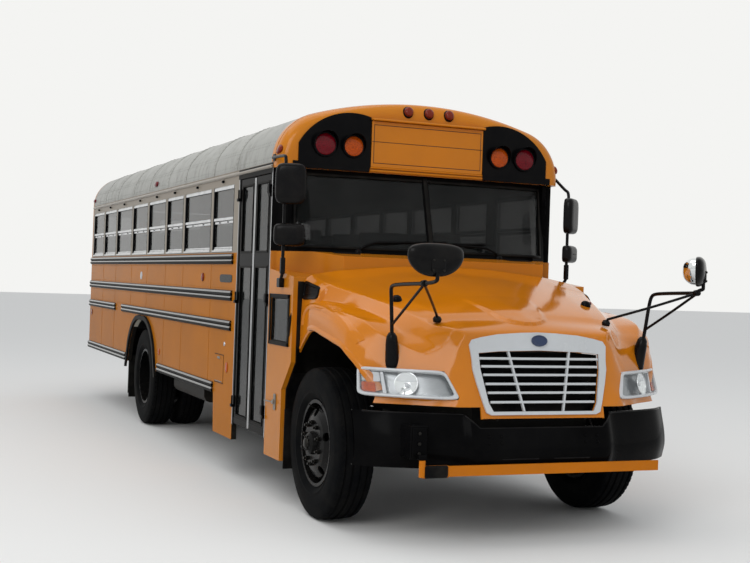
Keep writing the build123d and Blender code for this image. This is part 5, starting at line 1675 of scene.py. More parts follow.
@dataclass
class Windows(Trim):
    """Sash frames, drip rail, lugs and rivets on both sides.

    Rows of ``rails`` are (inset at both ends, depth of the outer and inner face, foot, head); those of
    ``uprights`` are (near and far distance from the opening's edge, both depths, foot, head).
    """

    driver_window: tuple[float, float] = (-1.830, -1.010)
    rails: tuple[tuple[float, ...], ...] = (
        (0.006, 0.001, 0.012, 2.404, 2.430), (0.012, 0.002, 0.016, 2.139, 2.163),
        (0.020, 0.008, 0.020, 2.112, 2.134), (0.020, 0.009, 0.020, 1.898, 1.912),
        (0.004, -0.006, 0.016, 1.868, 1.884),
    )
    uprights: tuple[tuple[float, ...], ...] = (
        (0.002, 0.018, 0.0, 0.010, 1.884, 2.432), (0.020, 0.030, 0.004, 0.018, 1.890, 2.410),
    )
    gutter: tuple[tuple[float, float], ...] = (
        (0.0, 2.500), (0.006, 2.500), (0.014, 2.506), (0.017, 2.516), (0.0145, 2.522), (0.010, 2.517),
        (0.005, 2.526), (0.0, 2.532),
    )

    def sashes(self, side: Side) -> None:
        """Bright rails on the dark frames: head, meeting rail, lower rail and sill, with finger pulls.

        Args:
            side: side of the bus.
        """
        s = side.value
        rails, uprights, pulls = [], [], []
        for x0, x1 in bays() + ([self.driver_window] if side is Side.LEFT else []):
            for inset, a, b, foot, head in self.rails:
                rails.append((x0 + inset, x1 - inset, s * (HALF_WIDTH - a), s * (HALF_WIDTH - b), foot, head))
            for edge, inward in ((x0, 1), (x1, -1)):
                for near, far, a, b, foot, head in self.uprights:
                    span_x = edge + inward * near, edge + inward * far
                    uprights.append((*span_x, s * (HALF_WIDTH - a), s * (HALF_WIDTH - b), foot, head))
            for place in (0.3, 0.7):
                x = x0 + (x1 - x0) * place
                pulls.append((x - 0.022, x + 0.022, s * (HALF_WIDTH - 0.004), s * (HALF_WIDTH - 0.014), 2.118,
                              2.128))
        self.blocks(f"sash_rails_{side.label}", rails, 0.002, Finish.ALUMINIUM)
        self.blocks(f"sash_uprights_{side.label}", uprights, 0.002, Finish.BLACK)
        self.blocks(f"sash_pulls_{side.label}", pulls, 0.002, Finish.BLACK)

    def drip_rail(self, side: Side) -> None:
        """A rolled gutter over the window band: a hooked profile carried along X, and lugs below it.

        Args:
            side: side of the bus.
        """
        s, n = side.value, side.label
        profile = np.array(self.gutter) * (s, 1) + (s * HALF_WIDTH, 0)
        rows = [np.insert(profile, 0, x, axis=1) for x in np.linspace(-8.80, -0.955, 3)]
        self.loft(f"drip_rail_{n}", rows, Finish.PILLAR, smooth=False)
        y = s * HALF_WIDTH
        lugs = [(x - 0.016, x + 0.016, y, s * (HALF_WIDTH + 0.022), 2.462, 2.486)
                for x in (sum(b) / 2 for b in bays())]
        self.blocks(f"drip_lugs_{n}", lugs, 0.006, Finish.BLACK)

    def rivets(self, side: Side) -> None:
        """Rivets up the pillars and in rows along the body panels, and the panels' laps.

        Args:
            side: side of the bus.
        """
        s, n = side.value, side.label
        y = s * HALF_WIDTH
        inner = pillars()[1:-1]
        heights = np.arange(1.90, 2.43, 0.048)
        pillar = [(e + d, y, z) for e in inner for d in (-0.022, 0.022) for z in heights]
        self.studs(f"pillar_rivets_{n}", pillar, (0, s, 0), 0.0045, 0.0024, Finish.PILLAR, 6)
        x = np.arange(-8.84, -1.90 if side is Side.RIGHT else -0.98, 0.052)
        rows = [(px, y, z) for z in (1.746, 1.558, 1.436, 1.300) for px in x]
        rows += [(e + d, y, z) for e in inner for d in (-0.014, 0.014) for z in np.arange(0.76, 1.19, 0.05)
                 if abs(e + WHEELBASE) > 0.82]
        self.studs(f"panel_rivets_{n}", rows, (0, s, 0), 0.0045, 0.0022, Finish.SIDE, 6)
        laps = [(e - 0.030, e + 0.030, y, y + s * 0.0018, z0, z1)
                for e in inner for z0, z1 in ((1.541, 1.759), (1.294, 1.450), (0.733, 1.196))
                if abs(e + WHEELBASE) > 0.85 or z0 > 1.2]
        self.blocks(f"panel_laps_{n}", laps, 0.0006, Finish.SIDE)

    def build(self) -> None:
        """Make both sides."""
        for side in Side:
            self.sashes(side)
            self.drip_rail(side)
            self.rivets(side)


@dataclass
class Roof(Trim):
    """Roof seams: raised bows at the window pillars, with rows of rivets beside them."""

    proud: float = 0.0035
    cap_seam: float = -0.955

    def bows(self) -> None:
        """Lap strips over the roof: a thin band that follows the section."""
        share = np.linspace(-1, 1, 61)
        outer, _ = roof_line(share, -self.proud)
        inner, _ = roof_line(share, 0.0005)
        for number, x in enumerate([*pillars()[:-1], self.cap_seam]):
            steps = ((inner, -0.033), (outer, -0.032), (outer, 0.032), (inner, 0.033))
            rows = np.stack([np.insert(line, 0, x + AXLE + d, axis=1) for line, d in steps])
            finish = Finish.CAP if x == self.cap_seam else Finish.ROOF
            crease(surface(f"roof_bow_{number}", rows, self.body, finish, close_rows=True), 40)

    def rivets(self) -> None:
        """Rivets along each bow, and long rows above the drip rail."""
        points, normals = roof_line(np.linspace(-0.985, 0.985, 74), -self.proud)
        places = [np.insert(points, 0, x + d, axis=1) for x in pillars()[:-1] for d in (-0.020, 0.020)]
        directions = [np.insert(normals, 0, 0.0, axis=1)] * len(places)
        run = np.arange(-8.80, -0.98, 0.055)
        for share in (-0.992, -0.974, -0.90, -0.882, 0.882, 0.90, 0.974, 0.992):
            p, n = roof_line(np.full(len(run), share))
            places.append(np.insert(p, 0, run, axis=1))
            directions.append(np.insert(n, 0, 0.0, axis=1))
        self.studs("roof_rivets", np.concatenate(places), np.concatenate(directions), 0.0048, 0.0026,
                   Finish.ROOF, 6)

    def build(self) -> None:
        """Make the seams and rivets."""
        self.bows()
        self.rivets()


@dataclass
class FrontLamps(Trim):
    """Warning, tail and clearance lamps, with visors, markers and reflectors.

    Rows of ``lamps`` are (group, distance ahead, direction of X, Y, height, radius, finish); of ``ovals``
    are (name, distance ahead, Y, height, half length, Y and Z of its upper half axis, X and Z of the way that
    it faces, height of its dome, finish).
    """

    lamps: tuple[tuple[object, ...], ...] = (
        ("front", CAP_FACE, 1, 0.865, 2.691, 0.088, Finish.RED),
        ("front", CAP_FACE, 1, 0.633, 2.691, 0.082, Finish.AMBER),
        ("rear", REAR_FACE, -1, 1.0, 2.64, 0.088, Finish.RED),
        ("rear", REAR_FACE, -1, 0.77, 2.69, 0.082, Finish.AMBER),
        ("tail", REAR_FACE, -1, 0.96, 1.50, 0.088, Finish.RED),
        ("tail", REAR_FACE, -1, 0.73, 1.50, 0.060, Finish.CLEAR),
        ("tail", REAR_FACE, -1, 0.96, 1.27, 0.060, Finish.AMBER),
    )
    ovals: tuple[tuple[object, ...], ...] = (
        ("cap_marker", -0.883, 1.186, 2.630, 0.050, -0.012, 0.038, 0.3, 0.3, 0.028, Finish.MARKER),
        ("roof_marker", -5.014, 1.210, 2.616, 0.070, -0.005, 0.030, 0, 0.15, 0.024, Finish.RED),
        ("rear_roof_marker", -8.78, 1.212, 2.613, 0.055, -0.004, 0.024, 0, 0.15, 0.022, Finish.RED),
        ("side_reflector", -2.054, HALF_WIDTH, 0.887, 0.036, 0, 0.045, 0, 0, 0.008, Finish.AMBER),
        ("rear_reflector", -8.72, HALF_WIDTH, 1.12, 0.040, 0, 0.040, 0, 0, 0.008, Finish.RED),
        ("arch_reflector", -4.62, HALF_WIDTH, 0.85, 0.030, 0, 0.034, 0, 0, 0.008, Finish.AMBER),
        ("turn_lamp", -2.935, HALF_WIDTH, 1.644, 0.038, 0, 0.038, 0, 0, 0.014, Finish.MARKER),
    )

    def lamp(self, name: str, x: float, out: float, y: float, z: float, radius: float,
             finish: Finish) -> None:
        """A domed lens in a black ring under a half visor.

        The lens bulges as a shallow parabola; the visor is the upper part of a cylinder, longer above.

        Args:
            name: piece name.
            x: distance ahead of its plane.
            out: direction that it faces along X, 1 or -1.
            y: Y of its centre.
            z: height of its centre.
            radius: radius of the lens.
            finish: finish of the lens.
        """
        r = np.linspace(0.0004, radius - 0.006, 12)
        lens = np.concatenate([np.stack([0.030 - 0.016 * (r / radius) ** 2, r], axis=1),
                               [(0.0, radius - 0.005)]])
        self.lathe(f"lens_{name}", lens[::-1], (x, y, z), (out, 0, 0), finish, 40)
        ring = np.array([(0.0, 0.010), (0.014, 0.009), (0.018, 0.002), (0.014, -0.007), (0.0, -0.008)])
        self.lathe(f"lamp_ring_{name}", ring + (0, radius), (x, y, z), (out, 0, 0), Finish.BOARD, 40, True)
        turn = np.radians(np.linspace(-112, 112, 41))
        depth = 0.018 + 0.066 * np.clip(np.cos(turn * 0.78), 0, 1) ** 1.5
        rows = []
        for grow, reach in ((0.012, 0.0), (0.013, 1.0), (0.010, 1.0), (0.009, 0.0)):
            wide = radius + grow
            row = [x + out * depth * reach, y + wide * np.sin(turn), z + wide * np.cos(turn)]
            rows.append(np.stack(row, axis=1))
        self.loft(f"lamp_visor_{name}", np.stack(rows, axis=1), Finish.BOARD, 40)

    def oval(
        self, name: str, centre: Sequence[float], u: Sequence[float], v: Sequence[float],
        out: Sequence[float], depth: float, finish: Finish,
    ) -> None:
        """A domed oval: rings that shrink towards the top along two half axes.

        Args:
            name: piece name.
            centre: centre of its foot.
            u: one half axis.
            v: the other half axis.
            out: direction that it stands towards.
            depth: how far it stands out.
            finish: its finish.
        """
        turn = around(28)
        c, uu, vv, n = (np.asarray(a, float) for a in (centre, u, v, out))
        ring = np.cos(turn)[:, None] * uu + np.sin(turn)[:, None] * vv
        rings = ((1.0, 0.0), (1.0, 0.4), (0.9, 0.75), (0.6, 0.95), (0.02, 1.0))
        self.loft(name, [c + k * ring + depth * h * n for k, h in rings], finish)

    def build(self) -> None:
        """Make front and rear lamps, clearance lamps, markers, reflectors and the round vents."""
        for side in Side:
            for group, x, out, y, z, radius, finish in self.lamps:
                name = f"{group}_{finish.name.lower()}_{side.label}"
                self.lamp(name, x, out, side.value * y, z, radius, finish)
        lean = (0.95, 0, 0.3)
        for number, y in enumerate((-0.177, 0.0, 0.177)):
            self.oval(f"clearance_base_{number}", (-0.812, y, 2.990), (0, 0.044, 0), (-0.014, 0, 0.046), lean,
                      0.022, Finish.BOARD)
            self.oval(f"clearance_lens_{number}", (-0.802, y, 2.992), (0, 0.037, 0), (-0.011, 0, 0.038), lean,
                      0.034, Finish.MARKER)
            self.oval(f"rear_clearance_{number}", (REAR_FACE, y, 2.905), (0, 0.048, 0), (0, 0, 0.020),
                      (-1, 0, 0), 0.022, Finish.RED)
        vent = ((0.0, 0.044), (0.005, 0.043), (0.008, 0.037), (0.005, 0.031), (0.003, 0.0004))
        for side in Side:
            s, n = side.value, side.label
            for name, x, y, z, long, vy, vz, ox, oz, depth, finish in self.ovals:
                self.oval(f"{name}_{n}", (x, s * y, z), (long, 0, 0), (0, s * vy, vz), (ox, s, oz), depth,
                          finish)
            self.lathe(f"round_vent_{n}", vent, (-5.616, s * HALF_WIDTH, 1.635), (0, s, 0), Finish.SILVER, 36)
        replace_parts(bpy.data.objects["lens_front_red_right"], "warning_lamps")


@dataclass
class SignPanel(Trim):
    """The blank panel between the lamp boards: a yellow face with a thin border under a shade lip."""

    face: float = CAP_FACE

    def build(self) -> None:
        """Make the panel's face, its lines, the shade lip, two beads at its foot and the black strips."""
        x = self.face
        border = [(x + 0.004, x + 0.0058, *bar) for bar in four_bars(-0.466, 0.466, 2.572, 2.874, 0.0, 0.006)]
        self.blocks("sign_face", [(x + 0.0005, x + 0.005, -0.483, 0.483, 2.545, 2.900)], 0.002, Finish.CAP)
        self.blocks("sign_lines", [*border, (x + 0.004, x + 0.0065, -0.478, 0.478, 2.738, 2.743)], 0.0006,
                    Finish.LINE)
        self.blocks("sign_lip", [(x + 0.0005, x + 0.045, -0.488, 0.488, 2.902, 2.918)], 0.004, Finish.CAP)
        beads = [(x - 0.004, x + 0.016, -0.488, 0.488, 2.506, 2.522),
                 (x - 0.004, x + 0.012, -0.488, 0.488, 2.530, 2.544)]
        self.blocks("sign_beads", beads, 0.006, Finish.CAP)
        strips = [(x - 0.007, x - 0.001, s * 0.490, s * 1.118, 2.500, 2.552) for s in (-1, 1)]
        self.blocks("board_strips", strips, 0.002, Finish.BOARD)


@dataclass
class Wipers(Trim):
    """Two wiper arms with blades at the windshield's foot."""

    def build(self) -> None:
        """Make each arm as a bent rod, and each blade as a thin bar along its end."""
        x, z = -0.690, 1.878
        cap = ((-0.01, 0.034), (0.02, 0.032), (0.032, 0.022), (0.036, 0.0004))
        for number, (pivot_y, tip_y) in enumerate(((-0.606, -0.10), (0.606, 0.14))):
            inward = math.copysign(1.0, tip_y - pivot_y)
            path = np.array([(x, pivot_y, z), (x + 0.020, pivot_y + 0.04 * inward, z + 0.040),
                             (x + 0.012, pivot_y + 0.16 * inward, z + 0.078), (x - 0.006, tip_y, z + 0.088)])
            self.tube(f"wiper_arm_{number}", path, 0.009, Finish.BOARD, 10, 24)
            middle = path[-1] + (0.008, -0.05 * inward, 0.004)
            blade = [middle + np.array([0.0, 0.29, 0.012]) * k for k in (-1, 0, 1)]
            self.tube(f"wiper_blade_{number}", blade, 0.009, Finish.BOARD, 8, 14)
            self.lathe(f"wiper_pivot_{number}", cap, (x, pivot_y, z - 0.010), (0.2, 0, 1), Finish.BOARD, 20)


@dataclass
class HoodTrim(Trim):
    """Side vents, rolled lips, markers and rubber latches of the hood."""

    body: str = "hood"
    hood: Hood = field(default_factory=Hood)
    lip: tuple[tuple[float, float], ...] = (
        (0.002, -0.008), (-0.001, 0.004), (0.006, 0.010), (0.020, 0.009), (0.034, 0.000), (0.034, -0.008),
    )
    step: tuple[tuple[float, float], ...] = (
        (-0.030, -0.006), (-0.028, 0.001), (-0.012, 0.009), (0.006, 0.008), (0.018, 0.000), (0.020, -0.006),
    )
    step_line: tuple[tuple[float, float], ...] = (
        (-0.345, 1.330), (-0.325, 1.400), (-0.270, 1.452), (-0.150, 1.474), (0.0, 1.476), (0.149, 1.464),
        (0.391, 1.418), (0.557, 1.350), (0.66, 1.268),
    )

    def vent(self, side: Side) -> None:
        """The side vent: a thick dark frame round sloping louvres.

        Args:
            side: side of the bus.
        """
        n, board = side.label, (self.body, Finish.BOARD)

        def face(u: Array, v: Array, out: float) -> Array:
            """A place between the vent's corners, u forwards and v upwards, on the skin's section.

            Args:
                u: places along the face, 0 to 1.
                v: places across it, 0 to 1.
                out: distance out from the face.

            Returns:
                The points.
            """
            u, v = np.broadcast_arrays(np.asarray(u, float), np.asarray(v, float))
            ahead = -0.362 + u * (0.255 - 0.041 * v)
            foot, head = 1.506 + 0.013 * u, 1.648 - 0.042 * u
            height = foot + (head - foot) * v
            across = self.hood.side(ahead, height) + out
            return np.stack([AXLE + ahead, side.value * across, height + out * 0.35], axis=-1)

        section = ((0, 0, -0.006), (0, 0, 0.006), (0.02, 0.035, 0.010), (0.085, 0.16, 0.010),
                   (0.10, 0.19, 0.004), (0.10, 0.19, -0.006))
        rim(f"vent_frame_{n}", face, section, *board, 0.28)
        panel(f"vent_mesh_{n}", face, (0.08, 0.15), 0.002, 0.006, *board, 0.3)
        u = np.linspace(0.10, 0.90, 10)
        for number, v in enumerate(np.linspace(0.24, 0.78, 6)):
            lines = [face(u, np.full(10, v + d), out)
                     for d, out in ((0, 0.0015), (0, 0.0065), (-0.05, 0.0065), (-0.06, 0.0015))]
            loft(f"vent_slat_{n}_{number}", np.stack(lines, axis=1), *board, smooth=False)

    def bead(self, name: str, side: Side, line: Array, section: Sequence[tuple[float, float]]) -> None:
        """A rolled lip that follows a line on the hood's side.

        Args:
            name: piece name.
            side: side of the bus.
            line: (ahead, height) points.
            section: (distance away from the opening, distance out) of the lip's profile.
        """
        step = unit(np.gradient(line, axis=0))
        away = np.stack([-step[:, 1], step[:, 0]], axis=1)
        rows = []
        for offset, out in section:
            place = line + away * offset
            across = self.hood.side(place[:, 0], np.maximum(place[:, 1], 0.9)) + out
            rows.append(np.stack([place[:, 0], side.value * across, place[:, 1]], axis=1))
        self.loft(name, np.stack(rows, axis=1), Finish.HOOD, 50)

    def arch_lips(self, side: Side) -> None:
        """Two rolled lips round the wheel opening: one at its edge, a lower one where the flare steps out.

        Args:
            side: side of the bus.
        """
        arch = self.hood.arch()
        edge = arch[arch[:, 1] > 0.93]
        run = along(edge)
        edge = pchip(run, edge, np.linspace(0.20, run[-1], 70))
        self.bead(f"arch_lip_{side.label}", side, edge[edge[:, 0] > -0.36], self.lip)
        outer = np.array(self.step_line)
        run = along(outer)
        self.bead(f"flare_step_{side.label}", side, pchip(run, outer, np.linspace(0, run[-1], 60)), self.step)

    def marker(self, side: Side) -> None:
        """A small dark lamp on the hood's shoulder with a red lens at its outer end.

        Args:
            side: side of the bus.
        """
        s, n = side.value, side.label
        x, y = 0.396, 0.746
        z = self.hood.height(x, y)
        dome = ((-0.02, 0.036), (0.008, 0.037), (0.024, 0.031), (0.034, 0.018), (0.037, 0.0004))
        self.lathe(f"hood_marker_{n}", dome, (x, s * y, z), (0.25, s * 0.25, 1.0), Finish.BOARD, 32)
        lens = ((-0.005, 0.014), (0.008, 0.013), (0.012, 0.008), (0.013, 0.0004))
        self.lathe(f"hood_marker_lens_{n}", lens, (x, s * (y + 0.034), z + 0.016), (0, s, 0.3), Finish.RED,
                   20)

    def latch(self, side: Side) -> None:
        """A rubber draw latch: a strap with a pull at its top, over a keeper on the cowl's side.

        Args:
            side: side of the bus.
        """
        s, n = side.value, side.label
        x, y = -0.43, s * 1.205
        cowl = Trim("coach")
        strap = [(x + 0.02, y, 1.41), (x + 0.015, y + s * 0.014, 1.36), (x, y + s * 0.016, 1.30),
                 (x - 0.01, y + s * 0.010, 1.25)]
        cowl.tube(f"latch_strap_{n}", strap, 0.014, Finish.FLARE, 12, 16)
        plates = [(x - 0.03, x + 0.01, y, y + s * 0.012, 1.225, 1.265),
                  (x + 0.002, x + 0.040, y, y + s * 0.012, 1.385, 1.425)]
        cowl.blocks(f"latch_plates_{n}", plates, 0.004, Finish.BOARD)

    def build(self) -> None:
        """Make both sides' vents, lips, markers and latches."""
        for side in Side:
            self.vent(side)
            self.arch_lips(side)
            self.marker(side)
            self.latch(side)


@dataclass
class Grille(Trim):
    """The grille's louvres on a sloping plane, the plate and liner behind them, and the bare oval above."""

    body: str = "hood"
    slope: float = 0.243

    def plane(self, across: Array | float, height: Array | float, out: float = 0.0) -> Array:
        """Points on the grille's plane, moved out along its normal."""
        across, height = np.broadcast_arrays(np.asarray(across, float), np.asarray(height, float))
        normal = np.array([1.0, 0.0, self.slope]) / math.hypot(1.0, self.slope)
        return np.stack([1.000 + (1.350 - height) * self.slope, across, height], axis=-1) + out * normal

    def build(self) -> None:
        """Make the louvres, the plate and liner in the shape of the opening, and the oval."""
        rows = []
        for z in np.arange(0.905, 1.26, 0.0165):
            half = float(np.interp(z, [0.885, 0.95, 1.15, 1.27], [0.335, 0.375, 0.385, 0.27]))
            x = 1.000 + (1.350 - z) * self.slope - 0.052
            rows.append((x, x + 0.016, -half, half, z, z + 0.005))
        self.blocks("grille_louvres", rows, 0.001, Finish.BOARD)
        half = np.array(Hood.grille_hole[1:])
        middle = np.array([0.0, 1.045])
        reach = np.vstack([half, half[::-1] * (-1, 1)]) - middle
        plate = [self.plane(*(middle + reach * 1.03).T, out) for out in (-0.082, -0.078)]
        self.loft("grille_back", plate, Finish.FLARE, smooth=False)
        rings = ((0.997, -0.078), (0.997, -0.012), (0.990, -0.012), (0.990, -0.078))
        liner = np.stack([self.plane(*(middle + reach * k).T, out) for k, out in rings]) + (AXLE, 0, 0)
        surface("grille_liner", liner, self.body, Finish.FLARE, close_rows=True, close_columns=True,
                smooth=False)
        turn = around(48)
        normal, up = (np.array(v) / math.hypot(1.0, self.slope)
                      for v in ((1.0, 0.0, self.slope), (-self.slope, 0.0, 1.0)))
        oval = np.cos(turn)[:, None] * (0, 0.060, 0) + np.sin(turn)[:, None] * up * 0.037
        rings = ((1.0, -0.012), (1.0, 0.006), (0.95, 0.011), (0.86, 0.010), (0.82, 0.006), (0.5, 0.0085),
                 (0.02, 0.0095))
        self.loft("emblem_oval", [self.plane(0.0, 1.303, 0.018) + k * oval + h * normal for k, h in rings],
                  Finish.EMBLEM)


@dataclass
class Headlamps(Trim):
    """Rectangular lamp units: silver bezel, clear cover, round reflector, turn lens and divider.

    The bezel's corners lie on the hood's front corner, inner at the front and outer swept back. Rows of
    ``cells`` are (name, low and high u, low and high v, distance out, wall, finish, sharpness): u runs from
    the inner edge of the lamp's face to the outer one and v from the top down.
    """

    body: str = "hood"
    corners: tuple[tuple[float, float, float], ...] = (
        (0.995, 0.656, 1.105), (0.670, 1.128, 1.110), (0.730, 1.145, 0.933), (1.094, 0.586, 0.929),
    )
    cells: tuple[tuple[object, ...], ...] = (
        ("turn", 0.80, 0.955, 0.52, 0.86, -0.004, 0.016, Finish.AMBER, 0.25),
        ("park", 0.74, 0.955, 0.14, 0.48, -0.012, 0.010, Finish.SILVER, 0.25),
        ("divider", 0.695, 0.730, 0.13, 0.88, -0.002, 0.030, Finish.SILVER, 0.2),
    )

    def face(self, side: Side, u: Array | float, v: Array | float, out: float = 0.0) -> Array:
        """A point of the lamp's face: a blend of its corners, bulged forwards as a parabola in u.

        Args:
            side: side of the bus.
            u: places from the inner edge to the outer one, 0 to 1.
            v: places from the top down, 0 to 1.
            out: distance out from the face.

        Returns:
            The points.
        """
        u, v = (w[..., None] for w in np.broadcast_arrays(np.asarray(u, float), np.asarray(v, float)))
        corner = np.array(self.corners)
        top = corner[0] * (1 - u) + corner[1] * u
        foot = corner[3] * (1 - u) + corner[2] * u
        bulge = 0.050 * (1 - (2 * u - 1) ** 2) * np.array([0.80, 0.60, 0.0])
        normal = unit(np.cross(corner[1] - corner[0], corner[3] - corner[0]))
        normal = normal * np.sign(normal[0])
        points = top * (1 - v) + foot * v + bulge + out * normal + (AXLE, 0.0, 0.0)
        return points * (1.0, side.value, 1.0)

    def build(self) -> None:
        """Make both lamps: bezel, housing, cover, lenses, reflector bowl and bulb shade."""
        bezel = ((0, 0, -0.020), (0, 0, 0.010), (0.008, 0.025, 0.016), (0.024, 0.075, 0.016),
                 (0.034, 0.11, 0.006), (0.036, 0.115, -0.020))
        bowl = ((0.004, 0.073), (0.004, 0.077), (-0.002, 0.077), (-0.006, 0.069), (-0.020, 0.050),
                (-0.030, 0.026), (-0.033, 0.0004))
        shade = ((-0.036, 0.013), (-0.014, 0.013), (-0.010, 0.010), (-0.008, 0.0004))
        for side in Side:
            n, whole = side.label, partial(self.face, side)
            rim(f"lamp_bezel_{n}", whole, bezel, self.body, Finish.SILVER, 0.2)
            panel(f"lamp_back_{n}", whole, (0.036, 0.10), -0.050, 0.004, self.body, Finish.REFLECTOR, 0.2)
            panel(f"lamp_cover_{n}", whole, (0.034, 0.10), 0.003, 0.004, self.body, Finish.COVER, 0.2)
            for name, u0, u1, v0, v1, out, wall, finish, sharpness in self.cells:

                def cell(u: Array, v: Array, level: float) -> Array:
                    """The part of the lamp's face between two u and two v."""
                    return whole(u0 + u * (u1 - u0), v0 + v * (v1 - v0), level)

                panel(f"lamp_{name}_{n}", cell, (0, 0), out, wall, self.body, finish, sharpness)
            centre = whole(0.47, 0.50, -0.010)
            toward = whole(0.47, 0.50, 0.02) - centre
            lathe(f"lamp_bowl_{n}", bowl, centre, toward, self.body, Finish.MIRROR_GLASS, 40)
            lathe(f"lamp_bulb_{n}", shade, centre, toward, self.body, Finish.ALUMINIUM, 24)
        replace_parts(bpy.data.objects["lamp_bezel_right"], "headlamps")


@dataclass
class FenderMirrors(Trim):
    """Domed cross-view mirrors on tube brackets at the front of the hood.

    Stations of ``shell`` and ``glass`` are (place along the mirror's axis, half width, half height).
    """

    body: str = "hood"
    shell: tuple[tuple[float, ...], ...] = (
        (-0.012, 0.168, 0.100), (-0.012, 0.176, 0.106), (0.0, 0.180, 0.110), (0.012, 0.178, 0.108),
        (0.028, 0.160, 0.096), (0.042, 0.118, 0.068), (0.052, 0.006, 0.004),
    )
    glass: tuple[tuple[float, ...], ...] = (
        (-0.006, 0.168, 0.101), (-0.036, 0.164, 0.098), (-0.066, 0.138, 0.083), (-0.092, 0.090, 0.054),
        (-0.106, 0.004, 0.003),
    )

    def dome(self, name: str, stations: Sequence[Sequence[float]], count: int, frame: Array,
             finish: Finish) -> Object:
        """Rings of a squashed oval with a flattened crown, carried smoothly through the stations.

        Args:
            name: piece name.
            stations: the stations.
            count: rings.
            frame: the rim's centre, the axis, the sideways direction and up.
            finish: its finish.

        Returns:
            The piece.
        """
        centre, axis, out, up = frame
        turn, table = around(64), np.array(stations)
        rows = pchip(np.linspace(0, 1, len(table)), table, np.linspace(0, 1, count))
        wide = np.sign(np.cos(turn)) * np.abs(np.cos(turn)) ** 0.86
        high = np.where(np.sin(turn) > 0, 0.80 * np.sin(turn).clip(0) ** 0.62,
                        -1.0 * np.abs(np.sin(turn)) ** 1.1)
        high = high + 0.10 * np.cos(turn) ** 2
        return self.loft(name, [centre + place * axis + half * wide[:, None] * out + tall * high[:, None] * up
                                for place, half, tall in rows], finish)

    def mount(self, side: Side, frame: Array) -> None:
        """Tubes, clamp and base pads, and the plate with four screws on the mirror's back.

        Args:
            side: side of the bus.
            frame: the rim's centre, the axis, the sideways direction and up.
        """
        s, n = side.value, side.label
        centre, axis, out, up = frame
        x, y, _ = centre + axis * 0.034
        tubes = (
            ("post", ((0.822, 0.958, 1.330), (0.828, 0.963, 1.385), (0.850, 0.985, 1.600),
                      (0.868, 0.990, 1.628), (0.930, 0.991, 1.640), (1.357, 0.991, 1.655)), 0.0125),
            ("brace", ((0.828, 0.962, 1.385), (1.10, 0.978, 1.520), (1.345, 0.990, 1.645)), 0.009),
            ("strut", ((1.345, 0.985, 1.650), (1.10, 0.820, 1.550), (0.832, 0.650, 1.452)), 0.009),
            ("stem", ((1.357, 0.991, 1.655), (x - axis[0] * 0.03, s * (y - axis[1] * 0.03), 1.668),
                      (x, s * y, 1.684), (x, s * y, 1.734)), 0.012),
        )
        for label, path, radius in tubes:
            self.tube(f"mirror_{label}_{n}", np.array(path) * (1, s, 1), radius, Finish.MIRROR, 14, 40)
        for label, profile, place, tilt, count in (
            ("clamp", ((-0.022, 0.0004), (-0.022, 0.017), (-0.017, 0.021), (0.017, 0.021), (0.022, 0.017),
                       (0.022, 0.0004)), (1.352, s * 0.991, 1.655), (1, 0, 0.1), 24),
            ("base", ((0.0, 0.0004), (0.0, 0.046), (0.012, 0.047), (0.16, 0.040), (0.20, 0.034),
                      (0.222, 0.020), (0.228, 0.0004)), (0.786, s * 0.932, 1.115), (0.137, s * 0.113, 1.0),
                      28),
            ("pad", ((-0.03, 0.0004), (-0.026, 0.026), (-0.006, 0.030), (0.010, 0.020), (0.016, 0.0004)),
             (0.827, s * 0.643, 1.435), (0.18, s * 0.02, 1.0), 28),
        ):
            self.lathe(f"mirror_{label}_{n}", profile, place, tilt, Finish.MIRROR, count)
        middle = centre + axis * 0.046 - up * 0.042
        ring = rounded_square(0.35, 40) * (0.046, 0.042)
        rings = [middle + axis * depth + (ring[:, :1] * out + ring[:, 1:] * up) * grow
                 for depth, grow in ((-0.012, 1.0), (0.004, 1.0), (0.007, 0.88), (0.007, 0.3))]
        self.loft(f"mirror_plate_{n}", rings, Finish.MIRROR, 40)
        screw = ((0.0, 0.0075), (0.003, 0.0075), (0.0055, 0.005), (0.006, 0.0004))
        for number, (a, b) in enumerate(((-1, -1), (-1, 1), (1, -1), (1, 1))):
            place = middle + axis * 0.006 + out * 0.033 * a + up * 0.029 * b
            self.lathe(f"mirror_screw_{n}_{number}", screw, place, axis, Finish.OXIDE, 12)

    def build(self) -> None:
        """Make both mirrors; each one's axis points away from its glass."""
        for side, ahead, across, degrees in ((Side.RIGHT, 1.478, -0.980, 0.0), (Side.LEFT, 1.370, 0.985, 50)):
            c, sn, n = math.cos(math.radians(degrees)), math.sin(math.radians(degrees)), side.label
            frame = np.array([(ahead, across, 1.806), (c, sn, 0), (-sn, c, 0), (0, 0, 1)])
            made = crease(self.dome(f"cross_mirror_{n}", self.shell, 28, frame, Finish.MIRROR), 50)
            if side is Side.RIGHT:
                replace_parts(made, "fender_mirrors")
            self.dome(f"cross_mirror_glass_{n}", self.glass, 22, frame, Finish.MIRROR_GLASS)
            self.mount(side, frame)


Pad = tuple[Array, list[list[int]]]


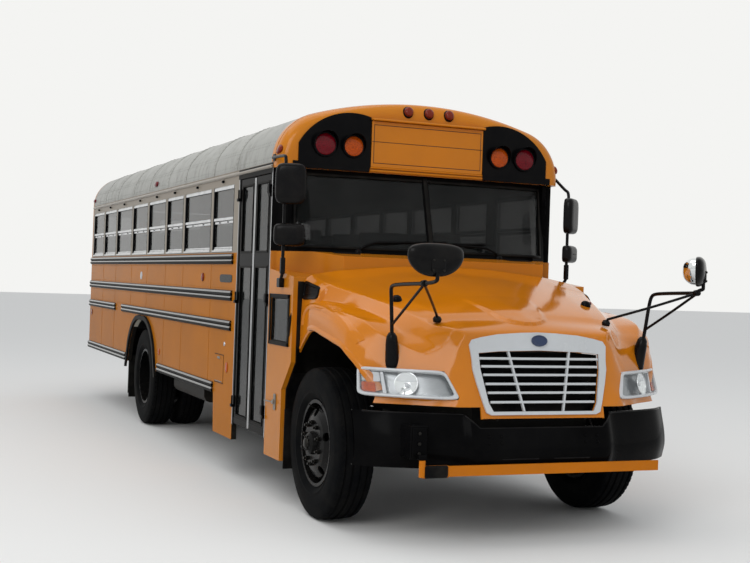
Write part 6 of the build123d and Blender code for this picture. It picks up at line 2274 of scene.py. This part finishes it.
@dataclass
class Seats(Trim):
    """Bench seats, barriers and the driver's seat: vinyl over foam, with piped seams and tubular legs.

    A pad is a rounded block whose faces crown between its corners and sink along its sewn seams.
    """

    rows: int = 9
    first: float = -2.600
    pitch: float = 0.705
    near: float = 0.184
    far: float = 1.164
    floor: float = 1.0603

    def pad(
        self, low: Sequence[float], high: Sequence[float], lean: float, seams: Sequence[float],
        crown: float = 0.012, edge: float = 0.035, count: int = 15,
    ) -> Pad:
        """One pad between two corners.

        Each face of the box is a grid; corners are rounded by pulling the points on to a smaller box plus
        a sphere, the face crowns as a product of parabolas, and each seam across Y is a narrow dip.

        Args:
            low: the low corner as distance ahead, Y and height.
            high: the high corner.
            lean: metres of X that it leans back by per metre of height.
            seams: places of the seams across Y, -1 to 1.
            crown: height of the crown.
            edge: radius of the corners.
            count: points along each edge.

        Returns:
            Points and faces.
        """
        low, high = np.array(at(*low)), np.array(at(*high))
        half = (high - low) / 2
        own = np.sin(np.linspace(-np.pi / 2, np.pi / 2, count))
        u, v = np.meshgrid(own, own, indexing="ij")
        quads = grid_quads(count, count, False, False)
        points, faces = [], []
        for axis in range(3):
            for sign in (-1, 1):
                p = np.zeros((count, count, 3))
                p[..., axis] = sign
                p[..., (axis + 1) % 3] = u
                p[..., (axis + 2) % 3] = v
                full = p * half
                core = np.clip(full, -(half - edge), half - edge)
                ray = full - core
                length = np.maximum(np.linalg.norm(ray, axis=-1, keepdims=True), 1e-9)
                full = core + ray / length * np.minimum(edge, length)
                full[..., axis] += sign * (crown * (1 - u**2) * (1 - v**2) - crown)
                for seam in seams:
                    dip = 0.008 * np.exp(-(((full[..., 1] / half[1]) - seam) / 0.018) ** 2)
                    full[..., axis] -= sign * dip * (axis != 1)
                full = full + (high + low) / 2
                full[..., 0] -= lean * (full[..., 2] - low[2])
                faces += [quad if sign > 0 else quad[::-1]
                          for quad in (quads + len(points) * count**2).tolist()]
                points.append(full.reshape(-1, 3))
        return np.concatenate(points), faces

    def join(self, name: str, pads: Iterable[Pad]) -> Object:
        """Join pads in one padded piece.

        Args:
            name: piece name.
            pads: points and faces of each pad.

        Returns:
            The piece.
        """
        points, faces, start = [], [], 0
        for p, f in pads:
            points.append(p)
            faces.extend([[i + start for i in face] for face in f])
            start += len(p)
        made = outward(make_piece(name, np.concatenate(points), faces, self.body, Finish.VINYL))
        return made

    def benches(self, side: Side) -> Object:
        """Cushions and backs of one side's benches and its barrier.

        Args:
            side: side of the bus.

        Returns:
            The piece.
        """
        s = side.value
        y0, y1 = sorted((s * self.near, s * self.far))
        pads = []
        for row in range(self.rows):
            x = self.first - self.pitch * row
            pads.append(self.pad((x - 0.055, y0, 1.398), (x + 0.400, y1, 1.475), 0.0, (0.0,)))
            pads.append(self.pad((x - 0.062, y0, 1.482), (x + 0.012, y1, 2.124), 0.068, (0.0,)))
        y0, y1 = sorted((s * 0.304, s * self.far))
        pads.append(self.pad((-2.081, y0, 1.30), (-2.049, y1, 1.995), 0.0, (0.0,), 0.003, 0.014))
        return self.join(f"benches_{side.label}", pads)

    def legs(self) -> None:
        """Tubular legs, cross rails and foot plates, and the driver's pedestal."""
        low = self.floor
        boxes = []
        for s in (-1, 1):
            y0, y1 = sorted((s * 0.215, s * 0.245))
            for row in range(self.rows):
                x = self.first - self.pitch * row
                for leg in (x - 0.040, x + 0.350):
                    boxes.append((leg, leg + 0.030, y0, y1, low, 1.398))
                    boxes.append((leg - 0.015, leg + 0.045, y0 - 0.012, y1 + 0.012, low, 1.066))
                boxes.append((x - 0.040, x - 0.015, s * 0.215, s * 1.160, 1.365, 1.395))
                boxes.append((x + 0.355, x + 0.380, s * 0.215, s * 1.160, 1.365, 1.395))
            boxes.append((-2.080, -2.050, s * 0.300, s * 0.330, low, 1.31))
        boxes += [(-1.44, -1.19, 0.47, 0.65, low, 1.30), (-1.47, -1.16, 0.445, 0.675, 1.30, 1.40),
                  (-1.48, -1.15, 0.44, 0.68, low, 1.075)]
        self.blocks("seat_frames", boxes, 0.003, Finish.BOARD)

    def build(self) -> None:
        """Make every seat and replace the plain ones; the driver's has a tall back and a head pad."""
        right = self.benches(Side.RIGHT)
        self.benches(Side.LEFT)
        self.join("driver_seat", [
            self.pad((-1.540, 0.314, 1.452), (-1.055, 0.806, 1.556), 0.0, (-0.5, 0.5), 0.016, 0.04),
            self.pad((-1.550, 0.330, 1.560), (-1.450, 0.790, 1.940), 0.05, (-0.5, 0.5), 0.016, 0.04),
            self.pad((-1.575, 0.430, 1.945), (-1.500, 0.690, 2.086), 0.05, (), 0.012, 0.03),
        ])
        self.legs()
        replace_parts(right, "seats")


@dataclass
class EntryDoor:
    """Gaskets, bright edge strips, nosing rubbers, screws and the grab rail of the entry door."""

    leaves: tuple[tuple[str, float, float], ...] = (
        ("entry_leaf_rear", -1.806, -1.406), ("entry_leaf_front", -1.394, -0.994),
    )
    stile: float = 0.052

    def leaf(self, body: str, rear: float, front: float) -> None:
        """Dress one leaf: rubber mouldings round both lights outside and in, and strips on its free edge.

        Args:
            body: the leaf's body.
            rear: distance ahead of its rear edge.
            front: distance ahead of its front edge.
        """
        leaf = Trim(body)
        frames = []
        for foot, head in ((1.860, 2.400), (0.520, 1.740)):
            for low, high in ((-1.2185, -1.2125), (-1.1835, -1.1775)):
                bars = four_bars(rear + self.stile, front - self.stile, foot, head, 0.010, 0.008)
                frames += [(*bar[:2], low, high, *bar[2:]) for bar in bars]
        leaf.blocks(f"{body}_gaskets", frames, 0.003, Finish.FLARE)
        x, sign = (front, -1) if "rear" in body else (rear, 1)
        leaf.blocks(f"{body}_strip", [(x, x + sign * 0.012, -1.2180, -1.2140, 0.450, 2.450)], 0.0015,
                    Finish.ALUMINIUM)
        leaf.blocks(f"{body}_nosing", [(x - sign * 0.0035, x, -1.2100, -1.1860, 0.448, 2.452)], 0.003,
                    Finish.FLARE)
        leaf.blocks(f"{body}_kick", [(rear + 0.004, front - 0.004, -1.2165, -1.2140, 0.450, 0.500)], 0.001,
                    Finish.BLACK)
        screws = [(x, -1.214, z) for x in (rear + 0.02, front - 0.026) for z in np.arange(0.55, 2.42, 0.20)]
        leaf.studs(f"{body}_screws", screws, (0, -1, 0), 0.005, 0.002, Finish.BOARD)

    def build(self) -> None:
        """Dress both leaves and the frame."""
        for leaf in self.leaves:
            self.leaf(*leaf)
        posts = [(-1.849, -1.840, -1.2215, -1.2190, 0.435, 2.500),
                 (-0.960, -0.951, -1.2215, -1.2190, 0.435, 2.500)]
        Trim().blocks("door_post_strips", posts, 0.001, Finish.ALUMINIUM)
        Trim().blocks("door_header_seal", [(-1.86, -0.952, -1.2240, -1.2190, 2.462, 2.540)], 0.002,
                      Finish.FLARE)
        grab = [(-1.72, y, z) for y, z in (
            (-1.182, 1.02), (-1.115, 1.05), (-1.105, 1.30), (-1.115, 1.56), (-1.182, 1.59),
        )]
        Trim("entry_leaf_rear").tube("entry_rear_grab", grab, 0.014, Finish.STEEL, 14, 40)


@dataclass
class BodyTrim(Trim):
    """Small fittings on the coach's sides, cowl and rear."""

    def hatches(self) -> None:
        """The right side's access door, its latch, the round lock, the blank plate and the holdback."""
        y = -HALF_WIDTH
        x0, x1 = -2.434, -2.152
        self.blocks("access_door", [(x0 + 0.006, x1 - 0.006, y - 0.0030, y, 0.745, 0.978)], 0.002,
                    Finish.SIDE)
        self.frame("access_seal", (x0, x1, 0.737, 0.986, 0.0, 0.006), (y - 0.0015, y), 0.002, Finish.FLARE)
        latch = [(x0 + 0.10, x0 + 0.18, y - 0.009, y, 0.945, 0.965),
                 (x0 + 0.03, x1 - 0.03, y - 0.007, y, 0.748, 0.756)]
        self.blocks("access_latch", latch, 0.003, Finish.STEEL)
        ring = ((0.0, 0.018), (0.005, 0.017), (0.007, 0.013), (0.003, 0.011), (0.003, 0.0004))
        self.lathe("side_lock", ring, (-2.141, y, 1.081), (0, -1, 0), Finish.ALUMINIUM, 28)
        # rounded blank plate below the first window: an oval with very flat ends
        c, sn = np.cos(around(40)), np.sin(around(40))
        x = AXLE - 2.168 + np.sign(c) * np.maximum(np.abs(c) ** 0.25 * 0.190, 1e-4)
        z = 1.640 + np.sign(sn) * np.abs(sn) ** 0.5 * 0.034
        plate = prism("rounded_plate", np.stack([x, z], axis=1), "Y", y - 0.003, y, self.body, Finish.BOARD)
        soften(plate, 0.001)
        holdback = [(-0.735, -0.690, y - 0.010, y, 0.675, 0.795),
                    (-0.728, -0.698, y - 0.026, y - 0.008, 0.720, 0.752)]
        self.blocks("door_holdback", holdback, 0.004, Finish.STEEL)
        rod = [(-0.715, -1.238, 0.735), (-0.82, -1.240, 0.732), (-0.925, -1.236, 0.728)]
        self.tube("door_holdback_rod", rod, 0.005, Finish.STEEL, 10, 12)

    def frame(
        self, name: str, rectangle: Sequence[float], depth: tuple[float, float], edge: float, finish: Finish
    ) -> None:
        """Four bars on a side wall, from the numbers that four_bars takes, between two Y."""
        self.blocks(name, [(*bar[:2], *depth, *bar[2:]) for bar in four_bars(*rectangle)], edge, finish)

    def peep(self) -> None:
        """The small lower window ahead of the entry door, with its rubber frame and glass."""
        y = -HALF_WIDTH
        self.frame("peep_frame", (-0.905, -0.445, 1.160, 1.540, 0.0, 0.028), (y - 0.010, y), 0.002,
                   Finish.FLARE)
        self.blocks("peep_glass", [(-0.885, -0.465, y + 0.010, y + 0.016, 1.180, 1.520)], 0.0005,
                    Finish.GLASS)
        bars = ((-0.882, -0.468, 1.183, 1.196), (-0.882, -0.468, 1.504, 1.517), (-0.882, -0.870, 1.19, 1.51),
                (-0.480, -0.468, 1.19, 1.51))
        self.blocks("peep_gasket", [(*b[:2], y + 0.002, y + 0.026, *b[2:]) for b in bars], 0.002,
                    Finish.FLARE)

    def cowl(self) -> None:
        """Cowl vents, whose slats follow the shelf down forwards, and the mud flaps."""
        for side in Side:
            s, n = side.value, side.label
            slats = []
            for k in range(5):
                x, low = -0.640 + 0.017 * k, 1.8655 - 0.1167 * 0.017 * k
                slats.append((x, x + 0.011, s * 0.635, s * 0.840, low - 0.006, low + 0.004))
            self.blocks(f"cowl_vent_{n}", slats, 0.001, Finish.BOARD)
            self.blocks(f"mud_flap_front_{n}", [(-0.546, -0.536, s * 0.86, s * 1.20, 0.262, 0.70)], 0.002,
                        Finish.FLARE)
            x = -WHEELBASE
            flap = [(x - 0.750, x - 0.740, s * 0.60, s * 1.19, 0.22, 0.70)]
            self.blocks(f"mud_flap_rear_{n}", flap, 0.002, Finish.FLARE)

    def rear(self) -> None:
        """Window rubbers, the rear door's rubbers and handle, and the plate lamp."""
        x = REAR_FACE
        rubbers = [(x - 0.008, x + 0.004, *bar) for mid in (-0.815, 0.815)
                   for bar in four_bars(mid - 0.230, mid + 0.230, 1.790, 2.420, 0.014, 0.010)]
        self.blocks("rear_window_rubbers", rubbers, 0.003, Finish.FLARE)
        door, xd = Trim("rear_door"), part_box("rear_door")[0][0] - AXLE
        rubbers = [(xd - 0.006, xd + 0.006, *bar) for foot, head in ((1.790, 2.420), (1.230, 1.640))
                   for bar in four_bars(-0.310, 0.310, foot, head, 0.012, 0.010)]
        door.blocks("rear_door_rubbers", rubbers, 0.003, Finish.FLARE)
        handle = [(xd, 0.385, 1.70), (xd - 0.035, 0.385, 1.70), (xd - 0.045, 0.36, 1.70),
                  (xd - 0.045, 0.24, 1.70)]
        door.tube("rear_door_handle", handle, 0.010, Finish.STEEL, 12, 20)
        plate = ((0.0, 0.034), (0.006, 0.033), (0.010, 0.024), (0.010, 0.0004))
        door.lathe("rear_door_escutcheon", plate, (xd, 0.385, 1.70), (-1, 0, 0), Finish.STEEL, 28)
        self.blocks("plate_lamp", [(x - 0.030, x, 0.62, 0.72, 1.108, 1.132)], 0.005, Finish.BOARD)

    def build(self) -> None:
        """Make every fitting."""
        self.hatches()
        self.peep()
        self.cowl()
        self.rear()


@dataclass
class SideMirrors(Trim):
    """Two mirrors on each front pole: soft-cornered housings turned to the driver, poles and brackets."""

    half_width: float = 0.114

    def housing(self, name: str, centre: Array, turn: float, half: float) -> None:
        """A shell with its glass: rounded sections along the mirror's own axis, deepest behind the glass.

        Args:
            name: piece name.
            centre: middle of the housing.
            turn: degrees about Z.
            half: half its height.
        """
        axis = np.array([math.cos(math.radians(turn)), math.sin(math.radians(turn)), 0.0])
        wide, up = np.array([-axis[1], axis[0], 0.0]), np.array([0.0, 0.0, 1.0])
        ring = rounded_square(0.42, 72)

        def sections(stations: Sequence[tuple[float, float]]) -> list[Array]:
            """Rings from (place along the axis, distance inside the outline).

            Args:
                stations: the stations.

            Returns:
                The rings.
            """
            return [
                centre + place * axis + ring[:, :1] * (self.half_width - inset) * wide
                + ring[:, 1:2] * (half - inset) * up
                for place, inset in stations
            ]

        shell = sections(((-0.026, 0.012), (-0.035, 0.011), (-0.035, 0.004), (-0.028, 0.0), (0.006, 0.0),
                          (0.022, 0.006), (0.031, 0.018), (0.035, 0.036), (0.035, 0.075)))
        self.loft(name, shell, Finish.MIRROR, 50)
        glass = sections(((-0.024, 0.013), (-0.0300, 0.013), (-0.0300, 0.060)))
        self.loft(f"{name}_glass", glass, Finish.MIRROR_GLASS, smooth=False)

    def build(self) -> None:
        """Make the housings, the poles, the top tubes with their plates, and the heavy lower brackets."""
        ball = ((-0.020, 0.0004), (-0.014, 0.014), (0.0, 0.020), (0.014, 0.014), (0.020, 0.0004))
        reach = 2.572
        for side, x, place, turn, panes, foot in (
            (Side.RIGHT, -0.570, (0.0566, -1.221), -20.0, ((2.200, 2.500), (1.895, 2.060)), 1.700),
            (Side.LEFT, -0.700, (0.070, 1.2343), 42.0, ((2.100, 2.390), (1.865, 2.005)), 1.740),
        ):
            s, n = side.value, side.label
            y, wall = s * 1.245, s * HALF_WIDTH
            top = panes[0][1] + 0.060
            for number, (low, high) in enumerate(panes):
                z = (low + high) / 2
                self.housing(f"side_mirror_{n}_{number}", np.array([x + place[0], place[1], z]), turn,
                             (high - low) / 2)
                clamp = [(x - 0.016, x + 0.020, y - 0.017, y + 0.017, z - 0.020, z + 0.020)]
                self.blocks(f"side_mirror_clamp_{n}_{number}", clamp, 0.004, Finish.MIRROR)
            path = [(x - 0.050, s * 1.242, foot - 0.058), (x, y, foot), (x, y, foot + 0.06),
                    (x, y, top - 0.05), (x - 0.012, y, top - 0.008),
                    (x - 0.06, s * 1.244, top + (reach - top) * 0.15),
                    (-0.920, s * 1.234, reach)]
            self.tube(f"side_mirror_pole_{n}", path, 0.0125, Finish.MIRROR, 14, 60)
            plate = [(-0.945, -0.898, wall, wall + s * 0.010, 2.545, 2.600)]
            self.blocks(f"side_mirror_plate_{n}", plate, 0.003, Finish.MIRROR)
            bracket = [(x - 0.090, x - 0.020, wall, s * 1.259, foot - 0.110, foot - 0.040),
                       (x - 0.018, x + 0.018, y - 0.017, y + 0.017, foot - 0.012, foot + 0.110)]
            self.blocks(f"side_mirror_bracket_{n}", bracket, 0.006, Finish.MIRROR)
            self.lathe(f"side_mirror_ball_{n}", ball, (x, y, foot + 0.002), (0, 0, 1), Finish.MIRROR, 20)
        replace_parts(bpy.data.objects["side_mirror_right_0"], "side_mirrors")


@dataclass
class Arms:
    """The crossing arm's sleeve and the stop arm's border, lamps and blank face."""

    flats: float = 0.457

    def build(self) -> None:
        """Make both arms' trim."""
        x = float(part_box("crossing_arm")[1][0])
        sleeve = [(x - 0.024, x + 0.002, -0.862, -0.695, 0.456, 0.534)]
        blocks("arm_sleeve", sleeve, 0.010, "crossing_arm", Finish.FLARE)
        low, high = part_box("stop_arm")
        mid_x, mid_z = float(low[0]) + self.flats / 2, (float(low[2]) + float(high[2])) / 2
        turn = np.radians(22.5 + 45 * np.arange(8))

        def octagon(flats: float, y: float) -> Array:
            """Corners of an octagon from its width across flats."""
            r = flats / 2 / math.cos(math.pi / 8)
            return np.stack([mid_x + r * np.cos(turn), np.full(8, y), mid_z + r * np.sin(turn)], axis=1)

        dome = ((0.0, 0.052), (0.008, 0.051), (0.012, 0.040), (0.014, 0.0004))
        for label, y0, y1, out in (("out", 1.2652, 1.2662, 1.0), ("in", 1.2578, 1.2588, -1.0)):
            rows = np.stack([octagon(*ring) for ring in ((0.452, y0), (0.452, y1), (0.424, y1), (0.424, y0))])
            surface(f"stop_border_{label}", rows, "stop_arm", Finish.PILLAR, close_rows=True,
                    close_columns=True, smooth=False)
            for number, dz in enumerate((-0.150, 0.150)):
                place = (mid_x, y1 if out > 0 else y0, mid_z + dz)
                lathe(f"stop_lamp_{label}_{number}", dome, place, (0, out, 0), "stop_arm", Finish.RED, 32)


@dataclass
class Windshield(Trim):
    """The rubber gasket round both panes and the mullion's strip."""

    def plan(self, across: Array, height: Array) -> Array:
        """How far ahead the outer face lies: the foot's and head's plan lines, blended up the glass.

        Args:
            across: distances across.
            height: heights.

        Returns:
            The distances ahead.
        """
        y = np.abs(across)
        foot = pchip(np.array([0.0, 0.62, 0.96, 1.10]), np.array([-0.655, -0.690, -0.760, -0.850]), y)
        head = pchip(np.array([0.0, 0.62, 0.96, 1.085]), np.array([-0.835, -0.845, -0.862, -0.900]),
                     np.minimum(y, 1.085))
        share = (height - 1.90) / 0.59
        return foot * (1 - share) + head * share

    def strip(self, name: str, across: Array, height: Array, width: float, proud: float) -> None:
        """A soft-edged rubber strip along a line on the windshield.

        Its section stands on the face's normal, the cross product of the face's slopes along Y and Z.

        Args:
            name: piece name.
            across: distances across.
            height: heights.
            width: width of the strip.
            proud: how far it stands out.
        """
        place = self.plan(across, height)
        one, none, step = np.ones_like(across), np.zeros_like(across), 0.01
        line = np.stack([place, across, height], axis=1)
        du = np.stack([(self.plan(across + step, height) - place) / step, one, none], axis=1)
        dv = np.stack([(self.plan(across, height + step) - place) / step, none, one], axis=1)
        normal = unit(np.cross(du, dv))
        normal *= np.sign(normal[:, :1])
        sideways = np.cross(normal, unit(np.gradient(line, axis=0)))
        section = ((-0.5, -0.3), (-0.5, 0.5), (-0.3, 1.0), (0.3, 1.0), (0.5, 0.5), (0.5, -0.3))
        rows = [line + sideways * width * w + normal * proud * h for w, h in section]
        self.loft(name, np.stack(rows, axis=1), Finish.FLARE)

    def build(self) -> None:
        """Make the gaskets round each pane and the mullion."""
        for side in Side:
            s, n = side.value, side.label
            y = np.linspace(0.030, 1.070, 40) * s
            self.strip(f"shield_foot_{n}", y, np.full(40, 1.905), 0.022, 0.007)
            self.strip(f"shield_head_{n}", y, np.full(40, 2.462), 0.022, 0.007)
            self.strip(f"shield_edge_{n}", np.full(20, 1.066 * s), np.linspace(1.905, 2.462, 20), 0.020,
                       0.007)
        self.strip("shield_mullion", np.zeros(20), np.linspace(1.880, 2.486, 20), 0.034, 0.009)


def dress(node: str, finish: Finish) -> None:
    """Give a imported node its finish.

    Args:
        node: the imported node.
        finish: its finish.
    """
    made = FRAME["nodes"][node]
    made.data.materials.clear()
    made.data.materials.append(finish.material)
    log.info("dressed %s with %s", node, finish.value.name)


NODE_FINISHES: dict[Finish, tuple[str, ...]] = {
    Finish.CHASSIS: (
        "chassis_frame", "front_axle", "rear_axle", "knuckle_left", "knuckle_right", "tie_rod",
        "battery_box", "fuel_tank", "driveline",
    ),
    Finish.CASTING: ("engine_block",),
    Finish.STEEL: ("exhaust", "radiator"),
    Finish.FLOORING: ("floor",),
    Finish.WALL: ("side_wall_left", "side_wall_right"),
    Finish.SIDE: ("rear_wall", "rear_door"),
    Finish.COWL: ("cowl",),
    Finish.HOOD: ("hood",),
    Finish.CAP: ("front_cap",),
    Finish.ROOF: ("roof",),
    Finish.BLACK: (
        "windshield_frame", "door_frame", "front_bumper", "rear_bumper", "entry_leaf_front",
        "entry_leaf_rear", "stop_arm_bracket",
    ),
    Finish.RAIL: ("rub_rails",),
    Finish.DASH: ("dash",),
    Finish.VINYL: ("seats",),
    Finish.ALUMINIUM: ("side_window_frames",),
    Finish.GLASS: ("side_glass", "rear_door_glass"),
    Finish.DOOR_GLASS: ("entry_glass_front", "entry_glass_rear"),
    Finish.SHIELD: ("windshield_glass",),
    Finish.FLARE: ("arch_flares",),
    Finish.MIRROR: ("side_mirrors", "fender_mirrors"),
    Finish.BOARD: ("lamp_boards",),
    Finish.RED: ("warning_lamps",),
    Finish.SILVER: ("grille", "headlamps"),
    Finish.RIM: ("front_rim_left", "front_rim_right", "rear_rims_left", "rear_rims_right"),
    Finish.TYRE: ("front_tyre_left", "front_tyre_right", "rear_tyres_left", "rear_tyres_right"),
    Finish.BODY: ("crossing_arm",),
    Finish.STOP: ("stop_arm",),
}


def main() -> None:
    """Build the studio, dress the nodes and add the fine pieces."""
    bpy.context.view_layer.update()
    Studio().build()
    for finish, names in NODE_FINISHES.items():
        for name in names:
            dress(name, finish)

    for piece in (
        Wheels(), Hood(), HoodTrim(), Grille(), Headlamps(), FenderMirrors(), Bumper(), Windows(), Roof(),
        FrontLamps(), SignPanel(), Wipers(), Windshield(), EntryDoor(), BodyTrim(), SideMirrors(), Arms(),
        Seats(),
    ):
        piece.build()


if __name__ == "__main__":
    logging.basicConfig(level=logging.INFO, format="%(message)s")
    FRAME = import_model()
    main()
